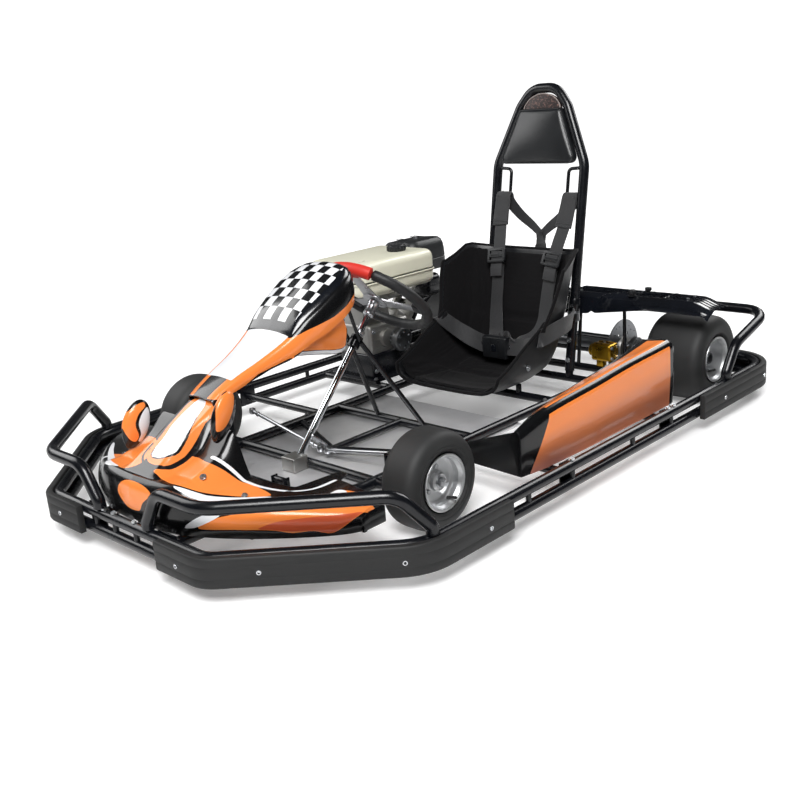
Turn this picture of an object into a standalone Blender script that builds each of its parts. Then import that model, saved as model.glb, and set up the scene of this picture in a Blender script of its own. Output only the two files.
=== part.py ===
"""Racing kart with a full bumper ring, a bucket seat under a harness hoop and a side engine.

Frame: forward is -Y, the driver's left is +X, +Z is up, metres. The origin is the middle of the
kart's outline, on the ground.
"""
import math

import bpy
import bmesh
from mathutils import Quaternion, Vector

# Overall plan: the outer face of the rubber pads
HALF_WIDTH = 0.687
HALF_LENGTH = 1.012
NOSE_HALF_WIDTH = 0.329
SIDE_START_Y = 0.334 - HALF_LENGTH
REAR_CORNER_R = 0.15

# Bumper ring and its pads
FIT = 0.0005
RING_R = 0.014
RING_LOW_Z = 0.054
RING_HIGH_Z = 0.099
PAD_THICK = 0.0175
PAD_LOW_Z = 0.040
PAD_HIGH_Z = 0.111
RING_IN = PAD_THICK + FIT + RING_R

# Wheels
FRONT_AXLE_Y = 0.585 - HALF_LENGTH
REAR_AXLE_Y = HALF_LENGTH - 0.221
FRONT_TYRE_R = 0.1246
FRONT_TYRE_W = 0.110
FRONT_TYRE_X = HALF_WIDTH - 0.228
REAR_TYRE_R = 0.1353
REAR_TYRE_W = 0.194
REAR_TYRE_X = HALF_WIDTH - 0.207
RIM_R = 0.0713
RIM_DROP = 0.0085

# Steering
KINGPIN_X = FRONT_TYRE_X - 0.099
KINGPIN_R = 0.006
STUB_R = 0.0085
STEER_ARM = 0.105
COLUMN_FOOT_Y = FRONT_AXLE_Y - 0.029
COLUMN_FOOT_Z = 0.078
COLUMN_TILT = math.radians(47.5)
COLUMN_R = 0.0095
COLUMN_LENGTH = 0.505
STEER_WHEEL_R = 0.155
STEER_GRIP_R = 0.0145
HUB_THICK = 0.006
TIE_ROD_R = 0.0055

# Frame
TUBE_R = 0.014
BEAM_R = 0.0125
BUSH_R = 0.0135
RAIL_X = 0.270
RAIL_Z = 0.075
TRAY_THICK = 0.0025
HOOP_R = 0.0155
HOOP_HALF = 0.1715
HOOP_Y = 0.569
HOOP_LEAN = 0.1708
HOOP_KNEE_Z = 0.745
HOOP_TOP_Z = 0.980

# Rear axle
AXLE_R = 0.0175
DISC_X = 0.235
DISC_R = 0.092
SPROCKET_X = -0.320
SPROCKET_R = 0.085
BEARING_X = 0.285
BEARING_R = 0.038

# Engine, on the driver's right
ENGINE_X = -0.420
ENGINE_Y = 0.290
CRANK_Z = 0.215

# Places along the ring
FRONT_PAD_X = 0.165
FRONT_PAD_Y = SIDE_START_Y + 0.283
REAR_PAD_Y = 0.500
REAR_PAD_X = 0.350
SIDE_BRACE_Y = -0.120
REAR_BRACE_Y = 0.360
GUARD_R = 0.0155
FOOT_RISE = 0.016
GUARD_Z = 0.212
GUARD_FRONT_X = 0.105
REAR_GUARD_Z = 0.262

# Frame fittings
LEG_X = 0.150
YOKE_HALF = 0.042
STAND_X = 0.095
STAND_Y = COLUMN_FOOT_Y + 0.411
STAND_AT = 0.375
SEAT_POST_S = 0.25
SEAT_POST_U = 0.70
NOSE_POST_X = 0.250
NOSE_POST_ROW = 5

# Steering links
STUB_END_X = FRONT_TYRE_X + 0.053
PITMAN = 0.060
PITMAN_AT = 0.085
WHEEL_AT = COLUMN_LENGTH + 0.017
ROD_OUTER_Z = 0.128

# Bodywork
NOSE_WALL = 0.004
NOSE_LOW_Z = 0.092
NOSE_BACK = -HALF_LENGTH
NOSE_TIP_X = 0.490
FIN_X = 0.138
FINS = ((-1, NOSE_BACK + 0.180, 0.275), (1, NOSE_BACK + 0.246, 0.322))
PANEL_WALL = 0.004
PANEL = ((0.312, 0.050, 0.350, 0.025), (0.362, 0.057, 0.374, 0.026), (0.437, 0.072, 0.404, 0.030),
         (0.512, 0.092, 0.444, 0.050), (0.562, 0.107, 0.485, 0.063), (0.612, 0.118, 0.516, 0.074),
         (0.662, 0.122, 0.545, 0.080), (0.707, 0.110, 0.565, 0.078), (0.737, 0.086, 0.573, 0.068),
         (0.752, 0.056, 0.573, 0.060))
PANEL_SECTION = ((0.0, -0.12), (0.45, -0.08), (0.82, 0.03), (0.97, 0.16), (1.03, 0.6), (1.0, 1.0))
POD_WALL = 0.004
POD_LOW_Z = 0.0862
POD_REAR_Y = 0.460
DECK_Z = 0.330
DECK_WALL = 0.002
DECK_FRONT_Y = REAR_AXLE_Y - 0.119
DECK_REAR_Y = REAR_AXLE_Y + 0.009
DECK_FLANGE = ((0.090, 0.262), (0.190, 0.270), (0.260, 0.280), (0.420, 0.298), (0.575, 0.298), (0.600, 0.284))
KNOB_R = 0.012
KNOBS = ((0.315, REAR_AXLE_Y - 0.063), (0.310, REAR_AXLE_Y - 0.006))

# Seat, headrest and harness
SEAT_HALF = 0.205
SEAT_WALL = 0.005
PAD_GAP = 0.0010
PAD_DEPTH = 0.010
PAD_BOTTOM_Z = 0.748
PAD_TOP_Z = 0.892
GUIDE_X = 0.112
BELT_BAR_Z = 0.600
BELT_W = 0.048
BELT_T = 0.0025
LAP_W = 0.025
ADJUSTER_TOP = (0.594, 0.500)
ADJUSTER_LOW = (0.580, 0.440)
BELT_BAR_R = 0.009
BUCKLE = (-0.018, 0.440, 0.196)
BUCKLE_SIZE = (0.062, 0.026, 0.048)

# Wheel and drive details
FRONT_RIM_W = 0.106
REAR_RIM_W = 0.188
WHEEL_STEPS = 16
AXLE_HALF = REAR_TYRE_X + 0.070
CLUTCH_Y = 0.290
CLUTCH_Z = 0.215
CLUTCH_R = 0.028
CHAIN_GAP = 0.0006
PEDAL_X = 0.110
PEDAL_Y = FRONT_AXLE_Y - 0.173
PEDAL_Z = 0.102
TANK_SIZE = (0.230, 0.300, 0.115)
TANK_AT = (-0.400, 0.240)
TANK_LOW_Z = 0.385
CAP_AT = (-0.345, 0.340)
CAP_R = 0.033
AIR_SIZE = (0.165, 0.185, 0.108)
AIR_AT = (-0.445, 0.525, 0.437)
AIR_FRONT_Y = AIR_AT[1] - AIR_SIZE[1] / 2
CASE_X = 0.150
BED_R = 0.0115
MUFFLER_SIZE = (0.150, 0.085, 0.080)

BLACK = (0.012, 0.012, 0.014)
RUBBER = (0.030, 0.030, 0.032)
ORANGE = (0.95, 0.25, 0.04)
STEEL = (0.62, 0.62, 0.64)
CREAM = (0.86, 0.84, 0.70)

parts = bpy.data.collections.new("racing_kart")
cutters = bpy.data.collections.new("cutters")


def clear_scene():
    for ob in list(bpy.data.objects):
        bpy.data.objects.remove(ob)
    bpy.context.scene.collection.children.link(parts)
    bpy.context.scene.collection.children.link(cutters)


def material(name, rgb, rough, metal=0.0):
    mat = bpy.data.materials.new(name)
    mat.use_nodes = True
    shader = mat.node_tree.nodes["Principled BSDF"]
    shader.inputs["Base Color"].default_value = (*rgb, 1.0)
    shader.inputs["Roughness"].default_value = rough
    shader.inputs["Metallic"].default_value = metal
    return mat


def add_object(name, mesh, mat=None, collection=None):
    ob = bpy.data.objects.new(name, mesh)
    (collection or parts).objects.link(ob)
    if mat:
        ob.data.materials.clear()
        ob.data.materials.append(mat)
    return ob


def mesh_object(name, bm, mat=None):
    bmesh.ops.recalc_face_normals(bm, faces=bm.faces)
    mesh = bpy.data.meshes.new(name)
    bm.to_mesh(mesh)
    bm.free()
    return add_object(name, mesh, mat)


def evaluated(ob):
    bpy.context.view_layer.update()
    deps = bpy.context.evaluated_depsgraph_get()
    return bpy.data.meshes.new_from_object(ob.evaluated_get(deps), depsgraph=deps)


def baked(ob, mat=None):
    """The object as its modifiers and curve settings make it, as a welded mesh in world space."""
    name = ob.name
    mesh = evaluated(ob)
    mesh.transform(ob.matrix_world)
    bm = bmesh.new()
    bm.from_mesh(mesh)
    bmesh.ops.remove_doubles(bm, verts=bm.verts, dist=0.00002)
    bm.to_mesh(mesh)
    bm.free()
    keep = mat or (ob.data.materials[0] if ob.data.materials else None)
    bpy.data.objects.remove(ob)
    new = add_object(name, mesh, keep)
    new.name = name
    return new


def combine(name, obs, mat=None, mode="UNION"):
    """One object from several by Boolean modifiers, applied in turn."""
    first = obs[0]
    for other in obs[1:]:
        mod = first.modifiers.new(mode.lower(), "BOOLEAN")
        mod.operation = mode
        mod.solver = "EXACT"
        mod.object = other
        first = baked(first, mat)
        bpy.data.objects.remove(other)
    first.name = name
    if mat:
        first.data.materials.clear()
        first.data.materials.append(mat)
    return first


def set_origin(ob, point):
    """Puts the object's origin on its joint's axis and leaves the shape where it is."""
    offset = Vector(point) - ob.location
    for v in ob.data.vertices:
        v.co -= offset
    ob.location = point
    return ob


def smooth(ob, angle=35):
    ob.data.shade_smooth()
    ob.data.set_sharp_from_angle(angle=math.radians(angle))
    return ob


def box(name, size, centre, mat=None, turn=None, bevel=0.0):
    bm = bmesh.new()
    bmesh.ops.create_cube(bm, size=1.0)
    for v in bm.verts:
        v.co = Vector((v.co.x * size[0], v.co.y * size[1], v.co.z * size[2]))
    if bevel:
        bmesh.ops.bevel(bm, geom=bm.edges[:], offset=bevel, segments=1, affect="EDGES")
    if turn:
        bmesh.ops.rotate(bm, verts=bm.verts, cent=(0, 0, 0), matrix=turn)
    bmesh.ops.translate(bm, verts=bm.verts, vec=centre)
    return mesh_object(name, bm, mat)


def rotation_to(direction):
    return Vector((0, 0, 1)).rotation_difference(Vector(direction).normalized()).to_matrix()


def rod(name, start, end, radius, mat=None, sides=12, end_radius=None):
    """A round bar or cone from one point to another."""
    start, end = Vector(start), Vector(end)
    bm = bmesh.new()
    bmesh.ops.create_cone(bm, cap_ends=True, segments=sides, radius1=radius,
                          radius2=radius if end_radius is None else end_radius,
                          depth=(end - start).length)
    bmesh.ops.rotate(bm, verts=bm.verts, cent=(0, 0, 0), matrix=rotation_to(end - start))
    bmesh.ops.translate(bm, verts=bm.verts, vec=(start + end) / 2)
    return smooth(mesh_object(name, bm, mat))


def turned(name, profile, centre, axis, mat=None, steps=20):
    """A profile of (radius, height along the axis) points, closed, turned about the axis.

    A flat of the turned ring points down, so a wheel rests on one.
    """
    bm = bmesh.new()
    rings = []
    for i in range(steps):
        a = 2 * math.pi * (i + 0.5) / steps
        rings.append([bm.verts.new((r * math.cos(a), r * math.sin(a), h)) for r, h in profile])
    for i in range(steps):
        one, two = rings[i], rings[(i + 1) % steps]
        for j in range(len(profile)):
            k = (j + 1) % len(profile)
            bm.faces.new((one[j], two[j], two[k], one[k]))
    bmesh.ops.remove_doubles(bm, verts=bm.verts, dist=0.00001)
    bmesh.ops.rotate(bm, verts=bm.verts, cent=(0, 0, 0), matrix=rotation_to(axis))
    bmesh.ops.translate(bm, verts=bm.verts, vec=centre)
    return smooth(mesh_object(name, bm, mat))


def rounded(points, radius, steps=3, closed=False):
    """Corner points joined by arcs of the given radius, or of one radius a corner."""
    pts = [Vector(p) for p in points]
    count = len(pts)
    radii = radius if isinstance(radius, (list, tuple)) else [radius] * count
    out = []
    for i, p in enumerate(pts):
        if not closed and i in (0, count - 1):
            out.append(p)
            continue
        before, after = pts[i - 1], pts[(i + 1) % count]
        u, v = (before - p).normalized(), (after - p).normalized()
        half = u.angle(v) / 2
        r = radii[i]
        reach = min(r / math.tan(half), 0.49 * (before - p).length, 0.49 * (after - p).length)
        r = reach * math.tan(half)
        middle = p + (u + v).normalized() * (r / math.sin(half))
        start, end = p + u * reach - middle, p + v * reach - middle
        axis, angle = start.rotation_difference(end).to_axis_angle()
        for k in range(steps + 1):
            out.append(middle + Quaternion(axis, angle * k / steps) @ start)
    return out


def tube(name, points, radius, mat=None, sides=2, closed=False):
    """A tube of round section along the points, as a capped mesh."""
    curve = bpy.data.curves.new(name, "CURVE")
    curve.dimensions = "3D"
    curve.bevel_depth = radius
    curve.bevel_resolution = sides
    curve.use_fill_caps = True
    spline = curve.splines.new("POLY")
    spline.points.add(len(points) - 1)
    for point, co in zip(spline.points, points):
        point.co = (*co, 1.0)
    spline.use_cyclic_u = closed
    ob = bpy.data.objects.new(name, curve)
    parts.objects.link(ob)
    return smooth(baked(ob, mat), 50)


def plate(name, outline, thickness, centre, mat=None, turn=None):
    """A flat outline in its own XY plane, given its thickness, turned and moved."""
    curve = bpy.data.curves.new(name, "CURVE")
    curve.dimensions = "2D"
    curve.fill_mode = "BOTH"
    curve.extrude = thickness / 2
    spline = curve.splines.new("POLY")
    spline.points.add(len(outline) - 1)
    for point, co in zip(spline.points, outline):
        point.co = (co[0], co[1], 0.0, 1.0)
    spline.use_cyclic_u = True
    ob = bpy.data.objects.new(name, curve)
    parts.objects.link(ob)
    ob.location = centre
    if turn:
        ob.rotation_euler = turn
    return baked(ob, mat)


def sheet(name, rows, thickness, mat=None, offset=-1.0):
    """A shell: a grid of points given as rows, thickened by Solidify."""
    bm = bmesh.new()
    grid = [[bm.verts.new(p) for p in row] for row in rows]
    for a, b in zip(grid, grid[1:]):
        for j in range(len(a) - 1):
            bm.faces.new((a[j], a[j + 1], b[j + 1], b[j]))
    mesh = bpy.data.meshes.new(name)
    bm.to_mesh(mesh)
    bm.free()
    ob = add_object(name, mesh, mat)
    mod = ob.modifiers.new("wall", "SOLIDIFY")
    mod.thickness = thickness
    mod.offset = offset
    return smooth(baked(ob, mat), 40)


def ribbon(name, points, across, width, thick, mat=None):
    """A strap: a flat section that follows the points; across gives its width direction."""
    pts = [Vector(p) for p in points]
    bm = bmesh.new()
    rings = []
    for i, p in enumerate(pts):
        along = (pts[min(i + 1, len(pts) - 1)] - pts[max(i - 1, 0)]).normalized()
        side = Vector(across[i] if isinstance(across, list) else across)
        side = (side - along * side.dot(along)).normalized()
        up = along.cross(side).normalized()
        rings.append([bm.verts.new(p + side * sx * width / 2 + up * sz * thick / 2)
                      for sx, sz in ((-1, -1), (1, -1), (1, 1), (-1, 1))])
    for a, b in zip(rings, rings[1:]):
        for j in range(4):
            bm.faces.new((a[j], a[(j + 1) % 4], b[(j + 1) % 4], b[j]))
    bm.faces.new(rings[0])
    bm.faces.new(rings[-1][::-1])
    return mesh_object(name, bm, mat)


def mirrored(points):
    return [(-p[0], p[1], p[2]) for p in points]


def blend(t, stops):
    """Straight interpolation in a table of (t, value) stops."""
    if t <= stops[0][0]:
        return stops[0][1]
    for (t0, a), (t1, b) in zip(stops, stops[1:]):
        if t <= t1:
            return a + (b - a) * (t - t0) / (t1 - t0)
    return stops[-1][1]


def inset_corners(inset):
    """Front corner and side corner of the kart's outline, moved in by the inset."""
    run = Vector((HALF_WIDTH - NOSE_HALF_WIDTH, SIDE_START_Y + HALF_LENGTH)).normalized()
    inward = Vector((-run.y, run.x))
    start = Vector((NOSE_HALF_WIDTH, -HALF_LENGTH)) + inward * inset
    front = start + run * ((-HALF_LENGTH + inset - start.y) / run.y)
    side = start + run * ((HALF_WIDTH - inset - start.x) / run.x)
    return front, side


def outline(inset, first, last, height=0.0):
    """The left half of the outline from a point on the front face to one on the side or rear."""
    front, side = inset_corners(inset)
    points = [first, (*front, height), (*side, height)]
    radii = [0, 0.09 - inset, 0.15 - inset]
    if last[1] > HALF_LENGTH - 0.1:
        points.append((HALF_WIDTH - inset, HALF_LENGTH - inset, height))
        radii.append(REAR_CORNER_R - inset)
    return rounded(points + [last], radii + [0], 4)


def bumper_ring(mat):
    """Two closed tubes, one over the other, and the posts and mounting plates between them."""
    pieces = []
    for height in (RING_LOW_Z, RING_HIGH_Z):
        half = outline(RING_IN, (0.0, -HALF_LENGTH + RING_IN, height),
                       (0.0, HALF_LENGTH - RING_IN, height), height)
        loop = half + mirrored(half[1:-1])[::-1]
        pieces.append(tube("ring_tube", loop, RING_R, mat, closed=True))
    side_x, end_y = HALF_WIDTH - RING_IN, HALF_LENGTH - RING_IN
    posts = [(x, -end_y) for x in (-0.13, -0.045, 0.045, 0.13)]
    posts += [(s * side_x, y) for s in (-1, 1) for y in (-0.30, SIDE_BRACE_Y, 0.16, REAR_BRACE_Y)]
    posts += [(x, end_y) for x in (-0.30, 0.30)]
    for x, y in posts:
        pieces.append(rod("post", (x, y, RING_LOW_Z), (x, y, RING_HIGH_Z), 0.007, mat, 8))
    return combine("bumper_ring", pieces, mat)


def pad(name, first, last, mat, flip):
    """A rubber pad: the strip between the outline and the same line moved in."""
    outer = outline(0.0, first(0.0), last(0.0))
    inner = outline(PAD_THICK, first(PAD_THICK), last(PAD_THICK))
    loop = [(p[0], p[1]) for p in outer + inner[::-1]]
    if flip:
        loop = [(-x, y) for x, y in loop][::-1]
    return plate(name, loop, PAD_HIGH_Z - PAD_LOW_Z, (0, 0, (PAD_LOW_Z + PAD_HIGH_Z) / 2), mat)


def rear_pad(name, mat, flip):
    def strip(inset):
        return rounded([(HALF_WIDTH - inset, REAR_PAD_Y, 0),
                        (HALF_WIDTH - inset, HALF_LENGTH - inset, 0),
                        (REAR_PAD_X, HALF_LENGTH - inset, 0)], REAR_CORNER_R - inset, 4)
    loop = [(p[0], p[1]) for p in strip(0.0) + strip(PAD_THICK)[::-1]]
    if flip:
        loop = [(-x, y) for x, y in loop][::-1]
    return plate(name, loop, PAD_HIGH_Z - PAD_LOW_Z, (0, 0, (PAD_LOW_Z + PAD_HIGH_Z) / 2), mat)


def bumper_pads(mat):
    for side, flip in (("left", False), ("right", True)):
        pad("bumper_pad_front_" + side, lambda d: (FRONT_PAD_X, -HALF_LENGTH + d, 0),
            lambda d: (HALF_WIDTH - d, FRONT_PAD_Y, 0), mat, flip)
        rear_pad("bumper_pad_rear_" + side, mat, flip)


def wheel_guard(name, side, mat):
    """A bent bar over the ring's front corner: from the front face, along the corner, to the side."""
    foot_z = RING_HIGH_Z + RING_R + FIT
    front, corner = inset_corners(RING_IN)
    points = [(GUARD_FRONT_X, -HALF_LENGTH + RING_IN, foot_z),
              (GUARD_FRONT_X, -HALF_LENGTH + RING_IN, foot_z + FOOT_RISE),
              (GUARD_FRONT_X + 0.055, -HALF_LENGTH + RING_IN, GUARD_Z),
              (front.x, front.y, GUARD_Z),
              (corner.x - 0.035, corner.y - 0.033, GUARD_Z),
              (corner.x, corner.y + 0.03, foot_z + FOOT_RISE), (corner.x, corner.y + 0.03, foot_z)]
    path = rounded([(x * side, y, z) for x, y, z in points], [0, 0.04, 0.06, 0.10, 0.06, 0.04, 0], 2)
    return tube(name, path, GUARD_R, mat)


def rear_guard(mat):
    """A U-shaped bar round the rear wheels on four-cornered bends, its feet on the ring."""
    foot_z = RING_HIGH_Z + RING_R + FIT
    x, y = HALF_WIDTH - RING_IN, HALF_LENGTH - RING_IN - 0.02
    half = [(x, 0.555, foot_z), (x, 0.555, foot_z + FOOT_RISE), (x, 0.60, 0.222), (x, y, REAR_GUARD_Z)]
    path = half + mirrored(half)[::-1]
    return tube("rear_guard", rounded(path, [0, 0.04, 0.06, 0.07, 0.07, 0.06, 0.04, 0], 2), GUARD_R, mat)


def main_frame(mat):
    """Side rails, cross tubes, front legs, yokes, braces to the ring and the column stand."""
    flange_x = HALF_WIDTH - RING_IN - RING_R - FIT
    flange_y = HALF_LENGTH - RING_IN - RING_R - FIT
    nose_y = nose_row_y(NOSE_POST_X, NOSE_POST_ROW)
    bits = []

    def run(points, radius=TUBE_R, bend=0.06):
        bits.append(tube("bit", rounded(points, bend, 2), radius, mat))

    for s in (1, -1):
        run([(s * LEG_X, -flange_y + 0.001, RAIL_Z), (s * LEG_X, FRONT_AXLE_Y - 0.193, RAIL_Z),
             (s * RAIL_X, FRONT_AXLE_Y - 0.073, RAIL_Z), (s * RAIL_X, flange_y - 0.001, RAIL_Z)])
        for y in (SIDE_BRACE_Y, REAR_BRACE_Y):
            run([(s * (RAIL_X - 0.002), y, RAIL_Z - 0.001), (s * (flange_x - 0.001), y, RAIL_Z - 0.001)],
                0.0115)
            bits.append(box("bit", (0.005, 0.06, 0.064), (s * (flange_x - 0.0025), y, 0.0765)))
        for y, z in ((-flange_y, 0.0765), (flange_y, 0.0765)):
            x = LEG_X if y < 0 else RAIL_X
            bits.append(box("bit", (0.07, 0.005, 0.064), (s * x, y - math.copysign(0.0025, y), z)))
        yoke_x = KINGPIN_X - 0.030
        low_z, high_z = RAIL_Z - 0.004, FRONT_TYRE_R + YOKE_HALF
        bits.append(box("bit", (0.006, 0.034, high_z - low_z),
                        (s * yoke_x, FRONT_AXLE_Y, (high_z + low_z) / 2)))
        for up in (-1, 1):
            ear_z = FRONT_TYRE_R + up * (YOKE_HALF - 0.003)
            bits.append(box("bit", (0.048, 0.030, 0.006), (s * (yoke_x + 0.022), FRONT_AXLE_Y, ear_z)))
        run([(s * 0.003, FRONT_AXLE_Y + 0.105, RAIL_Z + 0.0009),
             (s * (RAIL_X - 0.004), FRONT_AXLE_Y + 0.222, RAIL_Z - 0.001)], 0.0093)
        run([(s * STAND_X, STAND_Y, RAIL_Z), (s * (BUSH_R + 0.0095), *stand_point(0.0).yz)], 0.007)
        hoop_foot = hoop_point(0.098)
        bits.append(rod("bit", (s * HOOP_HALF, HOOP_Y, RAIL_Z),
                        (s * HOOP_HALF, hoop_foot - 0.0006, 0.0972), 0.0125, mat, 10))
        top, low_z = REAR_TYRE_R - BEARING_R - FIT, RAIL_Z - TUBE_R + 0.004
        bits.append(box("bit", (0.006, 0.085, top - low_z), (s * BEARING_X, REAR_AXLE_Y, (top + low_z) / 2)))
        seat = seat_point(SEAT_POST_S, SEAT_POST_U)
        bits.append(rod("bit", (s * seat.x, seat.y, RAIL_Z), (s * seat.x, seat.y, seat.z - 3 * FIT),
                        0.009, mat, 8))
        nose_z = nose_top(NOSE_POST_X, nose_y) - 2 * FIT
        bits.append(rod("bit", (s * NOSE_POST_X, nose_y, RAIL_Z), (s * NOSE_POST_X, nose_y, nose_z),
                        0.006, mat, 8))
    for y, half in ((nose_y, NOSE_POST_X + 0.012), (PEDAL_Y, LEG_X + 0.012), (STAND_Y, RAIL_X),
                    (seat_point(SEAT_POST_S, SEAT_POST_U).y, RAIL_X), (HOOP_Y, RAIL_X),
                    (REAR_AXLE_Y - 0.091, RAIL_X)):
        run([(-half, y, RAIL_Z + 0.0005), (half, y, RAIL_Z + 0.0005)], 0.0125)
    run([(-KINGPIN_X + 0.031, FRONT_AXLE_Y, RAIL_Z), (KINGPIN_X - 0.031, FRONT_AXLE_Y, RAIL_Z)], BEAM_R)
    run([(0, FRONT_AXLE_Y + 0.093, RAIL_Z + 0.0007), (0, STAND_Y, RAIL_Z + 0.0007)], 0.0105)
    return bits


def column_point(along, forward=0.0):
    """A point on the steering column's axis, and forward of it in the wheel's plane."""
    axis = Vector((0, math.cos(COLUMN_TILT), math.sin(COLUMN_TILT)))
    ahead = Vector((0, -math.sin(COLUMN_TILT), math.cos(COLUMN_TILT)))
    return Vector((0, COLUMN_FOOT_Y, COLUMN_FOOT_Z)) + axis * along + ahead * forward


def column_axis():
    return (column_point(1.0) - column_point(0.0)).normalized()


def hoop_point(height):
    """The hoop's Y at a height: it leans back."""
    return HOOP_Y + HOOP_LEAN * (height - RAIL_Z)


def nose_front(a):
    return NOSE_BACK + blend(a, [(0, 0.057), (0.11, 0.064), (0.20, 0.094), (0.30, 0.150), (0.40, 0.227),
                                 (0.47, 0.297), (NOSE_TIP_X, 0.332)])


def nose_rear(a):
    return NOSE_BACK + blend(a, [(0, 0.294), (0.055, 0.294), (0.07, 0.264), (0.19, 0.264), (0.205, 0.267),
                                 (0.25, 0.290), (0.30, 0.307), (0.315, 0.437), (0.335, 0.437),
                                 (0.352, 0.400), (NOSE_TIP_X, 0.400)])


def step(edge0, edge1, t):
    u = min(max((t - edge0) / (edge1 - edge0), 0.0), 1.0)
    return u * u * (3 - 2 * u)


def nose_top(a, y):
    """Height of the nose's skin: the wing, a shoulder rising to the rear and the sloping spine."""
    wing = blend(a, [(0, 0.200), (0.13, 0.192), (0.20, 0.178), (0.25, 0.168), (0.40, 0.156),
                     (NOSE_TIP_X, 0.142)])
    back = y - NOSE_BACK
    shoulder = blend(back, [(0.132, 0.205), (0.212, 0.236), (0.264, 0.284), (0.294, 0.300)])
    spine = blend(back, [(0.082, 0.205), (0.132, 0.236), (0.212, 0.283), (0.294, 0.330)])
    height = wing + max(shoulder - wing, 0) * (1 - step(0.14, 0.20, a))
    return height + max(spine - height, 0) * (1 - step(0.045, 0.080, a))


def nose_row_y(a, k):
    """Where the k-th of the skin's seven top rows lies."""
    first = nose_front(a) + 0.018
    return first + (nose_rear(a) - first) * k / 7


def nose_fin(s, y, z, mat):
    """A rounded upright lobe that stands on the nose's shoulder."""
    bm = bmesh.new()
    bmesh.ops.create_uvsphere(bm, u_segments=10, v_segments=6, radius=1.0)
    for v in bm.verts:
        v.co = Vector((v.co.x * 0.017, v.co.y * 0.034, v.co.z * 0.062))
    turn = Quaternion((1, 0, 0), math.radians(-27)) @ Quaternion((0, 0, 1), math.radians(12 * s))
    bmesh.ops.rotate(bm, verts=bm.verts, cent=(0, 0, 0), matrix=turn.to_matrix())
    bmesh.ops.translate(bm, verts=bm.verts, vec=(s * FIN_X, y, z))
    return smooth(mesh_object("fin", bm, mat))


def nose_fairing(mat):
    """One skin across the kart, from the lip over the rounded front back to its rear edge."""
    spans = [0, 0.05, 0.08, 0.11, 0.14, 0.17, 0.20, NOSE_POST_X, 0.30, 0.315, 0.335, 0.352, 0.42, NOSE_TIP_X]
    rows = []
    for s, a in [(-1, a) for a in spans[:0:-1]] + [(1, a) for a in spans]:
        front = nose_front(a)
        top = nose_top(a, front + 0.018) - NOSE_LOW_Z
        row = [(s * a, front + 0.004, NOSE_LOW_Z), (s * a, front - 0.005, NOSE_LOW_Z + 0.35 * top),
               (s * a, front + 0.001, NOSE_LOW_Z + 0.8 * top)]
        for k in range(8):
            y = nose_row_y(a, k)
            row.append((s * a, y, nose_top(a, y)))
        rows.append(row)
    skin = sheet("skin", rows, NOSE_WALL, mat)
    fins = [nose_fin(s, y, z, mat) for s, y, z in FINS]
    return combine("nose_fairing", [skin] + fins, mat)


def panel_at(y):
    """Half width, height and depth of the lip of the steering fairing at a station."""
    return [blend(y + HALF_LENGTH, [(row[0], row[k]) for row in PANEL]) for k in (1, 2, 3)]


def steering_fairing(mat):
    """The raised panel ahead of the steering wheel: a crowned top and a lip down each side."""
    rows = []
    for station, half, top, lip in PANEL:
        y = station - HALF_LENGTH
        section = PANEL_SECTION[:0:-1]
        row = [(-u * half, y, top - drop * lip) for u, drop in section]
        rows.append(row + [(u * half, y, top - drop * lip) for u, drop in PANEL_SECTION])
    return sheet("steering_fairing", [r[::-1] for r in rows], PANEL_WALL, mat)


def side_pod(mat):
    """The left side pod: outer wall, top and rear wall of one moulding, open below and inside."""
    stations = ((-0.225, 0.105, 0.127, 0.205, 0.192), (-0.12, 0.091, 0.152, 0.236, 0.205),
                (0.10, 0.085, 0.175, 0.254, 0.222), (0.28, 0.085, 0.185, 0.267, 0.232),
                (POD_REAR_Y, 0.087, 0.187, 0.273, 0.262))
    rows = []
    for y, outer_in, inner_in, top, inside in stations:
        outer, inner = HALF_WIDTH - outer_in, HALF_WIDTH - inner_in
        rows.append([(outer - 0.004, y, POD_LOW_Z), (outer, y, 0.5 * (POD_LOW_Z + top)),
                     (outer - 0.001, y, top - 0.010), (outer - 0.010, y, top), (inner, y, inside),
                     (inner - 0.004, y, inside - 0.03)])
    middle = HALF_WIDTH - 0.147
    rows.append([(0.5 * (x + middle), POD_REAR_Y + 0.012, 0.5 * (z + 0.18)) for x, y, z in rows[-1]])
    return sheet("side_pod_left", rows, POD_WALL, mat)


def floor_tray(mat):
    low = RAIL_Z - TUBE_R - FIT - TRAY_THICK / 2
    outline_pts = [(-0.245, PEDAL_Y), (0.245, PEDAL_Y), (0.292, PEDAL_Y + 0.11), (0.292, 0.16),
                   (-0.292, 0.16), (-0.292, PEDAL_Y + 0.11)]
    return plate("floor_tray", outline_pts, TRAY_THICK, (0, 0, low), mat)


def rear_deck(mat):
    """A folded sheet cover behind the seat, on the left, with a sloping flange in front."""
    rows = []
    for x, low in DECK_FLANGE:
        drop = 0.022 if (x, low) == DECK_FLANGE[-1] else 0.0
        rows.append([(x, DECK_FRONT_Y, low), (x, DECK_FRONT_Y + 0.022, DECK_Z - 0.010 - drop),
                     (x, DECK_FRONT_Y + 0.042, DECK_Z - drop), (x, DECK_REAR_Y, DECK_Z - drop)])
    cover = sheet("cover", rows, DECK_WALL, mat)
    profile = [(0.0, -0.001), (KNOB_R / 2, -0.001), (KNOB_R / 2, 0.008), (KNOB_R, 0.010),
               (KNOB_R, 0.018), (0.0, 0.020)]
    knobs = [turned("knob", profile, (x, y, DECK_Z), (0, 0, 1), mat, 8) for x, y in KNOBS]
    return combine("rear_deck", [cover] + knobs, mat)


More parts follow.
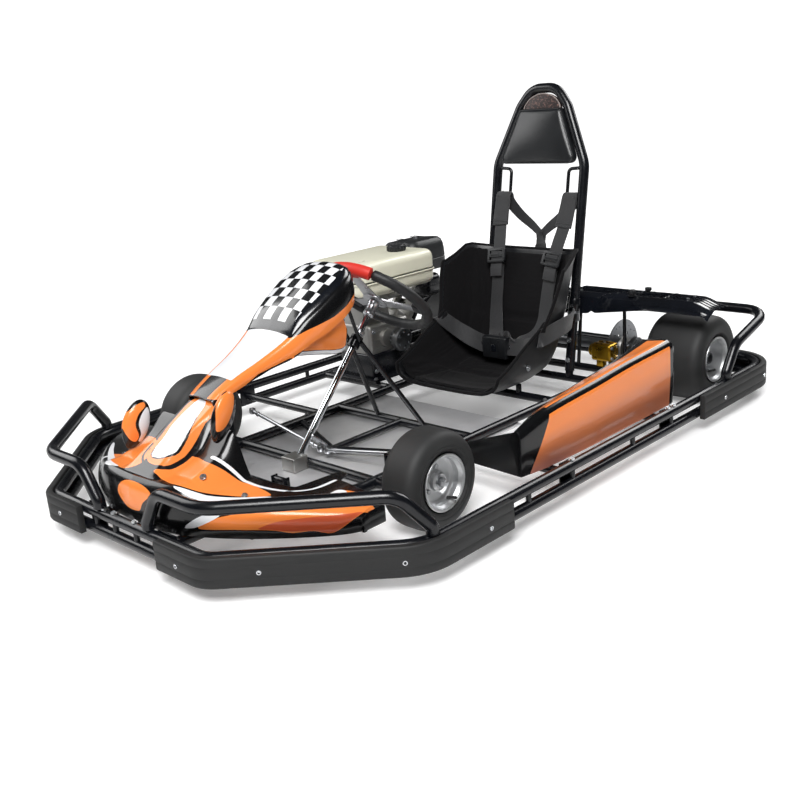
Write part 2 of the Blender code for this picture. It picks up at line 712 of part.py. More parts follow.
def panel_struts(mat):
    """Two stays from the column stand up to the underside of the steering fairing."""
    x, y = 0.055, COLUMN_FOOT_Y + 0.156
    half, top, lip = panel_at(y)
    under = top - blend(x / half, PANEL_SECTION[:3]) * lip - 4 * FIT
    foot = stand_point(0.0)
    return [rod("bit", (s * (BUSH_R + 0.0070), foot.y, foot.z), (s * x, y, under), 0.005, mat, 8)
            for s in (1, -1)]


def deck_struts(mat):
    """Struts that carry the rear deck from the frame, one upright and one leaning back."""
    top = DECK_Z - FIT
    return [rod("bit", (RAIL_X + 0.004, REAR_AXLE_Y - 0.049, RAIL_Z),
                (RAIL_X + 0.004, REAR_AXLE_Y - 0.049, top), 0.006, mat, 8),
            rod("bit", (0.12, REAR_AXLE_Y - 0.091, RAIL_Z), (0.12, REAR_AXLE_Y - 0.063, top - 0.0007),
                0.006, mat, 8)]


def seat_line(s):
    """The seat's middle line in YZ and its wall height, along s from the front lip to the top."""
    y = blend(s, [(0, 0.150), (0.12, 0.24), (0.28, 0.36), (0.42, 0.465), (0.55, 0.535), (0.68, 0.575),
                  (0.85, 0.606), (1.0, 0.632)])
    z = blend(s, [(0, 0.122), (0.12, 0.104), (0.28, 0.098), (0.42, 0.112), (0.55, 0.165), (0.68, 0.262),
                  (0.85, 0.380), (1.0, 0.485)])
    wall = blend(s, [(0, 0.055), (0.12, 0.115), (0.28, 0.172), (0.42, 0.195), (0.55, 0.190),
                     (0.68, 0.170), (0.85, 0.155), (1.0, 0.060)])
    return Vector((0, y, z)), wall


def seat_point(s, u):
    """A point of the seat's outer surface, u across it."""
    p, wall = seat_line(s)
    ahead, behind = seat_line(min(s + 0.06, 1))[0], seat_line(max(s - 0.06, 0))[0]
    along = (ahead - behind).normalized()
    normal = Vector((0, -along.z, along.y))
    rise = blend(abs(u), [(0, 0), (0.35, 0.01), (0.70, 0.08), (0.90, 0.32), (0.98, 0.66), (1.0, 1.0)])
    return p + normal * rise * wall + Vector((u * SEAT_HALF, 0, 0))


def seat_rows():
    spans = (-1.0, -0.98, -0.93, -0.84, -0.65, -0.35, 0, 0.35, 0.65, 0.84, 0.93, 0.98, 1.0)
    return [[seat_point(i / 12, u) for u in spans] for i in range(13)]


def seat_shell(mat):
    return sheet("seat_shell", seat_rows(), SEAT_WALL, mat, 1.0)


def grid_normals(rows):
    out = []
    for i, row in enumerate(rows):
        up, down = rows[min(i + 1, len(rows) - 1)], rows[max(i - 1, 0)]
        out.append([(row[min(j + 1, len(row) - 1)] - row[max(j - 1, 0)]).cross(up[j] - down[j]).normalized()
                    for j in range(len(row))])
    return out


def seat_cushion(mat):
    """The padded cover inside the bucket: crowned between its seams and drawn in at its edges."""
    rows = seat_rows()
    normals = grid_normals(rows)
    last, width = len(rows) - 2, len(rows[0]) - 2
    bm = bmesh.new()
    skins = []
    for upper in (False, True):
        skin = []
        for i in range(1, last + 1):
            line = []
            for j in range(1, width + 1):
                edge = i in (1, last) or j in (1, width)
                depth = PAD_DEPTH * (0.35 if edge else 1.0 if i % 3 else 0.6)
                lift = SEAT_WALL + PAD_GAP + (depth if upper else 0.0)
                line.append(bm.verts.new(rows[i][j] + normals[i][j] * lift))
            skin.append(line)
        skins.append(skin)
    low, high = skins
    for skin in skins:
        for a, b in zip(skin, skin[1:]):
            for j in range(len(a) - 1):
                bm.faces.new((a[j], a[j + 1], b[j + 1], b[j]))
    rim_low = low[0] + [r[-1] for r in low[1:]] + low[-1][-2::-1] + [r[0] for r in low[-2:0:-1]]
    rim_high = high[0] + [r[-1] for r in high[1:]] + high[-1][-2::-1] + [r[0] for r in high[-2:0:-1]]
    for j in range(len(rim_low)):
        k = (j + 1) % len(rim_low)
        bm.faces.new((rim_low[j], rim_low[k], rim_high[k], rim_high[j]))
    return smooth(mesh_object("seat_cushion", bm, mat), 60)


def roll_hoop(mat):
    """The harness hoop: two legs, a taper above the knees and a round top, with belt guide rods."""
    points = []
    for x, z in ((HOOP_HALF, 0.098), (HOOP_HALF, HOOP_KNEE_Z), (0.092, 0.925), (0.045, HOOP_TOP_Z)):
        points.append((x, hoop_point(z), z))
    path = rounded(points + mirrored(points)[::-1], [0, 0.10, 0.07, 0.05, 0.05, 0.07, 0.10, 0], 2)
    pieces = [tube("hoop_tube", path, HOOP_R, mat)]
    for s in (1, -1):
        guide = [(s * HOOP_HALF, hoop_point(0.728), 0.728), (s * GUIDE_X, hoop_point(0.722), 0.722),
                 (s * GUIDE_X, hoop_point(0.56), 0.56), (s * HOOP_HALF, hoop_point(0.552), 0.552)]
        pieces.append(tube("guide", rounded(guide, 0.012, 2), 0.0045, mat))
    top, low = hoop_point(BELT_BAR_Z), BELT_BAR_Z
    pieces.append(rod("bar", (-HOOP_HALF, top, low), (HOOP_HALF, top, low), BELT_BAR_R, mat, 10))
    return combine("roll_hoop", pieces, mat)


def pad_grid(corners, crown, depth, rings, front_y):
    """A stuffed pad as a closed form: an outline drawn in at the sides and crowned in front."""
    count = len(corners)
    middle = sum((Vector(c) for c in corners), Vector((0, 0))) / count
    bm = bmesh.new()
    loops = []
    for share, height in rings:
        loop = []
        for c in corners:
            q = middle + (Vector(c) - middle) * share
            y = front_y(q.y) - depth * height - crown * max(0.0, 1 - share * share) * (height > 0.5)
            loop.append(bm.verts.new((q.x, y, q.y)))
        loops.append(loop)
    for a, b in zip(loops, loops[1:]):
        for j in range(count):
            bm.faces.new((a[j], a[(j + 1) % count], b[(j + 1) % count], b[j]))
    bm.faces.new(loops[0])
    bm.faces.new(loops[-1][::-1])
    return bm


def outline_2d(points, radius, steps=2):
    return [(p.x, p.y) for p in rounded([(x, z, 0) for x, z in points], radius, steps, True)]


def headrest_pad(mat):
    """The trapezoid pad in front of the hoop: piping round the edge and a crowned face."""
    def back(z):
        return hoop_point(z) - HOOP_R + FIT
    corners = outline_2d([(-0.165, PAD_BOTTOM_Z), (0.165, PAD_BOTTOM_Z), (0.115, PAD_TOP_Z),
                          (-0.115, PAD_TOP_Z)], 0.022, 3)
    rings = [(0.94, 0.0), (0.985, 0.12), (1.0, 0.30), (0.985, 0.46), (0.95, 0.56), (0.97, 0.66),
             (0.93, 0.82), (0.84, 0.95), (0.68, 1.0), (0.42, 1.0)]
    ob = mesh_object("headrest_pad", pad_grid(corners, 0.014, 0.036, rings, back), mat)
    return smooth(ob, 60)


def headrest_cap(mat):
    """The patterned leather piece above the pad, with its own piping, between the hoop's tapers."""
    def back(z):
        return hoop_point(z) - HOOP_R - FIT
    corners = outline_2d([(-0.114, PAD_TOP_Z + 0.003), (0.114, PAD_TOP_Z + 0.003), (0.080, 0.966),
                          (-0.080, 0.966)], 0.016, 2)
    rings = [(0.95, 0.0), (1.0, 0.25), (1.0, 0.6), (0.93, 0.9), (0.80, 1.0)]
    ob = mesh_object("headrest_cap", pad_grid(corners, 0.004, 0.018, rings, back), mat)
    return smooth(ob, 60)


def shoulder_harness(mat):
    """Shoulder belts over the belt bar with their adjusters, and the tail that anchors them."""
    pieces = []
    bar_y, wrap = hoop_point(BELT_BAR_Z), BELT_BAR_R + BELT_T / 2 + FIT + 0.0015
    rear_face = BUCKLE[1] + BUCKLE_SIZE[1] / 2 + BELT_T / 2 + FIT
    for s in (-1, 1):
        over = []
        for k in range(7):
            a = math.pi * k / 6
            over.append((s * (0.074 + 0.001 * k), bar_y + wrap * math.cos(a),
                         BELT_BAR_Z + wrap * math.sin(a)))
        front = [(s * 0.086, 0.617, 0.555), (s * 0.095, *ADJUSTER_TOP),
                 (s * 0.098, *ADJUSTER_LOW), (s * 0.085, 0.560, 0.36), (s * 0.050 - 0.01, 0.518, 0.27),
                 (s * 0.0265 - 0.016, rear_face + 0.012, 0.232),
                 (s * 0.0265 + BUCKLE[0], rear_face + 0.0006, BUCKLE[2] + 0.018),
                 (s * 0.0265 + BUCKLE[0], rear_face, BUCKLE[2] + 0.006)]
        rear = [(s * 0.0245, bar_y + 0.012, 0.500), (s * 0.050, bar_y + 0.0132, 0.55)]
        pieces.append(ribbon("belt", rear + over + front, (1, 0, 0), BELT_W, BELT_T, mat))
        top, low = Vector((s * 0.0965, *ADJUSTER_TOP)), Vector((s * 0.0965, *ADJUSTER_LOW))
        turn = rotation_to(top - low)
        frame = box("frame", (0.060, 0.007, 0.042), (0, 0, 0), mat, bevel=0.0015)
        for dz in (-0.010, 0.010):
            hole = box("hole", (0.044, 0.03, 0.010), (0, 0, dz), mat)
            frame = combine("frame", [frame, hole], mat, "DIFFERENCE")
        for v in frame.data.vertices:
            v.co = turn @ (v.co - Vector((0, 0.0042, 0))) + (top + low) / 2
        pieces.append(frame)
    tail = [(0, bar_y + 0.0133, 0.520), (0, bar_y + 0.012, 0.44), (0, 0.640, 0.30), (0, 0.603, 0.12),
            (0, HOOP_Y + 0.016, 0.092)]
    pieces.append(ribbon("belt", tail, (1, 0, 0), BELT_W, BELT_T, mat))
    return combine("shoulder_harness", [pieces[4], pieces[0], pieces[2], pieces[1], pieces[3]], mat)


def lap_belt(side, mat):
    """From its anchor on the rail, over the seat's wing and down to the buckle's side."""
    s = 1 if side == "left" else -1
    edge = seat_point(0.48, 1.0)
    reach = BUCKLE_SIZE[0] / 2 + FIT
    path = [(s * RAIL_X, edge.y + 0.012, RAIL_Z + TUBE_R + FIT + 0.001), (s * 0.236, edge.y + 0.006, 0.16),
            (s * (edge.x + 0.014), edge.y, edge.z - 0.01), (s * (edge.x + 0.003), edge.y, edge.z + 0.022),
            (s * (edge.x - 0.034), edge.y + 0.004, edge.z + 0.013), (s * 0.140, edge.y + 0.03, 0.245),
            (s * 0.085, 0.432, 0.206), (BUCKLE[0] + s * (reach + 0.012), BUCKLE[1], BUCKLE[2] - 0.004),
            (BUCKLE[0] + s * reach, BUCKLE[1], BUCKLE[2] - 0.004)]
    return ribbon("lap_belt_" + side, path, (0, 1, 0), LAP_W, BELT_T, mat)


def harness_buckle(mat):
    """The push-button receiver on the lap, with the slot that the tongues enter."""
    body = box("body", BUCKLE_SIZE, BUCKLE, mat, bevel=0.004)
    slot = box("slot", (0.019, 0.0145, 0.024), (BUCKLE[0], BUCKLE[1] - 0.0085, BUCKLE[2]), mat)
    return combine("harness_buckle", [body, slot], mat, "DIFFERENCE")


def buckle_button(mat):
    return box("buckle_button", (0.0180, 0.0115, 0.0230), (BUCKLE[0], BUCKLE[1] - 0.0095, BUCKLE[2]),
               mat, bevel=0.001)


def knuckle(side, mat):
    """Boss, stub axle and steering arm, turning on the kingpin."""
    s = 1 if side == "left" else -1
    x = s * KINGPIN_X
    boss_half = YOKE_HALF - 0.0065
    boss = rod("boss", (x, FRONT_AXLE_Y, FRONT_TYRE_R - boss_half),
               (x, FRONT_AXLE_Y, FRONT_TYRE_R + boss_half), 0.0125, mat, 14)
    stub = rod("stub", (x + s * 0.004, FRONT_AXLE_Y, FRONT_TYRE_R),
               (s * STUB_END_X, FRONT_AXLE_Y, FRONT_TYRE_R), STUB_R, mat, 12)
    end = arm_end(s)
    arm_z = ROD_OUTER_Z - 0.0115
    arm = plate("arm", [(0.0, -0.009), (STEER_ARM, -0.007), (STEER_ARM + 0.008, 0), (STEER_ARM, 0.007),
                        (0.0, 0.009)], 0.006, (x, FRONT_AXLE_Y, arm_z), mat,
                (0, 0, math.atan2(end.y - FRONT_AXLE_Y, end.x - x)))
    ob = combine("knuckle_" + side, [boss, stub, arm], mat)
    bore = rod("bore", (x, FRONT_AXLE_Y, 0.05), (x, FRONT_AXLE_Y, 0.2), KINGPIN_R + FIT, mat, 12)
    ob = combine("knuckle_" + side, [ob, bore], mat, "DIFFERENCE")
    return set_origin(ob, (x, FRONT_AXLE_Y, FRONT_TYRE_R))


def arm_end(s):
    return Vector((s * (KINGPIN_X - 0.012), FRONT_AXLE_Y + STEER_ARM, ROD_OUTER_Z))


def rod_inner(s):
    tip = column_point(PITMAN_AT, -PITMAN)
    return Vector((s * 0.0145, tip.y, tip.z - 0.0150))


def tie_rod(side, mat):
    """A rod with a round eye at each end, over the steering arm and under the pitman arm."""
    s = 1 if side == "left" else -1
    out, inner = arm_end(s), rod_inner(s)
    bar = rod("bar", inner, out, TIE_ROD_R, mat, 10)
    eyes = [rod("eye", p - Vector((0, 0, 0.008)), p + Vector((0, 0, 0.008)), 0.0095, mat, 12)
            for p in (out, inner)]
    return set_origin(combine("tie_rod_" + side, [bar] + eyes, mat), out)


def kingpin_bolt(side, mat):
    """The bolt that the knuckle turns on, with its head above the yoke and its nut below."""
    x = KINGPIN_X if side == "left" else -KINGPIN_X
    low, high = FRONT_TYRE_R - YOKE_HALF, FRONT_TYRE_R + YOKE_HALF
    shank = rod("pin", (x, FRONT_AXLE_Y, low - 0.0005), (x, FRONT_AXLE_Y, high + 0.003), KINGPIN_R, mat, 12)
    head = rod("head", (x, FRONT_AXLE_Y, high + FIT), (x, FRONT_AXLE_Y, high + 0.0085), 0.0105, mat, 6)
    nut = rod("nut", (x, FRONT_AXLE_Y, low - 0.009), (x, FRONT_AXLE_Y, low - FIT), 0.0105, mat, 6)
    return combine("kingpin_bolt_" + side, [shank, head, nut], mat)


def steering_column(mat):
    """The chrome column with the pitman arm near its foot and the hub flange on top."""
    shaft = rod("shaft", column_point(0.0), column_point(COLUMN_LENGTH), COLUMN_R, mat, 14)
    flange = rod("flange", column_point(COLUMN_LENGTH - 0.045), column_point(COLUMN_LENGTH - FIT),
                 0.016, mat, 14)
    arm = box("arm", (0.030, PITMAN + 0.006, 0.006), (0, 0, 0), mat)
    arm.rotation_euler = (COLUMN_TILT - math.pi / 2, 0, 0)
    arm.location = column_point(PITMAN_AT, -PITMAN / 2)
    ob = combine("steering_column", [shaft, flange, baked(arm, mat)], mat)
    return set_origin(ob, column_point(0.0))


def steering_wheel(mats):
    """Rim, red top grip and the pressed three-spoke plate, on the column's axis."""
    centre = column_point(WHEEL_AT)
    ahead = (column_point(0, 1) - column_point(0)).normalized()

    def at(angle, inset=0.0):
        r = STEER_WHEEL_R * (1 - 0.06 * max(0.0, math.cos(angle)) ** 2) - inset
        return centre + Vector((1, 0, 0)) * r * math.sin(angle) + ahead * r * math.cos(angle)

    def arc(first, last, steps):
        inner = [first + (last - first) * k / steps for k in range(1, steps)]
        return [at(a) for a in [first, first + 0.03] + inner + [last - 0.03, last]]

    gap = 0.005
    half = math.radians(24)
    rim = tube("steering_wheel_rim", arc(half + gap, 2 * math.pi - half - gap, 18), STEER_GRIP_R, mats[0])
    grip = tube("steering_wheel_grip", arc(-half, half, 4), STEER_GRIP_R + 0.001, mats[1])
    spokes = [rod("hub", column_point(COLUMN_LENGTH + FIT), column_point(COLUMN_LENGTH + HUB_THICK), 0.036,
                  mats[2], 16)]
    start = column_point(COLUMN_LENGTH + HUB_THICK / 2)
    for angle, width in ((0.0, 0.034), (math.radians(112), 0.030), (math.radians(-112), 0.030)):
        across = Vector((math.cos(angle), 0, 0)) - ahead * math.sin(angle)
        spokes.append(ribbon("spoke", [start, at(angle, STEER_GRIP_R + 0.0030)], across, width, 0.005,
                             mats[2]))
    return rim, grip, combine("steering_wheel_spokes", spokes, mats[2])


def column_bush(mat):
    """The bush in the stand that carries the column's upper half."""
    return turned("column_bush", [(BUSH_R, -0.016), (BUSH_R, 0.016), (COLUMN_R + FIT, 0.016),
                                  (COLUMN_R + FIT, -0.016)], column_point(STAND_AT), column_axis(), mat, 14)


def foot_block(mat):
    """The block on the front beam that seats the column's foot."""
    front, rear = FRONT_AXLE_Y - BEAM_R - 0.046, FRONT_AXLE_Y - BEAM_R + 0.004
    return box("bit", (0.052, rear - front, 0.040), (0, (front + rear) / 2, 0.0812), mat, bevel=0.002)


def tyre(name, x, y, radius, width, rim_width, mat):
    """A slick tyre as a solid ring: beads inside the rim's flanges, rounded shoulders."""
    half, bead = width / 2, rim_width / 2
    tread = radius / math.cos(math.pi / WHEEL_STEPS)
    side = [(RIM_R - RIM_DROP + FIT, bead - 0.017), (RIM_R + FIT, bead - 0.0105),
            (RIM_R + 0.014, half - 0.001), (tread - 0.020, half - 0.002), (tread - 0.005, half - 0.014),
            (tread, half - 0.036)]
    profile = side + [(r, -h) for r, h in side[::-1]]
    return turned(name, profile, (x, y, radius), (1, 0, 0), mat, WHEEL_STEPS)


def rim(name, side, x, y, height, width, bore, mat, hub_in):
    """A pressed five-inch rim: two flanges, the barrel, a disc set in from the outer face, a hub."""
    half = width / 2
    seat, inner = RIM_R - RIM_DROP, RIM_R - RIM_DROP - 0.004
    profile = [(RIM_R, half), (RIM_R, half - 0.0035), (seat, half - 0.011), (seat, -half + 0.011),
               (RIM_R, -half + 0.0035), (RIM_R, -half), (RIM_R - 0.009, -half), (inner, -half + 0.012),
               (inner, half - 0.034), (0.030, half - 0.030), (0.024, half - hub_in), (bore, half - hub_in),
               (bore, half - 0.010), (0.024, half - 0.010), (0.030, half - 0.024), (inner, half - 0.026),
               (inner, half - 0.012), (RIM_R - 0.009, half)]
    return turned(name, profile, (x, y, height), (side, 0, 0), mat, WHEEL_STEPS)


def wheels(rubber, alloy):
    for side, s in (("left", 1), ("right", -1)):
        tyre("tyre_front_" + side, s * FRONT_TYRE_X, FRONT_AXLE_Y, FRONT_TYRE_R, FRONT_TYRE_W,
             FRONT_RIM_W, rubber)
        rim("rim_front_" + side, s, s * FRONT_TYRE_X, FRONT_AXLE_Y, FRONT_TYRE_R, FRONT_RIM_W,
            STUB_R + FIT, alloy, 0.090)
        tyre("tyre_rear_" + side, s * REAR_TYRE_X, REAR_AXLE_Y, REAR_TYRE_R, REAR_TYRE_W,
             REAR_RIM_W, rubber)
        rim("rim_rear_" + side, s, s * REAR_TYRE_X, REAR_AXLE_Y, REAR_TYRE_R, REAR_RIM_W,
            AXLE_R + FIT, alloy, 0.130)


def rear_axle(mat):
    """The live axle tube with its locking collars against the bearings."""
    axle = turned("axle", [(AXLE_R, AXLE_HALF), (AXLE_R, -AXLE_HALF), (AXLE_R - 0.004, -AXLE_HALF),
                           (AXLE_R - 0.004, AXLE_HALF)], (0, REAR_AXLE_Y, REAR_TYRE_R), (1, 0, 0), mat, 16)
    collars = [turned("collar", [(0.026, 0.005), (0.026, -0.005), (AXLE_R - 0.001, -0.005),
                                 (AXLE_R - 0.001, 0.005)],
                      (s * (BEARING_X - 0.0145), REAR_AXLE_Y, REAR_TYRE_R), (1, 0, 0), mat, 16)
               for s in (1, -1)]
    return combine("rear_axle", [axle] + collars, mat)


def axle_bearing(side, mat):
    s = 1 if side == "left" else -1
    profile = [(BEARING_R, 0.008), (BEARING_R, -0.008), (AXLE_R + FIT, -0.009), (AXLE_R + FIT, 0.009)]
    return turned("axle_bearing_" + side, profile, (s * BEARING_X, REAR_AXLE_Y, REAR_TYRE_R),
                  (1, 0, 0), mat, 20)


def brake_disc(mat):
    """Disc and its carrier, clamped on the axle."""
    return turned("brake_disc", [(DISC_R, 0.0022), (DISC_R, -0.0022), (0.036, -0.0022), (0.034, -0.018),
                                 (AXLE_R + FIT, -0.018), (AXLE_R + FIT, 0.012), (0.034, 0.012),
                                 (0.036, 0.0022)], (DISC_X, REAR_AXLE_Y, REAR_TYRE_R), (1, 0, 0), mat, 20)


def axle_sprocket(mat):
    """Driven sprocket with its teeth and carrier."""
    steps = 24
    teeth = []
    for i in range(steps):
        a = 2 * math.pi * i / steps
        r = SPROCKET_R if i % 2 else SPROCKET_R - 0.006
        teeth.append((r * math.cos(a), r * math.sin(a)))
    disc = plate("disc", teeth, 0.005, (SPROCKET_X, REAR_AXLE_Y, REAR_TYRE_R), mat, (0, math.pi / 2, 0))
    carrier = rod("carrier", (SPROCKET_X - 0.012, REAR_AXLE_Y, REAR_TYRE_R),
                  (SPROCKET_X + 0.012, REAR_AXLE_Y, REAR_TYRE_R), 0.034, mat, 16)
    bore = turned("bore", [(0.0, 0.05), (AXLE_R + FIT, 0.05), (AXLE_R + FIT, -0.05), (0.0, -0.05)],
                  (SPROCKET_X, REAR_AXLE_Y, REAR_TYRE_R), (1, 0, 0), mat, 16)
    ob = combine("axle_sprocket", [disc, carrier], mat)
    return combine("axle_sprocket", [ob, bore], mat, "DIFFERENCE")


def clutch(mat):
    """Engine sprocket and clutch drum on the crankshaft's end."""
    x0, x1 = SPROCKET_X - 0.010, SPROCKET_X + 0.030
    drum = rod("drum", (x0 + 0.016, CLUTCH_Y, CLUTCH_Z), (x1, CLUTCH_Y, CLUTCH_Z), 0.040, mat, 16)
    cog = rod("cog", (x0 + 0.0015, CLUTCH_Y, CLUTCH_Z), (x0 + 0.018, CLUTCH_Y, CLUTCH_Z), CLUTCH_R,
              mat, 14)
    return set_origin(combine("clutch_drum", [drum, cog], mat), (SPROCKET_X, CLUTCH_Y, CLUTCH_Z))


def belt_outline(extra):
    """The line round both sprockets in the YZ plane, a distance outside their teeth."""
    rear = Vector((REAR_AXLE_Y, REAR_TYRE_R))
    front = Vector((CLUTCH_Y, CLUTCH_Z))
    big, small = SPROCKET_R + extra, CLUTCH_R + extra
    line = front - rear
    lean = math.acos((big - small) / line.length)
    heading = math.atan2(line.y, line.x)
    out = []
    for centre, radius, start, turn, steps in ((rear, big, heading + lean, 2 * (math.pi - lean), 14),
                                               (front, small, heading - lean, 2 * lean, 8)):
        radius /= math.cos(turn / steps / 2)
        for k in range(steps + 1):
            a = start + turn * k / steps
            out.append(centre + Vector((math.cos(a), math.sin(a))) * radius)
    return out


def drive_chain(mat):
    bm = bmesh.new()
    rings = []
    for extra in (CHAIN_GAP, CHAIN_GAP + 0.008):
        for x in (SPROCKET_X - 0.005, SPROCKET_X + 0.005):
            rings.append([bm.verts.new((x, p.x, p.y)) for p in belt_outline(extra)])
    low_in, high_in, low_out, high_out = rings
    count = len(low_in)
    for a, b in ((low_in, high_in), (high_in, high_out), (high_out, low_out), (low_out, low_in)):
        for j in range(count):
            k = (j + 1) % count
            bm.faces.new((a[j], a[k], b[k], b[j]))
    return mesh_object("drive_chain", bm, mat)


def brake_caliper(mat):
    """The gold caliper astride the disc, on its foot on the cross tube."""
    y0 = REAR_AXLE_Y - DISC_R + 0.004
    body = box("body", (0.074, 0.056, 0.056), (DISC_X - 0.006, y0 - 0.010, 0.142), mat, bevel=0.006)
    piston = rod("piston", (DISC_X - 0.058, y0 - 0.008, 0.142), (DISC_X - 0.030, y0 - 0.008, 0.142),
                 0.020, mat, 12)
    foot = box("foot", (0.026, 0.022, 0.032), (DISC_X - 0.024, REAR_AXLE_Y - 0.091, 0.1045), mat)
    slot = box("slot", (0.0115, 0.07, 0.09), (DISC_X, y0 + 0.026, 0.142), mat)
    ob = combine("brake_caliper", [body, piston, foot], mat)
    return combine("brake_caliper", [ob, slot], mat, "DIFFERENCE")


def pedal(name, s, mat):
    """A floor pedal: a pivot tube on the cross tube's ears, a bar and a round foot rest."""
    x, y, z = s * PEDAL_X, PEDAL_Y, PEDAL_Z
    pivot = rod("pivot", (x - 0.020, y, z), (x + 0.020, y, z), 0.009, mat, 12)
    line = [(x, y, z + 0.004), (x, y - 0.012, z + 0.055), (x, y - 0.004, z + 0.105)]
    bar = tube("bar", rounded(line, 0.03, 2), 0.006, mat)
    foot = rod("foot", (x - 0.034, y - 0.004, z + 0.105), (x + 0.034, y - 0.004, z + 0.105), 0.008, mat, 10)
    bore = rod("bore", (x - 0.05, y, z), (x + 0.05, y, z), 0.0045, mat, 10)
    ob = combine(name, [combine(name, [pivot, bar, foot], mat), bore], mat, "DIFFERENCE")
    return set_origin(ob, (x, y, z))


def pedal_brackets(mat):
    """Ears and pins on the front cross tube that the pedals swing on."""
    out = []
    top = PEDAL_Z + 0.010
    for s in (1, -1):
        x = s * PEDAL_X
        out.append(rod("bit", (x - 0.026, PEDAL_Y, PEDAL_Z), (x + 0.026, PEDAL_Y, PEDAL_Z), 0.004, mat, 10))
        out += [box("bit", (0.004, 0.020, top - RAIL_Z), (x + dx, PEDAL_Y, (top + RAIL_Z) / 2))
                for dx in (-0.023, 0.023)]
    return out


def engine_bed(mat):
    """Two bars out from the right rail that the engine's foot plate sits on."""
    return [tube("bit", [(-RAIL_X + 0.002, y, RAIL_Z + 0.0005), (ENGINE_X - 0.16, y, RAIL_Z + 0.0005)],
                 BED_R, mat) for y in (ENGINE_Y - 0.10, ENGINE_Y + 0.10)]


def engine_block(mat):
    """Foot plate, crankcase, inclined finned cylinder, the tower under the tank and two pipes."""
    low = RAIL_Z + 0.0005 + BED_R + FIT
    foot = box("foot", (0.220, 0.240, 0.009), (ENGINE_X - 0.010, ENGINE_Y, low + 0.0045), mat)
    case = box("case", (CASE_X, 0.190, 0.180), (ENGINE_X, ENGINE_Y - 0.010, low + 0.098), mat, bevel=0.012)
    lean = Quaternion((1, 0, 0), math.radians(-35)).to_matrix()
    pieces = [foot, case]
    for k in range(5):
        centre = Vector((ENGINE_X, ENGINE_Y + 0.055 + 0.017 * k, CRANK_Z + 0.020 + 0.012 * k))
        pieces.append(box("fin", (0.098 if k % 2 else 0.120, 0.0215, 0.110), centre, mat, lean))
    pieces.append(rod("shaft", (ENGINE_X + 0.06, CLUTCH_Y, CLUTCH_Z),
                      (SPROCKET_X - 0.0095, CLUTCH_Y, CLUTCH_Z), 0.012, mat, 12))
    base, top = low + 0.15, TANK_LOW_Z - FIT
    pieces.append(box("tower", (0.100, 0.120, top - base), (ENGINE_X, ENGINE_Y - 0.040, (top + base) / 2),
                      mat))
    intake = [(ENGINE_X + 0.02, ENGINE_Y + 0.01, 0.345), (ENGINE_X + 0.02, AIR_FRONT_Y + 0.03, 0.345),
              (ENGINE_X + 0.02, AIR_FRONT_Y + 0.03, AIR_AT[2] - AIR_SIZE[2] / 2 - FIT)]
    pieces.append(tube("intake", rounded(intake, 0.025, 2), 0.013, mat))
    face = muffler_centre() - Vector((0, MUFFLER_SIZE[1] / 2 + FIT, 0))
    exhaust = [(ENGINE_X - 0.02, ENGINE_Y + 0.09, CRANK_Z + 0.04), (face.x, face.y - 0.05, face.z), face]
    pieces.append(tube("exhaust", rounded(exhaust, 0.03, 2), 0.014, mat))
    return combine("engine_block", pieces, mat)


def recoil_cover(mat):
    return turned("recoil_cover", [(0.0, 0.052), (0.055, 0.052), (0.090, 0.035), (0.098, 0.0), (0.0, 0.0)],
                  (ENGINE_X - CASE_X / 2 - FIT, CLUTCH_Y, CLUTCH_Z), (-1, 0, 0), mat, 20)


def recoil_grip(mat):
    """The pull grip, its face against the cover's cone."""
    at = (ENGINE_X - CASE_X / 2 - FIT - 0.030, CLUTCH_Y - 0.0910 - FIT - 0.007, CLUTCH_Z + 0.020)
    return set_origin(box("recoil_grip", (0.016, 0.014, 0.050), at, mat, bevel=0.003), at)


def fuel_tank(mat):
    """A moulded tank of two halves with the seam flange between them."""
    x, y, h = TANK_SIZE
    tank = box("tank", TANK_SIZE, (*TANK_AT, TANK_LOW_Z + h / 2), mat, bevel=0.022)
    seam = box("seam", (x + 0.010, y + 0.010, 0.006), (*TANK_AT, TANK_LOW_Z + 0.42 * h), mat)
    return combine("fuel_tank", [tank, seam], mat)


def fuel_cap(mat):
    at = (*CAP_AT, TANK_LOW_Z + TANK_SIZE[2] + FIT)
    return turned("fuel_cap", [(0.0, 0.0), (CAP_R - 0.003, 0.0), (CAP_R, 0.004), (CAP_R, 0.016),
                               (CAP_R - 0.005, 0.021), (0.0, 0.022)], at, (0, 0, 1), mat, 16)


def air_cleaner(mat):
    return box("air_cleaner", AIR_SIZE, AIR_AT, mat, bevel=0.014)


def muffler_centre():
    """Under the air cleaner, behind the cylinder."""
    under = AIR_AT[2] - AIR_SIZE[2] / 2 - FIT
    return Vector((AIR_AT[0] - 0.01, AIR_AT[1] + 0.03, under - MUFFLER_SIZE[2] / 2))


def muffler(mat):
    return box("muffler", MUFFLER_SIZE, muffler_centre(), mat, bevel=0.016)


def stand_point(up):
    return column_point(STAND_AT, up)


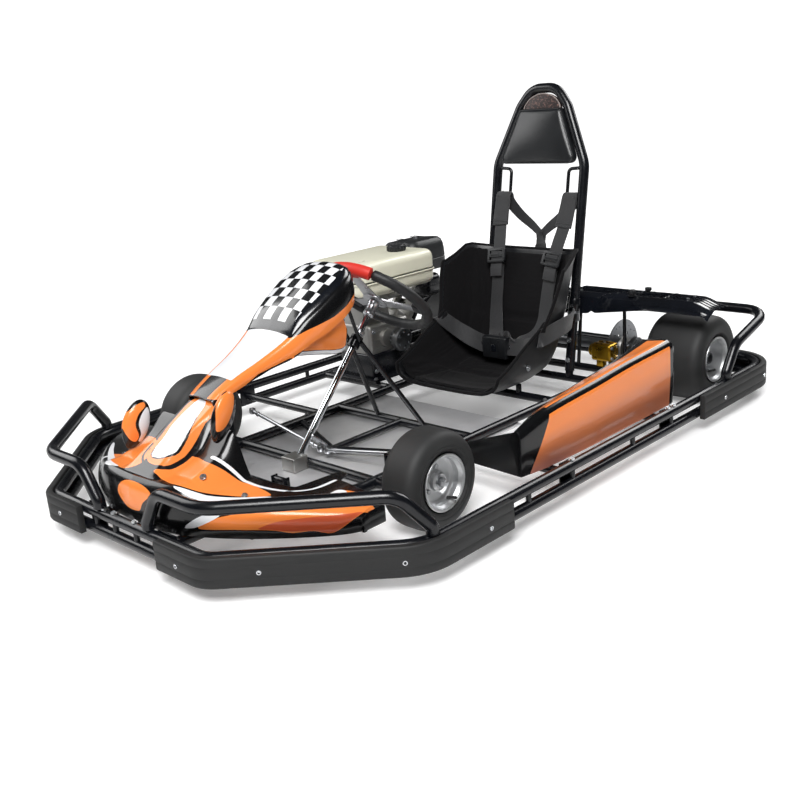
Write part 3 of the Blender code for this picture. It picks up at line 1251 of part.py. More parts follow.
def main():
    clear_scene()
    black_steel = material("black_powder_coat", BLACK, 0.35)
    rubber = material("black_rubber", RUBBER, 0.75)
    orange = material("orange_plastic", ORANGE, 0.3)
    alloy = material("polished_alloy", STEEL, 0.25, 1.0)
    black_plastic = material("black_plastic", BLACK, 0.4)
    fabric = material("black_fabric", (0.015, 0.014, 0.016), 0.95)
    webbing = material("black_webbing", (0.03, 0.03, 0.03), 0.8)
    red = material("red_rubber", (0.72, 0.03, 0.02), 0.5)
    cream = material("cream_paint", CREAM, 0.4)
    leather = material("brown_leather", (0.10, 0.05, 0.03), 0.5)
    gold = material("gold_anodised", (0.75, 0.52, 0.12), 0.3, 1.0)
    cast = material("cast_aluminium", (0.55, 0.55, 0.56), 0.5, 1.0)

    bumper_ring(black_steel)
    bumper_pads(rubber)
    wheel_guard("wheel_guard_left", 1, black_steel)
    wheel_guard("wheel_guard_right", -1, black_steel)
    rear_guard(black_steel)
    bits = main_frame(black_steel) + engine_bed(black_steel) + pedal_brackets(black_steel)
    bits += deck_struts(black_steel) + panel_struts(black_steel)
    bush_ring = turned("bit", [(BUSH_R + 0.004, -0.017), (BUSH_R + 0.004, 0.017), (BUSH_R + FIT, 0.017),
                          (BUSH_R + FIT, -0.017)], stand_point(0.0), column_axis(), black_steel, 14)
    frame = combine("main_frame", bits + [bush_ring, foot_block(black_steel)], black_steel)
    bore = rod("hole", column_point(-0.003), column_point(0.08), COLUMN_R + FIT, None, 14)
    frame = combine("main_frame", [frame, bore], black_steel, "DIFFERENCE")
    for s in (1, -1):
        hole = rod("hole", (s * KINGPIN_X, FRONT_AXLE_Y, FRONT_TYRE_R - 0.06),
                   (s * KINGPIN_X, FRONT_AXLE_Y, FRONT_TYRE_R + 0.06), KINGPIN_R + FIT, None, 12)
        frame = combine("main_frame", [frame, hole], black_steel, "DIFFERENCE")
    floor_tray(alloy)
    nose_fairing(orange)
    steering_fairing(orange)
    side_pod(orange)
    rear_deck(black_plastic)
    seat_shell(black_plastic)
    seat_cushion(fabric)
    roll_hoop(black_steel)
    headrest_pad(fabric)
    headrest_cap(leather)
    shoulder_harness(webbing)
    harness_buckle(black_plastic)
    buckle_button(black_plastic)
    for side in ("left", "right"):
        knuckle(side, cast)
        tie_rod(side, alloy)
        lap_belt(side, webbing)
        kingpin_bolt(side, alloy)
        axle_bearing(side, cast)
    steering_column(alloy)
    steering_wheel((rubber, red, alloy))
    column_bush(black_plastic)
    wheels(rubber, alloy)
    rear_axle(alloy)
    brake_disc(alloy)
    axle_sprocket(alloy)
    clutch(cast)
    drive_chain(alloy)
    brake_caliper(gold)
    pedal("brake_pedal", 1, black_steel)
    pedal("throttle_pedal", -1, black_steel)
    engine_block(cast)
    recoil_cover(black_plastic)
    recoil_grip(black_plastic)
    fuel_tank(cream)
    fuel_cap(black_plastic)
    air_cleaner(black_plastic)
    muffler(black_steel)


if __name__ == "__main__":
    main()
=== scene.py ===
"""Racing kart: its looks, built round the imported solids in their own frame.

Forward is -Y, the driver's left is +X, +Z is up, metres. Every piece stands where its solid stands.
"""
import math

import bpy
import numpy as np
from bpy.props import FloatProperty, FloatVectorProperty, IntProperty, PointerProperty
from mathutils import Matrix, Quaternion, Vector


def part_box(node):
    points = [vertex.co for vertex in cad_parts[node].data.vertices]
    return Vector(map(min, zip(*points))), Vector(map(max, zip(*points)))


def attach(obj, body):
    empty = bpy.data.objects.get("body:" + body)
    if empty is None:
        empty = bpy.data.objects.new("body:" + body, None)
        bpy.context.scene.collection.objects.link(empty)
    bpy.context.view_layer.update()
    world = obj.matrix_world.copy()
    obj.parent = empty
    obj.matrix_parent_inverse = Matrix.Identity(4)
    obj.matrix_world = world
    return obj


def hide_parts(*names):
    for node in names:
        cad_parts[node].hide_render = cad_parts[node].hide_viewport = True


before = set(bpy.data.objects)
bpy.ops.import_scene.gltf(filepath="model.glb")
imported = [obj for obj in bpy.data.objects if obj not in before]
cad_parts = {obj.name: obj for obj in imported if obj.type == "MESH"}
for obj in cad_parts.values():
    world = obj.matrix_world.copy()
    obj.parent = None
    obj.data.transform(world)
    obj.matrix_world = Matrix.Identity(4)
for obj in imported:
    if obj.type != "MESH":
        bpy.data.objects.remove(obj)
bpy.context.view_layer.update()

bl_info = {
    "name": "Racing kart",
    "version": (1, 0, 0),
    "blender": (4, 5, 0),
    "location": "View3D > Sidebar > Kart",
    "description": "Builds a racing kart with its bodywork, seat, harness, wheels and engine",
    "category": "Object",
}


def linear(code):
    """An sRGB hex colour as linear red, green and blue."""
    values = [int(code[i:i + 2], 16) / 255 for i in (0, 2, 4)]
    return tuple(v / 12.92 if v <= 0.04045 else ((v + 0.055) / 1.055) ** 2.4 for v in values)


def colour(name, code, about):
    return FloatVectorProperty(name=name, description=about, subtype="COLOR", size=3, min=0.0, max=1.0,
                               default=linear(code))


def length(name, value, about):
    return FloatProperty(name=name, description=about, unit="LENGTH", subtype="DISTANCE", min=0.0005,
                         default=value)


class KartColours(bpy.types.PropertyGroup):
    body: colour("Bodywork", "FA8C42", "Printed panels of the nose, steering fairing and side pod")
    stripe: colour("Stripe", "F3F4F7", "Pale fields and edge lines of the bodywork")
    ground: colour("Bodywork ground", "0B0C0E", "Dark ground between the printed panels")
    steel: colour("Frame coat", "08090B", "Powder coat on the tubes")
    tank: colour("Tank", "F2F0DA", "Enamel of the fuel tank")
    grip: colour("Wheel grip", "E2372B", "Foam grip on top of the steering wheel")
    caliper: colour("Caliper", "C79A2E", "Anodised brake caliper")
    cloth: colour("Seat cloth", "060507", "Cover of the seat")


class KartSizes(bpy.types.PropertyGroup):
    ring_radius: length("Ring tube radius", 0.014, "Radius of the two tubes of the bumper ring")
    guard_radius: length("Guard radius", 0.0155, "Radius of the guard bars")
    hoop_radius: length("Hoop radius", 0.0155, "Radius of the harness hoop's tube")
    rail_radius: length("Rail radius", 0.014, "Radius of the frame's rails")
    front_tyre: length("Front tyre radius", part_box("tyre_front_left")[1].z / 2, "Radius of a front tyre")
    rear_tyre: length("Rear tyre radius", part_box("tyre_rear_left")[1].z / 2, "Radius of a rear tyre")
    belt_width: length("Shoulder belt width", 0.048, "Width of the shoulder belts' webbing")
    square: length("Checker square", 0.029, "Side of one square of the checkered field")
    links: IntProperty(name="Chain links", description="Links in the drive chain", default=104, min=20)


class KartStage(bpy.types.PropertyGroup):
    lens: FloatProperty(name="Lens", description="Focal length on a 36 mm sensor", unit="CAMERA",
                        default=45.41, min=1.0)
    key: FloatProperty(name="Key light", description="Power of the main lamp", unit="POWER",
                       default=560.0, min=0.0)
    fill: FloatProperty(name="Fill light", description="Power of the lamp on the far side",
                        unit="POWER", default=80.0, min=0.0)
    floor: colour("Floor", "F2F2F2", "Pale floor under the kart")


# Modelling by hand: what is in hand, lines, spun and extruded forms

GAP = 0.00002  # vertices nearer than this are merged


def put_down():
    """Leaves edit mode and deselects all, so that the next operator acts on its own piece only."""
    if bpy.context.object and bpy.context.object.mode == "EDIT":
        bpy.ops.object.mode_set(mode="OBJECT")
    bpy.ops.object.select_all(action="DESELECT")


def take(ob):
    put_down()
    ob.select_set(True)
    bpy.context.view_layer.objects.active = ob
    return ob


def modify(ob, kind, **settings):
    """Adds a modifier with its settings and applies it."""
    take(ob)
    bpy.ops.object.modifier_add(type=kind)
    modifier = ob.modifiers[-1]
    for key, value in settings.items():
        setattr(modifier, key, value)
    bpy.ops.object.modifier_apply(modifier=modifier.name)
    return ob


def rounded_edges(ob, width, segments=2, angle=35):
    """Rounds the edges that are sharper than the angle, unless the width is 0."""
    if width:
        modify(ob, "BEVEL", width=width, segments=segments, limit_method="ANGLE",
               angle_limit=math.radians(angle), use_clamp_overlap=True)
    return ob


def weld(ob, caps=0.0):
    """Merges doubled vertices and points the faces outwards. With caps, open ends are closed first."""
    take(ob)
    bpy.ops.object.mode_set(mode="EDIT")
    bpy.ops.mesh.select_all(action="SELECT")
    if caps:
        bpy.ops.mesh.remove_doubles(threshold=caps)
        bpy.ops.mesh.select_all(action="DESELECT")
        bpy.ops.mesh.select_non_manifold()
        bpy.ops.mesh.edge_face_add()
        bpy.ops.mesh.select_all(action="SELECT")
    bpy.ops.mesh.remove_doubles(threshold=GAP)
    bpy.ops.mesh.normals_make_consistent(inside=False)
    bpy.ops.object.mode_set(mode="OBJECT")
    return ob


def draw(points, closed=False):
    """A line of edges: one vertex, extruded from point to point. Stays in edit mode."""
    put_down()
    points = [Vector(p) for p in points]
    bpy.ops.mesh.primitive_plane_add(size=0.001, location=(0, 0, 0))
    ob = bpy.context.object
    bpy.ops.object.mode_set(mode="EDIT")
    bpy.ops.mesh.merge(type="CENTER")
    bpy.ops.transform.translate(value=points[0])
    for a, b in zip(points, points[1:] + (points[:1] if closed else [])):
        bpy.ops.mesh.extrude_vertices_move(TRANSFORM_OT_translate={"value": b - a})
    bpy.ops.mesh.select_all(action="SELECT")
    if closed:
        bpy.ops.mesh.remove_doubles(threshold=GAP)
    return ob


def tube(points, radius, closed=False, sides=18):
    """A round tube along a line."""
    draw(points, closed)
    bpy.ops.object.mode_set(mode="OBJECT")
    bpy.ops.object.convert(target="CURVE")
    line = bpy.context.object
    line.data.bevel_depth = radius
    line.data.bevel_resolution = sides // 2 - 2
    line.data.use_fill_caps = True
    bpy.ops.object.convert(target="MESH")
    return weld(bpy.context.object)


def spun(profile, steps=48, ring=False):
    """A profile of (radius, height) points, spun about Z. A ring's profile closes on itself."""
    ob = draw([(r, 0, h) for r, h in profile], ring)
    bpy.ops.mesh.spin(steps=steps, angle=2 * math.pi, center=(0, 0, 0), axis=(0, 0, 1))
    return weld(ob)


def slab(outline, low, high, edge=0.0, segments=2):
    """A flat outline filled in, extruded from one height to another, its edges rounded."""
    ob = draw([(p[0], p[1], low) for p in outline], True)
    bpy.ops.mesh.edge_face_add()
    bpy.ops.mesh.extrude_region_move(TRANSFORM_OT_translate={"value": (0, 0, high - low)})
    return rounded_edges(weld(ob), edge, segments)


def block(size, centre, edge, segments=3):
    """A cube drawn out to a size, its edges rounded."""
    put_down()
    bpy.ops.mesh.primitive_cube_add(size=1, location=centre, scale=size)
    ob = bpy.context.object
    bpy.ops.object.transform_apply(location=True, rotation=True, scale=True)
    return rounded_edges(ob, edge, segments)


def prism(sides, radius, height, middle=(0, 0, 0)):
    """An upright prism with this many sides."""
    put_down()
    bpy.ops.mesh.primitive_cylinder_add(vertices=sides, radius=radius, depth=height, location=middle)
    bpy.ops.object.transform_apply(location=True)
    return bpy.context.object


def rod(start, end, radius, edge=0.0008, sides=24):
    """A round bar from point to point with broken edges."""
    start, end = Vector(start), Vector(end)
    bar = rounded_edges(prism(sides, radius, (end - start).length), edge, 2, 50)
    return place(bar, (start + end) / 2, end - start)


def facing(at, axis, roll=0.0):
    """The frame at a point whose Z lies along an axis."""
    tilt = Vector((0, 0, 1)).rotation_difference(Vector(axis)).to_matrix().to_4x4()
    return Matrix.Translation(at) @ tilt @ Matrix.Rotation(roll, 4, "Z")


def axes(x, y, z, at=(0, 0, 0)):
    """The frame with these three directions at a point."""
    return Matrix.Translation(at) @ Matrix((x, y, z)).transposed().to_4x4()


def place(ob, at, axis=(0, 0, 1)):
    """Puts a form made round Z at a point and along an axis, with its place in its mesh."""
    return settle(ob, facing(at, axis))


def settle(ob, matrix):
    """Moves a form by a frame and keeps its place in its mesh."""
    take(ob)
    ob.matrix_world = matrix
    bpy.ops.object.transform_apply(location=True, rotation=True, scale=True)
    return ob


def joined(obs):
    """Several forms as one piece."""
    take(obs[0])
    for ob in obs[1:]:
        ob.select_set(True)
    if len(obs) > 1:
        bpy.ops.object.join()
    return bpy.context.object


def copies(ob, matrices):
    """The form once at each place, each copy with its own mesh, as one piece."""
    out = []
    for matrix in matrices:
        take(ob)
        bpy.ops.object.duplicate()
        out.append(settle(bpy.context.object, matrix))
    bpy.data.objects.remove(ob)
    return joined(out)


def cut(ob, tool):
    """Takes the tool's shape out of the piece."""
    modify(ob, "BOOLEAN", operation="DIFFERENCE", solver="EXACT", object=tool)
    bpy.data.objects.remove(tool)
    return ob


def run_along(points):
    """How far along a line each of its points lies."""
    run = [0.0]
    for a, b in zip(points, points[1:]):
        run.append(run[-1] + (Vector(b) - Vector(a)).length)
    return run


def paced(points, shares):
    """The points of a line at these shares of its length."""
    run = run_along(points)
    keep = [k for k in range(len(run)) if k == 0 or run[k] > run[k - 1] + 1e-7]
    spots, pts = [run[k] for k in keep], np.array([tuple(points[k]) for k in keep])
    return [Vector([float(np.interp(t * spots[-1], spots, column)) for column in pts.T]) for t in shares]


def sheet_of(rows):
    """A grid of faces moved onto rows of points, with a UV map in metres."""
    lines, columns = len(rows) - 1, len(rows[0]) - 1
    put_down()
    bpy.ops.mesh.primitive_grid_add(x_subdivisions=columns, y_subdivisions=lines, size=2)
    ob = bpy.context.object
    where = [(round((v.co.y + 1) / 2 * lines), round((v.co.x + 1) / 2 * columns)) for v in ob.data.vertices]
    for v, (i, j) in zip(ob.data.vertices, where):
        v.co = rows[i][j]
    run, rise = run_along(rows[len(rows) // 2]), run_along([row[len(row) // 2] for row in rows])
    uv = ob.data.uv_layers.active.data
    for loop in ob.data.loops:
        i, j = where[loop.vertex_index]
        uv[loop.index].uv = (run[j], rise[i])
    return ob


def moulded(ob, wall, offset, edge=0.0):
    """Thickens a skin, closes its seams and rounds its edges."""
    modify(ob, "SOLIDIFY", thickness=wall, offset=offset, use_rim=True)
    return rounded_edges(weld(ob), edge, 2, 60)


def done(ob, name, finish, body, *nodes, smooth=40):
    """A finished piece: named, smoothed, given its finish, and riding on the body of its solid."""
    take(ob)
    ob.name = ob.data.name = name
    bpy.ops.object.transform_apply(location=True, rotation=True, scale=True)
    bpy.ops.object.shade_smooth_by_angle(angle=math.radians(smooth))
    ob.data.materials.clear()
    ob.data.materials.append(coat(finish))
    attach(ob, body)
    if nodes:
        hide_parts(*nodes)
    return ob


# Lines and tables of sizes

def rounded(points, radius, steps=8, closed=False):
    """Corner points joined by arcs of the given radius, or of one radius a corner."""
    pts = [Vector(p) for p in points]
    count = len(pts)
    radii = radius if isinstance(radius, (list, tuple)) else [radius] * count
    out = []
    for i, p in enumerate(pts):
        if not closed and i in (0, count - 1):
            out.append(p)
            continue
        before, after = pts[i - 1], pts[(i + 1) % count]
        u, v = (before - p).normalized(), (after - p).normalized()
        half = u.angle(v) / 2
        reach = min(radii[i] / math.tan(half), 0.49 * (before - p).length, 0.49 * (after - p).length)
        middle = p + (u + v).normalized() * (reach / math.cos(half))
        start, end = p + u * reach - middle, p + v * reach - middle
        axis, angle = start.rotation_difference(end).to_axis_angle()
        out += [middle + Quaternion(axis, angle * k / steps) @ start for k in range(steps + 1)]
    return out


def round_box(x, y, radius, steps):
    """The outline of a box with rounded corners, from half its sizes."""
    return rounded([(-x, -y, 0), (x, -y, 0), (x, y, 0), (-x, y, 0)], radius, steps, True)


def circle(count, radius, turn=0.0, depth=0.0, waves=0):
    """Points round a circle. With a depth, its radius swells by it the given number of times."""
    spots = []
    for k in range(count):
        a = 2 * math.pi * k / count + turn
        r = radius + depth * math.cos(waves * a)
        spots.append((r * math.cos(a), r * math.sin(a)))
    return spots


def bored(ob, spots, radius, low, high, sides=24):
    """Bores a round hole along Z at each of the points."""
    for spot in spots:
        cut(ob, rod((*spot, low), (*spot, high), radius, 0, sides))
    return ob


def mirrored(points):
    """The same points on the other side of the kart."""
    return [Vector((-p[0], p[1], p[2])) for p in points]


def flowing(t, stops):
    """A smooth line through a table of (t, value) stops that never overshoots them."""
    if t <= stops[0][0]:
        return stops[0][1]
    if t >= stops[-1][0]:
        return stops[-1][1]
    rise = [(b[1] - a[1]) / (b[0] - a[0]) for a, b in zip(stops, stops[1:])]
    lean = [rise[0]]
    for a, b in zip(rise, rise[1:]):
        lean.append(0.0 if a * b <= 0 else 2 * a * b / (a + b))
    lean.append(rise[-1])
    for k, (a, b) in enumerate(zip(stops, stops[1:])):
        if t <= b[0]:
            h = b[0] - a[0]
            u = (t - a[0]) / h
            return ((1 + 2 * u) * (1 - u) ** 2 * a[1] + u * (1 - u) ** 2 * h * lean[k]
                    + u * u * (3 - 2 * u) * b[1] + u * u * (u - 1) * h * lean[k + 1])


def step(edge0, edge1, t):
    u = min(max((t - edge0) / (edge1 - edge0), 0.0), 1.0)
    return u * u * (3 - 2 * u)


def curved(points, closed=True, parts=6):
    """A smooth line through a few points, in two or three dimensions."""
    pts = [Vector(p) for p in points]
    n = len(pts)
    out = []
    for i in range(n if closed else n - 1):
        p0 = pts[i - 1] if closed or i else pts[0]
        p1, p2 = pts[i], pts[(i + 1) % n]
        p3 = pts[(i + 2) % n] if closed or i + 2 < n else pts[-1]
        for k in range(parts):
            t = k / parts
            out.append(0.5 * (2 * p1 + (p2 - p0) * t + (2 * p0 - 5 * p1 + 4 * p2 - p3) * t * t
                              + (3 * p1 - p0 - 3 * p2 + p3) * t ** 3))
    return out if closed else out + [pts[-1]]


def nearest(points, starts, ends):
    """How far each flat point lies from the nearest of these edges."""
    edge, away = ends - starts, points[:, None, :] - starts[None]
    t = np.clip((away * edge).sum(2) / np.maximum((edge ** 2).sum(1), 1e-12), 0, 1)
    return np.sqrt((((away - t[..., None] * edge) ** 2).sum(2)).min(1))


def depth_inside(points, outline):
    """How far each flat point lies inside an outline, in metres, and less than 0 outside it."""
    p = np.asarray(points, float)
    a = np.asarray([tuple(q)[:2] for q in outline], float)
    b = np.roll(a, -1, axis=0)
    near = nearest(p, a, b)
    y, ay, by = p[:, None, 1], a[None, :, 1], b[None, :, 1]
    cross = (ay > y) != (by > y)
    x = a[None, :, 0] + (y - ay) / np.where(by == ay, 1e-12, by - ay) * (b - a)[None, :, 0]
    odd = (cross & (p[:, None, 0] < x)).sum(1) % 2 == 1
    return np.where(odd, near, -near)


def mark(ob, name, values):
    """Keeps one number a vertex on the piece for its finish to read."""
    layer = ob.data.attributes.new(name, "FLOAT", "POINT")
    layer.data.foreach_set("value", np.asarray(values, np.float32))


def mark_fields(ob, **fields):
    """Keeps how far each vertex lies inside each printed field or field of painted shade, and less than 0 where there
    is none.
    """
    for name in FIELDS:
        mark(ob, name, fields.get(name, np.full(len(ob.data.vertices), -1.0)))


# Finishes

FIELDS = ("field_body", "field_deep", "field_stripe", "field_ground")


def add(mat, kind, output, inputs=None, **settings):
    """Adds a node with its settings, and with values or links for its inputs. Gives one of its outputs."""
    new = mat.node_tree.nodes.new("ShaderNode" + kind)
    for key, value in settings.items():
        setattr(new, key, value)
    for key, value in (inputs or {}).items():
        if isinstance(value, bpy.types.NodeSocket):
            mat.node_tree.links.new(value, new.inputs[key])
        else:
            new.inputs[key].default_value = (*value, 1.0) if new.inputs[key].type == "RGBA" else value
    return new.outputs[output]


def link(mat, **outputs):
    """Links each output to the shader's input of that name."""
    for name, output in outputs.items():
        mat.node_tree.links.new(output, shader_input(mat, name))
    return mat


def shader_input(mat, name):
    return mat.node_tree.nodes["Principled BSDF"].inputs[name.replace("_", " ")]


def blank(name, tint, rough, **sockets):
    """A material with its even values on the shader, and the object's own coordinates."""
    mat = bpy.data.materials.new(name)
    mat.use_nodes = True
    for key, value in {"Base Color": (*tint, 1.0), "Roughness": rough, **sockets}.items():
        shader_input(mat, key).default_value = value
    return mat, add(mat, "TexCoord", "Object")


def darker(tint, share):
    return tuple(c * share for c in tint)


def powder_coated_steel(kit, name):
    """Powder baked on steel tube: a black skin whose faint orange peel breaks up the highlights."""
    mat, own = blank(name, kit.steel, 0.24, IOR=1.5)
    dust = add(mat, "TexNoise", "Fac", {"Vector": own, "Scale": 14.0, "Detail": 5.0})
    rough = add(mat, "MapRange", 0, {"Value": dust, "To Min": 0.17, "To Max": 0.33})
    base = add(mat, "Mix", 2, {0: dust, 6: kit.steel, 7: linear("12141A")}, data_type="RGBA")
    relief = add(mat, "TexNoise", "Fac", {"Vector": own, "Scale": 420.0, "Detail": 2.0})
    bump = add(mat, "Bump", 0, {"Height": relief, "Strength": 0.18, "Distance": 0.0004})
    return link(mat, Base_Color=base, Roughness=rough, Normal=bump)


def rubber(name, tint, dusty, grain, rough):
    """Moulded rubber: dull and dark, with fine grain and dust that lies lighter in patches."""
    mat, own = blank(name, tint, rough, IOR=1.52)
    fine = add(mat, "TexNoise", "Fac", {"Vector": own, "Scale": 1 / grain, "Detail": 3.0})
    patch = add(mat, "TexNoise", "Fac", {"Vector": own, "Scale": 9.0, "Detail": 6.0, "Roughness": 0.6})
    base = add(mat, "Mix", 2, {0: patch, 6: tint, 7: dusty}, data_type="RGBA")
    rough = add(mat, "MapRange", 0, {"Value": fine, "To Min": rough - 0.08, "To Max": rough + 0.1})
    bump = add(mat, "Bump", 0, {"Height": fine, "Strength": 0.35, "Distance": 0.0004})
    return link(mat, Base_Color=base, Roughness=rough, Normal=bump)


def slick_tyre_rubber(kit, name):
    """Slick tyre rubber, moulded and then scrubbed: fine lines run round it."""
    tint = linear("1D1E1F")
    mat, own = blank(name, tint, 0.62, IOR=1.52)
    # the piece's UV map runs round the tyre in U and across it in V
    stretch = add(mat, "Mapping", 0, {"Vector": add(mat, "TexCoord", "UV"), "Scale": (14.0, 900.0, 1.0)})
    lines = add(mat, "TexNoise", "Fac", {"Vector": stretch, "Scale": 1.0, "Detail": 3.0})
    patch = add(mat, "TexNoise", "Fac", {"Vector": own, "Scale": 16.0, "Detail": 6.0})
    base = add(mat, "Mix", 2, {0: patch, 6: tint, 7: linear("2B2B2B")}, data_type="RGBA")
    rough = add(mat, "MapRange", 0, {"Value": lines, "To Min": 0.45, "To Max": 0.78})
    bump = add(mat, "Bump", 0, {"Height": lines, "Strength": 0.25, "Distance": 0.0005})
    return link(mat, Base_Color=base, Roughness=rough, Normal=bump)


def printed_body_plastic(kit, name):
    """Moulded polythene with gloss film on it: the film's fields have clean edges and a clear skin.

    Each field is read from a number on the piece that is above 0 inside it; the second field is painted shade.
    """
    mat, own = blank(name, kit.ground, 0.22, Coat_Weight=0.45, Coat_Roughness=0.08, Specular_IOR_Level=0.3)
    cloud = add(mat, "TexNoise", "Fac", {"Vector": own, "Scale": 7.0, "Detail": 3.0})
    base = add(mat, "Mix", 2, {0: cloud, 6: kit.ground, 7: linear("101011")}, data_type="RGBA")
    tint_blend = add(mat, "Attribute", "Fac", attribute_name="tint_blend")
    body = add(mat, "Mix", 2, {0: tint_blend, 6: kit.body, 7: linear("A66A5C")}, data_type="RGBA")
    # the second field is painted shade: a darker red-orange where the front band of the nose turns under
    for field, tint in zip(FIELDS, (body, linear("D9603C"), kit.stripe, kit.ground)):
        depth = add(mat, "Attribute", "Fac", attribute_name=field)
        inside = add(mat, "Math", 0, {0: depth, 1: 0.0}, operation="GREATER_THAN")
        base = add(mat, "Mix", 2, {0: inside, 6: base, 7: tint}, data_type="RGBA")
    rough = add(mat, "MapRange", 0, {"Value": cloud, "To Min": 0.18, "To Max": 0.3})
    relief = add(mat, "TexNoise", "Fac", {"Vector": own, "Scale": 30.0, "Detail": 2.0})
    bump = add(mat, "Bump", 0, {"Height": relief, "Strength": 0.08, "Distance": 0.002})
    return link(mat, Base_Color=base, Roughness=rough, Normal=bump)


def grained_abs(kit, name):
    """ABS moulded in a grained tool: dull black with a leathery grain a millimetre across."""
    tint = linear("101114")
    mat, own = blank(name, tint, 0.42, IOR=1.53)
    patch = add(mat, "TexNoise", "Fac", {"Vector": own, "Scale": 12.0, "Detail": 5.0})
    base = add(mat, "Mix", 2, {0: patch, 6: tint, 7: linear("1B1D20")}, data_type="RGBA")
    rough = add(mat, "MapRange", 0, {"Value": patch, "To Min": 0.34, "To Max": 0.52})
    relief = add(mat, "TexVoronoi", "Distance", {"Vector": own, "Scale": 650.0})
    bump = add(mat, "Bump", 0, {"Height": relief, "Strength": 0.3, "Distance": 0.0004})
    return link(mat, Base_Color=base, Roughness=rough, Normal=bump)


def gloss_abs(kit, name):
    """ABS vacuum formed over a polished tool: bluish black with slow waves in its gloss."""
    tint = linear("090A0D")
    mat, own = blank(name, tint, 0.16, IOR=1.53, Coat_Weight=0.4, Coat_Roughness=0.06)
    wave = add(mat, "TexNoise", "Fac", {"Vector": own, "Scale": 11.0, "Detail": 2.0})
    base = add(mat, "Mix", 2, {0: wave, 6: tint, 7: linear("141820")}, data_type="RGBA")
    swirl = add(mat, "TexNoise", "Fac", {"Vector": own, "Scale": 90.0, "Detail": 5.0})
    rough = add(mat, "MapRange", 0, {"Value": swirl, "To Min": 0.1, "To Max": 0.27})
    bump = add(mat, "Bump", 0, {"Height": wave, "Strength": 0.12, "Distance": 0.003})
    return link(mat, Base_Color=base, Roughness=rough, Normal=bump)


def checkered_gloss_abs(kit, name):
    """The same ABS with a checkered gloss film inside the line that the piece carries."""
    mat = gloss_abs(kit, name)
    ground = shader_input(mat, "Base Color").links[0].from_socket
    squares = add(mat, "TexChecker", "Color", {"Vector": add(mat, "TexCoord", "UV"), "Scale": 1.0,
                                               "Color1": kit.stripe, "Color2": linear("17181A")})
    depth = add(mat, "Attribute", "Fac", attribute_name="checkered")
    inside = add(mat, "Math", 0, {0: depth, 1: 0.0}, operation="GREATER_THAN")
    return link(mat, Base_Color=add(mat, "Mix", 2, {0: inside, 6: ground, 7: squares}, data_type="RGBA"))


def polyester_webbing(kit, name):
    """Woven polyester: two sets of threads at right angles along the piece's UV map, which is in metres.

    The threads are 3 mm apart, twice the real rib, so that the ribs of the belts show.
    """
    tint, scale = linear("19191B"), 0.314 / 0.003
    mat, own = blank(name, tint, 0.62, Sheen_Weight=0.3, Sheen_Roughness=0.5)
    inputs = {"Vector": add(mat, "TexCoord", "UV"), "Scale": scale, "Distortion": 0.6, "Detail": 1.0}
    warp, weft = (add(mat, "TexWave", "Fac", inputs, bands_direction=way) for way in "XY")
    cross = add(mat, "Math", 0, {0: warp, 1: weft}, operation="MULTIPLY")
    # painted highlight: the threads are lighter where they cross, as if light caught the raised ribs
    lit = add(mat, "Mix", 2, {0: cross, 6: tint, 7: linear("36373B")}, data_type="RGBA")
    patch = add(mat, "TexNoise", "Fac", {"Vector": own, "Scale": 18.0, "Detail": 4.0})
    share = add(mat, "MapRange", 0, {"Value": patch, "To Min": 0.0, "To Max": 0.5})
    base = add(mat, "Mix", 2, {0: share, 6: lit, 7: darker(tint, 0.6)}, data_type="RGBA")
    bump = add(mat, "Bump", 0, {"Height": cross, "Strength": 0.7, "Distance": 0.0007})
    return link(mat, Base_Color=base, Normal=bump)


def coated_seat_cloth(kit, name):
    """Polyester cloth coated on the back: a dense black weave whose nap lights up at grazing angles.

    The threads are 1.4 mm apart, three times the real spacing, so that they show.
    """
    mat, own = blank(name, kit.cloth, 0.92, Sheen_Weight=0.06, Sheen_Roughness=0.4, Specular_IOR_Level=0.25)
    patch = add(mat, "TexNoise", "Fac", {"Vector": own, "Scale": 6.0, "Detail": 5.0})
    base = add(mat, "Mix", 2, {0: patch, 6: kit.cloth, 7: linear("0C0B0D")}, data_type="RGBA")
    relief = add(mat, "TexVoronoi", "Distance", {"Vector": own, "Scale": 1 / 0.0014})
    bump = add(mat, "Bump", 0, {"Height": relief, "Strength": 0.5, "Distance": 0.0005})
    return link(mat, Base_Color=base, Normal=bump)


def padded_vinyl(kit, name):
    """Vinyl-coated cloth over foam: a soft black gloss broken by a fine embossed hide grain."""
    tint = linear("111214")
    mat, own = blank(name, tint, 0.34, IOR=1.53)
    tint_blend = add(mat, "TexNoise", "Fac", {"Vector": own, "Scale": 10.0, "Detail": 5.0})
    base = add(mat, "Mix", 2, {0: tint_blend, 6: tint, 7: linear("1B1D20")}, data_type="RGBA")
    rough = add(mat, "MapRange", 0, {"Value": tint_blend, "To Min": 0.26, "To Max": 0.44})
    hide = add(mat, "TexVoronoi", "Distance", {"Vector": own, "Scale": 1 / 0.0022}, feature="DISTANCE_TO_EDGE")
    bump = add(mat, "Bump", 0, {"Height": hide, "Strength": 0.22, "Distance": 0.0006})
    return link(mat, Base_Color=base, Roughness=rough, Normal=bump)


def pale_vinyl(kit, name):
    """Vinyl piping rolled over a cord: dull and pale, with soil worked into its grain."""
    tint = linear("A79C98")
    mat, own = blank(name, tint, 0.5, IOR=1.53)
    soil = add(mat, "TexNoise", "Fac", {"Vector": own, "Scale": 120.0, "Detail": 5.0})
    base = add(mat, "Mix", 2, {0: soil, 6: tint, 7: linear("6E625E")}, data_type="RGBA")
    rough = add(mat, "MapRange", 0, {"Value": soil, "To Min": 0.4, "To Max": 0.62})
    bump = add(mat, "Bump", 0, {"Height": soil, "Strength": 0.2, "Distance": 0.0003})
    return link(mat, Base_Color=base, Roughness=rough, Normal=bump)


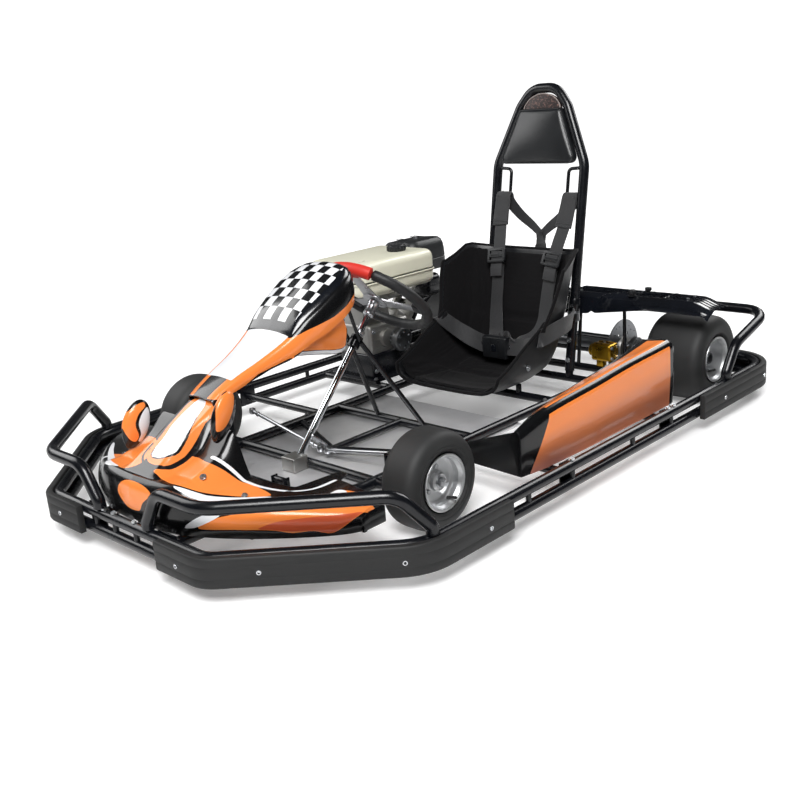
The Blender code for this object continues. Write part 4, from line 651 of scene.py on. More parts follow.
def marbled_leather(kit, name):
    """Drum-dyed leather: dark brown with paler flecks a few millimetres across where the dye broke."""
    tint = linear("1E1312")
    mat, own = blank(name, tint, 0.5)
    fleck = add(mat, "TexNoise", "Fac", {"Vector": own, "Scale": 170.0, "Detail": 4.0, "Roughness": 0.7})
    bright = add(mat, "MapRange", 0, {"Value": fleck, "From Min": 0.52, "From Max": 0.64})
    base = add(mat, "Mix", 2, {0: bright, 6: tint, 7: linear("7A5A52")}, data_type="RGBA")
    bump = add(mat, "Bump", 0, {"Height": fleck, "Strength": 0.5, "Distance": 0.0006})
    return link(mat, Base_Color=base, Normal=bump)


def metal(name, tint, low, high, scale, grain, strength, bare=1.0):
    """Bare metal: a clean reflection, with roughness that drifts and marks left by the tool."""
    mat, own = blank(name, tint, (low + high) / 2, Metallic=bare)
    cloud = add(mat, "TexNoise", "Fac", {"Vector": own, "Scale": 22.0, "Detail": 5.0})
    rough = add(mat, "MapRange", 0, {"Value": cloud, "To Min": low, "To Max": high})
    base = add(mat, "Mix", 2, {0: cloud, 6: tint, 7: darker(tint, 0.82)}, data_type="RGBA")
    stretch = add(mat, "Mapping", 0, {"Vector": own, "Scale": scale})
    marks = add(mat, "TexNoise", "Fac", {"Vector": stretch, "Scale": grain, "Detail": 4.0})
    bump = add(mat, "Bump", 0, {"Height": marks, "Strength": strength, "Distance": 0.0004})
    return link(mat, Base_Color=base, Roughness=rough, Normal=bump)


def cream_enamel(kit, name):
    """Baked enamel over pressed steel: an even cream gloss with a slight film of dust."""
    mat, own = blank(name, kit.tank, 0.3, Coat_Weight=0.3, Coat_Roughness=0.1)
    dust = add(mat, "TexNoise", "Fac", {"Vector": own, "Scale": 18.0, "Detail": 6.0})
    base = add(mat, "Mix", 2, {0: dust, 6: kit.tank, 7: darker(kit.tank, 0.9)}, data_type="RGBA")
    rough = add(mat, "MapRange", 0, {"Value": dust, "To Min": 0.22, "To Max": 0.4})
    relief = add(mat, "TexNoise", "Fac", {"Vector": own, "Scale": 35.0, "Detail": 2.0})
    bump = add(mat, "Bump", 0, {"Height": relief, "Strength": 0.05, "Distance": 0.002})
    return link(mat, Base_Color=base, Roughness=rough, Normal=bump)


EVEN = (1, 1, 1)
FINISHES = {maker.__name__: maker for maker in (
    powder_coated_steel, slick_tyre_rubber, printed_body_plastic, grained_abs, gloss_abs, checkered_gloss_abs,
    polyester_webbing, coated_seat_cloth, padded_vinyl, pale_vinyl, marbled_leather, cream_enamel)}
FINISHES |= {
    "moulded_rubber": lambda kit, name: rubber(name, linear("151516"), linear("232323"), 0.0012, 0.6),
    "foam_rubber_grip": lambda kit, name: rubber(name, linear("0F1012"), linear("1A1B1D"), 0.0016, 0.5),
    "red_foam_grip": lambda kit, name: rubber(name, kit.grip, darker(kit.grip, 0.8), 0.0016, 0.48),
    "rolled_aluminium": lambda kit, name: metal(name, linear("F0F0F2"), 0.28, 0.60, (2, 30, 2), 30.0, 0.35, 0.7),
    "spun_aluminium": lambda kit, name: metal(name, linear("E8E9EA"), 0.30, 0.46, EVEN, 60.0, 0.12),
    "brushed_aluminium": lambda kit, name: metal(name, linear("C4C5C8"), 0.22, 0.4, (60, 2, 2), 14.0, 0.3),
    "zinc_plated_steel": lambda kit, name: metal(name, linear("C3C5C8"), 0.2, 0.38, EVEN, 300.0, 0.15),
    "ground_steel": lambda kit, name: metal(name, linear("8F9194"), 0.24, 0.42, (1, 40, 40), 12.0, 0.2),
    "chromed_steel": lambda kit, name: metal(name, linear("DADCDF"), 0.05, 0.16, EVEN, 40.0, 0.03),
    "sand_cast_aluminium": lambda kit, name: metal(name, linear("A9A8A5"), 0.38, 0.6, EVEN, 480.0, 0.6),
    "gold_anodised_aluminium": lambda kit, name: metal(name, kit.caliper, 0.2, 0.36, EVEN, 260.0, 0.25),
}


def coat(name):
    """The finish of that name, made when it is first asked for."""
    return bpy.data.materials.get(name) or FINISHES[name](bpy.context.scene.kart_colours, name)


# The stage

class KART_OT_stage(bpy.types.Operator):
    """Floor with its backdrop, lamps, sky and the camera"""
    bl_idname = "kart.stage"
    bl_label = "Stage"

    def execute(self, context):
        stage = context.scene.kart_stage
        self.floor(stage)
        self.sky(context.scene)
        self.lamp("key_lamp", (3.1, -3.8, 5.6), (0.0, -0.1, 0.3), 3.2, stage.key)
        self.lamp("fill_lamp", (-3.2, -1.4, 2.6), (-0.1, 0.1, 0.3), 2.6, stage.fill)
        self.lamp("rim_lamp", (0.6, 3.4, 2.8), (0.0, 0.3, 0.4), 2.0, stage.fill)
        self.camera(context.scene, stage)
        return {"FINISHED"}

    def floor(self, stage):
        profile = rounded([(0, -9, 0), (0, 24, 0), (0, 24, 9)], 6.0, 14)
        rows = [[Vector((x, p.y, p.z)) for p in profile] for x in np.linspace(-24, 24, 5)]
        ob = sheet_of(rows)
        settle(ob, Matrix.Rotation(math.radians(44.91), 4, "Z"))
        ob.name = "floor"
        mat, own = blank("matt_floor_paint", stage.floor, 0.8, Emission_Color=(1.0, 1.0, 1.0, 1.0))
        # seen by the camera it glows a little near the kart and more far off, so that it ends in white
        far = add(mat, "VectorMath", "Value", {0: own}, operation="LENGTH")
        glow = add(mat, "MapRange", 0, {"Value": far, "From Min": 1.5, "From Max": 4.5, "To Min": 0.22,
                                        "To Max": 1.1})
        lit = add(mat, "Math", 0, {0: add(mat, "LightPath", "Is Camera Ray"), 1: glow}, operation="MULTIPLY")
        cloud = add(mat, "TexNoise", "Fac", {"Vector": own, "Scale": 3.0, "Detail": 5.0})
        rough = add(mat, "MapRange", 0, {"Value": cloud, "To Min": 0.72, "To Max": 0.88})
        ob.data.materials.append(link(mat, Emission_Strength=lit, Roughness=rough))
        take(ob)
        bpy.ops.object.shade_smooth()

    def sky(self, scene):
        world = bpy.data.worlds.new("studio_sky")
        scene.world = world
        world.use_nodes = True
        sky = world.node_tree.nodes["Background"]
        # bright overhead and dark at the horizon, and plain white where the camera sees it
        height = add(world, "SeparateXYZ", "Z", {0: add(world, "TexCoord", "Generated")})
        high = add(world, "MapRange", 0, {"Value": height, "To Min": 0.30, "To Max": 0.85})
        seen = add(world, "LightPath", "Is Camera Ray")
        strength = add(world, "Math", 0, {0: high, 1: seen}, operation="MAXIMUM")
        world.node_tree.links.new(strength, sky.inputs["Strength"])

    def lamp(self, name, at, towards, size, power):
        put_down()
        bpy.ops.object.light_add(type="AREA", location=at)
        lamp = bpy.context.object
        lamp.name = lamp.data.name = name
        lamp.data.size = size
        lamp.data.energy = power
        lamp.rotation_euler = (Vector(at) - Vector(towards)).to_track_quat("Z", "Y").to_euler()

    def camera(self, scene, stage):
        yaw, pitch, roll = (math.radians(v) for v in (44.91, 17.2, -4.48))
        ahead = Vector((-math.sin(yaw) * math.cos(pitch), math.cos(yaw) * math.cos(pitch), -math.sin(pitch)))
        level = Vector((math.cos(yaw), math.sin(yaw), 0))
        upright = level.cross(ahead)
        right = math.cos(roll) * level + math.sin(roll) * upright
        up = -math.sin(roll) * level + math.cos(roll) * upright
        data = bpy.data.cameras.new("camera")
        data.lens, data.sensor_width = stage.lens, 36.0
        data.shift_x, data.shift_y = -0.16 / 800, -0.07 / 800
        ob = bpy.data.objects.new("camera", data)
        scene.collection.objects.link(ob)
        ob.matrix_world = axes(right, up, -ahead, (2.002, -2.052, 1.019))
        scene.camera = ob


# The kart's plan, shared by the ring, the pads and the guards

HALF_WIDTH, HALF_LENGTH = 0.687, 1.012
FRONT_AXLE_Y, REAR_AXLE_Y = -0.427, 0.791
FRONT_TYRE_X, REAR_TYRE_X, KINGPIN_X = 0.459, 0.480, 0.360
RING_IN, RING_LOW_Z, RING_HIGH_Z = 0.032, 0.054, 0.099
RAIL_X, RAIL_Z = 0.270, 0.075
STAND_Y, PEDAL_Y = -0.045, -0.600
COLUMN_TILT, COLUMN_LENGTH = math.radians(47.5), 0.505
BUSH_AT, ARM_AT = 0.375, 0.085  # how far up the column its bush and its steering arm sit
FRONT_AXLE_Z, REAR_AXLE_Z, RIM_RADIUS = 0.1246, 0.1353, 0.0713
HOOP_X, DISC_X, CHAIN_X = 0.1715, 0.235, -0.320
CRANK_Y, CRANK_Z = 0.290, 0.215
CAP_AT = (-0.345, 0.340, 0.500)
SKIN_WALL = 0.004
SIDE = {1: "left", -1: "right"}


def inset_corners(inset):
    """Front corner and side corner of the kart's outline, moved in by the inset."""
    run = Vector((0.358, 0.334)).normalized()
    inward = Vector((-run.y, run.x))
    start = Vector((0.329, -HALF_LENGTH)) + inward * inset
    front = start + run * ((-HALF_LENGTH + inset - start.y) / run.y)
    side = start + run * ((HALF_WIDTH - inset - start.x) / run.x)
    return front, side


def plan(inset, first, last, height=0.0, steps=10):
    """The left half of the outline from a point on the front face to one on the side or rear."""
    front, side = inset_corners(inset)
    points, radii = [first, (*front, height), (*side, height)], [0, 0.09 - inset, 0.15 - inset]
    if last[1] > HALF_LENGTH - 0.1:
        points.append((HALF_WIDTH - inset, HALF_LENGTH - inset, height))
        radii.append(0.15 - inset)
    return rounded(points + [last], radii + [0], steps)


def column_point(along, forward=0.0):
    """A point on the steering column's axis, and forward of it in the wheel's plane."""
    c, s = math.cos(COLUMN_TILT), math.sin(COLUMN_TILT)
    return Vector((0, -0.456 + c * along - s * forward, 0.078 + s * along + c * forward))


COLUMN_AXIS = column_point(1.0) - column_point(0.0)
COLUMN_AHEAD = (column_point(0.0, 1.0) - column_point(0.0)).normalized()


def hoop_y(height):
    """The hoop's Y at a height: it leans back."""
    return 0.569 + 0.1708 * (height - RAIL_Z)


def bolt(radius, height, kind="hex"):
    """One bolt head on the floor of its frame: a washer and a hex or socket head with a recess."""
    washer = spun([(0, 0), (radius * 1.35, 0), (radius * 1.35, height * 0.16), (0, height * 0.16)], 24)
    if kind == "hex":
        head = rounded_edges(prism(6, radius, height * 0.8, (0, 0, height * 0.56)), radius * 0.12)
    else:
        head = spun([(0, height * 0.1), (radius, height * 0.1), (radius, height * 0.75),
                     (radius * 0.9, height), (radius * 0.55, height), (radius * 0.55, height * 0.45),
                     (0, height * 0.45)], 24)
    return joined([washer, head])


def bolts(name, spots, radius, height, body, kind="hex", finish="zinc_plated_steel"):
    """The same bolt at each place: a point and the way that its head faces."""
    ob = copies(bolt(radius, height, kind), [facing(at, axis, 0.5 * k) for k, (at, axis) in enumerate(spots)])
    return done(ob, name, finish, body)


class KART_OT_bumper(bpy.types.Operator):
    """Double bumper ring with its posts, the rubber pads, their bolts and the three guard bars"""
    bl_idname = "kart.bumper"
    bl_label = "Bumper"

    def execute(self, context):
        sizes = context.scene.kart_sizes
        self.ring(sizes.ring_radius)
        for s in (1, -1):
            self.front_pad(s)
            self.rear_pad(s)
            self.guard(s, sizes.guard_radius)
        self.rear_guard(sizes.guard_radius)
        self.fixings()
        return {"FINISHED"}

    def ring(self, radius):
        end, side = HALF_LENGTH - RING_IN, HALF_WIDTH - RING_IN
        pieces = []
        for z in (RING_LOW_Z, RING_HIGH_Z):
            half = plan(RING_IN, (0, -end, z), (0, end, z), z)
            pieces.append(tube(half + mirrored(half[1:-1])[::-1], radius, True))
        spots = [(x, -end) for x in (-0.13, -0.045, 0.045, 0.13)]
        spots += [(s * side, y) for s in (-1, 1) for y in (-0.30, -0.120, 0.16, 0.360)]
        spots += [(x, end) for x in (-0.30, 0.30)]
        post = rod((0, 0, RING_LOW_Z), (0, 0, RING_HIGH_Z), 0.007)
        pieces.append(copies(post, [Matrix.Translation((x, y, 0)) for x, y in spots]))
        done(joined(pieces), "bumper_ring_tubes", "powder_coated_steel", "chassis", "bumper_ring")

    def capped(self, rows, name, node):
        """A closed section carried along rows, with a flat end at the first and last row."""
        ob = rounded_edges(weld(sheet_of(rows), GAP), 0.0012, 2, 40)
        return done(ob, name, "moulded_rubber", "chassis", node)

    def pad_rows(self, outer, inner, s):
        """The pad's section at each step of its outer line, with a groove above and below its middle."""
        low, high = 0.040, 0.111
        face = [(0.0, low), (0.86, low), (1.0, low + 0.004), (1.0, low + 0.019), (0.93, low + 0.0215),
                (1.0, low + 0.024), (1.0, high - 0.024), (0.93, high - 0.0215), (1.0, high - 0.019),
                (1.0, high - 0.004), (0.86, high), (0.0, high), (0.0, low)]
        return [[Vector((s * (b.x + (a.x - b.x) * share), b.y + (a.y - b.y) * share, z)) for share, z in face]
                for a, b in zip(outer, inner)]

    def front_pad(self, s):
        side = SIDE[s]
        lines = [plan(d, (0.165, -HALF_LENGTH + d, 0), (HALF_WIDTH - d, -0.395, 0)) for d in (0.0, 0.0175)]
        self.capped(self.pad_rows(*lines, s), "front_pad_" + side, "bumper_pad_front_" + side)

    def rear_pad(self, s):
        side = SIDE[s]
        lines = [rounded([(HALF_WIDTH - d, 0.500, 0), (HALF_WIDTH - d, HALF_LENGTH - d, 0),
                          (0.350, HALF_LENGTH - d, 0)], 0.15 - d, 12) for d in (0.0, 0.0175)]
        self.capped(self.pad_rows(*lines, s), "rear_pad_" + side, "bumper_pad_rear_" + side)

    def guard(self, s, radius):
        foot = RING_HIGH_Z + 0.0145
        front, corner = inset_corners(RING_IN)
        y = -HALF_LENGTH + RING_IN
        points = [(0.105, y, foot), (0.105, y, foot + 0.016), (0.160, y, 0.212), (front.x, front.y, 0.212),
                  (corner.x - 0.035, corner.y - 0.033, 0.212), (corner.x, corner.y + 0.03, foot + 0.016),
                  (corner.x, corner.y + 0.03, foot)]
        path = rounded([(x * s, y, z) for x, y, z in points], [0, 0.04, 0.06, 0.10, 0.06, 0.04, 0], 6)
        side = SIDE[s]
        done(tube(path, radius), "guard_bar_" + side, "powder_coated_steel", "chassis", "wheel_guard_" + side)

    def rear_guard(self, radius):
        foot = RING_HIGH_Z + 0.0145
        x, y = HALF_WIDTH - RING_IN, HALF_LENGTH - RING_IN - 0.02
        half = [Vector(p) for p in ((x, 0.688, foot), (x, 0.688, foot + 0.016), (x, 0.745, 0.206), (x, y, 0.262))]
        path = rounded(half + mirrored(half)[::-1], [0, 0.04, 0.06, 0.07, 0.07, 0.06, 0.04, 0], 6)
        done(tube(path, radius), "rear_guard_bar", "powder_coated_steel", "chassis", "rear_guard")

    def fixings(self):
        corner = Vector((0.334, -0.358, 0)).normalized()
        spots = [((0.250, -1.012, 0.0755), (0, -1, 0)), ((0.423, -0.9243, 0.0755), corner),
                 ((0.646, -0.7148, 0.0755), Vector((0.6, -0.5, 0))), ((0.687, -0.4812, 0.0755), (1, 0, 0)),
                 ((0.687, 0.62, 0.0755), (1, 0, 0)), ((0.684, 0.885, 0.0755), (0.97, 0.2, 0))]
        spots = [(Vector(p), Vector(n).normalized()) for p, n in spots]
        pads = [(p - n * 0.0025, n) for p, n in spots + [(Vector((-p.x, p.y, p.z)), Vector((-n.x, n.y, n.z)))
                                                         for p, n in spots]]
        bolts("pad_bolts", pads, 0.0060, 0.006, "chassis", "socket", "chromed_steel")
        y = -HALF_LENGTH + RING_IN
        bright = [(Vector((s * x, y, RING_HIGH_Z + 0.0125)), Vector((0, -0.3, 1)))
                  for s in (-1, 1) for x in (0.045, 0.088)]
        bright += [(Vector((s * (HALF_WIDTH - RING_IN), q, RING_HIGH_Z + 0.0125)), Vector((s * 0.3, 0, 1)))
                   for s in (-1, 1) for q in (-0.120, 0.345, 0.375)]
        bolts("ring_bolts", bright, 0.006, 0.006, "chassis", "socket")


class KART_OT_frame(bpy.types.Operator):
    """Tube frame with its yokes, plates, stands and brackets, and the floor tray"""
    bl_idname = "kart.frame"
    bl_label = "Frame"

    def execute(self, context):
        radius = context.scene.kart_sizes.rail_radius
        bits = []

        def run(points, r=radius, bend=0.06):
            bits.append(tube(rounded(points, bend, 6), r))

        def stay(a, b, r):
            bits.append(rod(a, b, r, 0.0005, 16))

        flange_x, flange_y = 0.6405, 0.9655
        nose_y = -0.8125
        for s in (1, -1):
            run([(s * 0.150, -flange_y + 0.001, RAIL_Z), (s * 0.150, -0.620, RAIL_Z),
                 (s * RAIL_X, -0.500, RAIL_Z), (s * RAIL_X, flange_y - 0.001, RAIL_Z)])
            for y in (-0.120, 0.360):
                run([(s * (RAIL_X - 0.002), y, 0.074), (s * (flange_x - 0.001), y, 0.074)], 0.0115)
                bits.append(block((0.005, 0.06, 0.064), (s * (flange_x - 0.0025), y, 0.0765), 0.0015, 2))
            for y in (-flange_y, flange_y):
                x = 0.150 if y < 0 else RAIL_X
                bits.append(block((0.07, 0.005, 0.064), (s * x, y - math.copysign(0.0025, y), 0.0765), 0.0015, 2))
            yoke_x, low, high = KINGPIN_X - 0.030, RAIL_Z - 0.004, 0.1666
            bits.append(block((0.006, 0.034, high - low), (s * yoke_x, FRONT_AXLE_Y, (high + low) / 2), 0.001, 2))
            for up in (-1, 1):
                ear = block((0.048, 0.030, 0.006), (s * (yoke_x + 0.022), FRONT_AXLE_Y, FRONT_AXLE_Z + up * 0.039),
                            0.002, 2)
                hole = rod((s * KINGPIN_X, FRONT_AXLE_Y, 0.06), (s * KINGPIN_X, FRONT_AXLE_Y, 0.19), 0.0065, 0)
                bits.append(cut(ear, hole))
            run([(s * 0.003, -0.322, 0.0759), (s * (RAIL_X - 0.004), -0.205, 0.074)], 0.0093)
            run([(s * 0.095, STAND_Y, RAIL_Z), (s * 0.023, *column_point(BUSH_AT).yz)], 0.007)
            stay((s * HOOP_X, 0.569, RAIL_Z), (s * HOOP_X, hoop_y(0.098) - 0.0006, 0.0972), 0.0125)
            top, low = 0.0968, 0.065
            bits.append(block((0.006, 0.085, top - low), (s * 0.285, REAR_AXLE_Y, (top + low) / 2), 0.001, 2))
            seat = seat_point(0.25, 0.70)
            stay((s * seat.x, seat.y, RAIL_Z), (s * seat.x, seat.y, seat.z - 0.0015), 0.009)
            stay((s * 0.250, nose_y, RAIL_Z), (s * 0.250, nose_y, 0.166), 0.006)
            x = s * 0.110
            stay((x - 0.026, PEDAL_Y, 0.102), (x + 0.026, PEDAL_Y, 0.102), 0.004)
            for dx in (-0.023, 0.023):
                bits.append(block((0.004, 0.020, 0.037), (x + dx, PEDAL_Y, 0.0935), 0.001, 2))
            panel_y = -0.300
            stay((s * 0.0205, *column_point(BUSH_AT).yz), (s * 0.055, panel_y, panel_under(0.055, panel_y)), 0.005)
        for y, half in ((nose_y, 0.262), (PEDAL_Y, 0.162), (STAND_Y, RAIL_X), (seat_point(0.25, 0.7).y, RAIL_X),
                        (0.569, RAIL_X), (0.700, RAIL_X)):
            run([(-half, y, RAIL_Z + 0.0005), (half, y, RAIL_Z + 0.0005)], 0.0125)
        run([(-0.329, FRONT_AXLE_Y, RAIL_Z), (0.329, FRONT_AXLE_Y, RAIL_Z)], 0.0125)
        run([(0, -0.334, 0.0757), (0, STAND_Y, 0.0757)], 0.0105)
        for y in (0.190, 0.390):
            run([(-RAIL_X + 0.002, y, 0.0755), (-0.580, y, 0.0755)], 0.0115)
        stay((0.274, 0.742, RAIL_Z), (0.274, 0.742, 0.3293), 0.006)
        stay((0.12, 0.700, RAIL_Z), (0.12, 0.728, 0.3286), 0.006)
        ring = spun([(0.0140, -0.017), (0.0175, -0.017), (0.0175, 0.017), (0.0140, 0.017)], 32, True)
        bits.append(place(ring, column_point(BUSH_AT), COLUMN_AXIS))
        done(joined(bits), "frame_tubes", "powder_coated_steel", "chassis", "main_frame")
        foot = block((0.052, 0.050, 0.040), (0, -0.4605, 0.0812), 0.003)
        done(cut(foot, rod(column_point(-0.003), column_point(0.08), 0.0100, 0)), "column_foot",
             "sand_cast_aluminium", "chassis")
        self.tray()
        self.fixings()
        return {"FINISHED"}

    def tray(self):
        """The floor tray, pressed, with rounded edges and shallow stiffening ribs."""
        edge = [(-0.245, PEDAL_Y), (0.245, PEDAL_Y), (0.292, -0.49), (0.292, 0.16), (-0.292, 0.16), (-0.292, -0.49)]
        outline = rounded([(x, y, 0) for x, y in edge], 0.012, 5, True)
        ob = slab(outline, 0.0580, 0.0605, 0.0008)
        ribs = [block((0.030, 0.20, 0.0020), (x, y, 0.0575), 0.0009, 2)
                for x in (-0.20, -0.10, 0.10, 0.20) for y in (-0.40, -0.12)]
        done(joined([ob] + ribs), "floor_panel", "rolled_aluminium", "chassis", "floor_tray")

    def fixings(self):
        spots = [(Vector((s * x, y, 0.0885)), Vector((0, 0, 1))) for s in (-1, 1)
                 for x, y in ((0.135, -0.950), (0.165, -0.950), (RAIL_X, -0.18), (RAIL_X, 0.30))]
        bolts("frame_bolts", spots, 0.0055, 0.006, "chassis")


# Bodywork

def nose_front(a):
    return -HALF_LENGTH + flowing(a, [(0, 0.057), (0.11, 0.064), (0.20, 0.094), (0.30, 0.150), (0.40, 0.227),
                                      (0.47, 0.297), (0.49, 0.332)])


def nose_rear(a):
    return -HALF_LENGTH + flowing(a, [(0, 0.294), (0.055, 0.294), (0.07, 0.264), (0.19, 0.264), (0.205, 0.267),
                                      (0.25, 0.290), (0.30, 0.307), (0.315, 0.437), (0.335, 0.437),
                                      (0.352, 0.400), (0.49, 0.400)])


def nose_top(a, y):
    """Height of the nose's skin: the wing, a shoulder rising to the rear and the sloping spine."""
    wing = flowing(a, [(0, 0.200), (0.13, 0.192), (0.20, 0.178), (0.25, 0.168), (0.40, 0.156), (0.49, 0.142)])
    back = y + HALF_LENGTH
    shoulder = flowing(back, [(0.132, 0.205), (0.212, 0.236), (0.264, 0.284), (0.294, 0.300)])
    spine = flowing(back, [(0.082, 0.205), (0.132, 0.236), (0.212, 0.283), (0.294, 0.330)])
    height = wing + max(shoulder - wing, 0) * (1 - step(0.14, 0.20, a))
    return height + max(spine - height, 0) * (1 - step(0.045, 0.080, a))


PANEL = ((-0.728, 0.046, 0.334, 0.020), (-0.700, 0.050, 0.350, 0.025), (-0.650, 0.057, 0.374, 0.026),
         (-0.575, 0.072, 0.404, 0.030),
         (-0.500, 0.092, 0.444, 0.050), (-0.450, 0.107, 0.485, 0.063), (-0.400, 0.118, 0.516, 0.074),
         (-0.350, 0.122, 0.545, 0.080), (-0.305, 0.110, 0.565, 0.078), (-0.275, 0.086, 0.573, 0.068),
         (-0.260, 0.056, 0.573, 0.060))
PANEL_SECTION = ((0.0, -0.12), (0.45, -0.08), (0.82, 0.03), (0.97, 0.16), (1.03, 0.6), (1.0, 1.0))


def panel_at(y):
    """Half width, height and depth of the lip of the steering fairing at a station."""
    return [flowing(y, [(row[0], row[k]) for row in PANEL]) for k in (1, 2, 3)]


def panel_under(x, y):
    half, top, lip = panel_at(y)
    return top - flowing(x / half, PANEL_SECTION[:3]) * lip - 0.0035


class Skin:
    """A moulded skin on rows of points, with a flat map of it to lay the printed fields out on."""

    def __init__(self, rows):
        self.ob = sheet_of(rows)
        self.places = np.array([v.co.copy() for v in self.ob.data.vertices])
        flat = {}
        for row in rows:
            for p, run in zip(row, run_along(row)):
                flat[tuple(round(c, 6) for c in p)] = (p[0], run)
        self.flat = np.array([flat[tuple(round(c, 6) for c in v.co)] for v in self.ob.data.vertices])

    def spot(self, point):
        """Where a point of the skin lies on the flat map."""
        return self.flat[((self.places - np.array(point)) ** 2).sum(1).argmin()]

    def inside(self, points, smooth=True):
        line = [Vector(self.spot(p)) for p in points]
        return depth_inside(self.flat, curved(line) if smooth else line)

    def near(self, points, half, closed=False):
        """A band of a given half width along a line of points."""
        line = curved([Vector(self.spot(p)) for p in points], closed)
        a = np.array([tuple(p) for p in line])
        b = np.roll(a, -1, axis=0) if closed else a[1:]
        a = a if closed else a[:-1]
        return half - nearest(self.flat, a, b)

    def print_on(self, **fields):
        """Lays each field out as the union of its shapes."""
        mark_fields(self.ob, **{name: np.max(shapes, axis=0) for name, shapes in fields.items()})


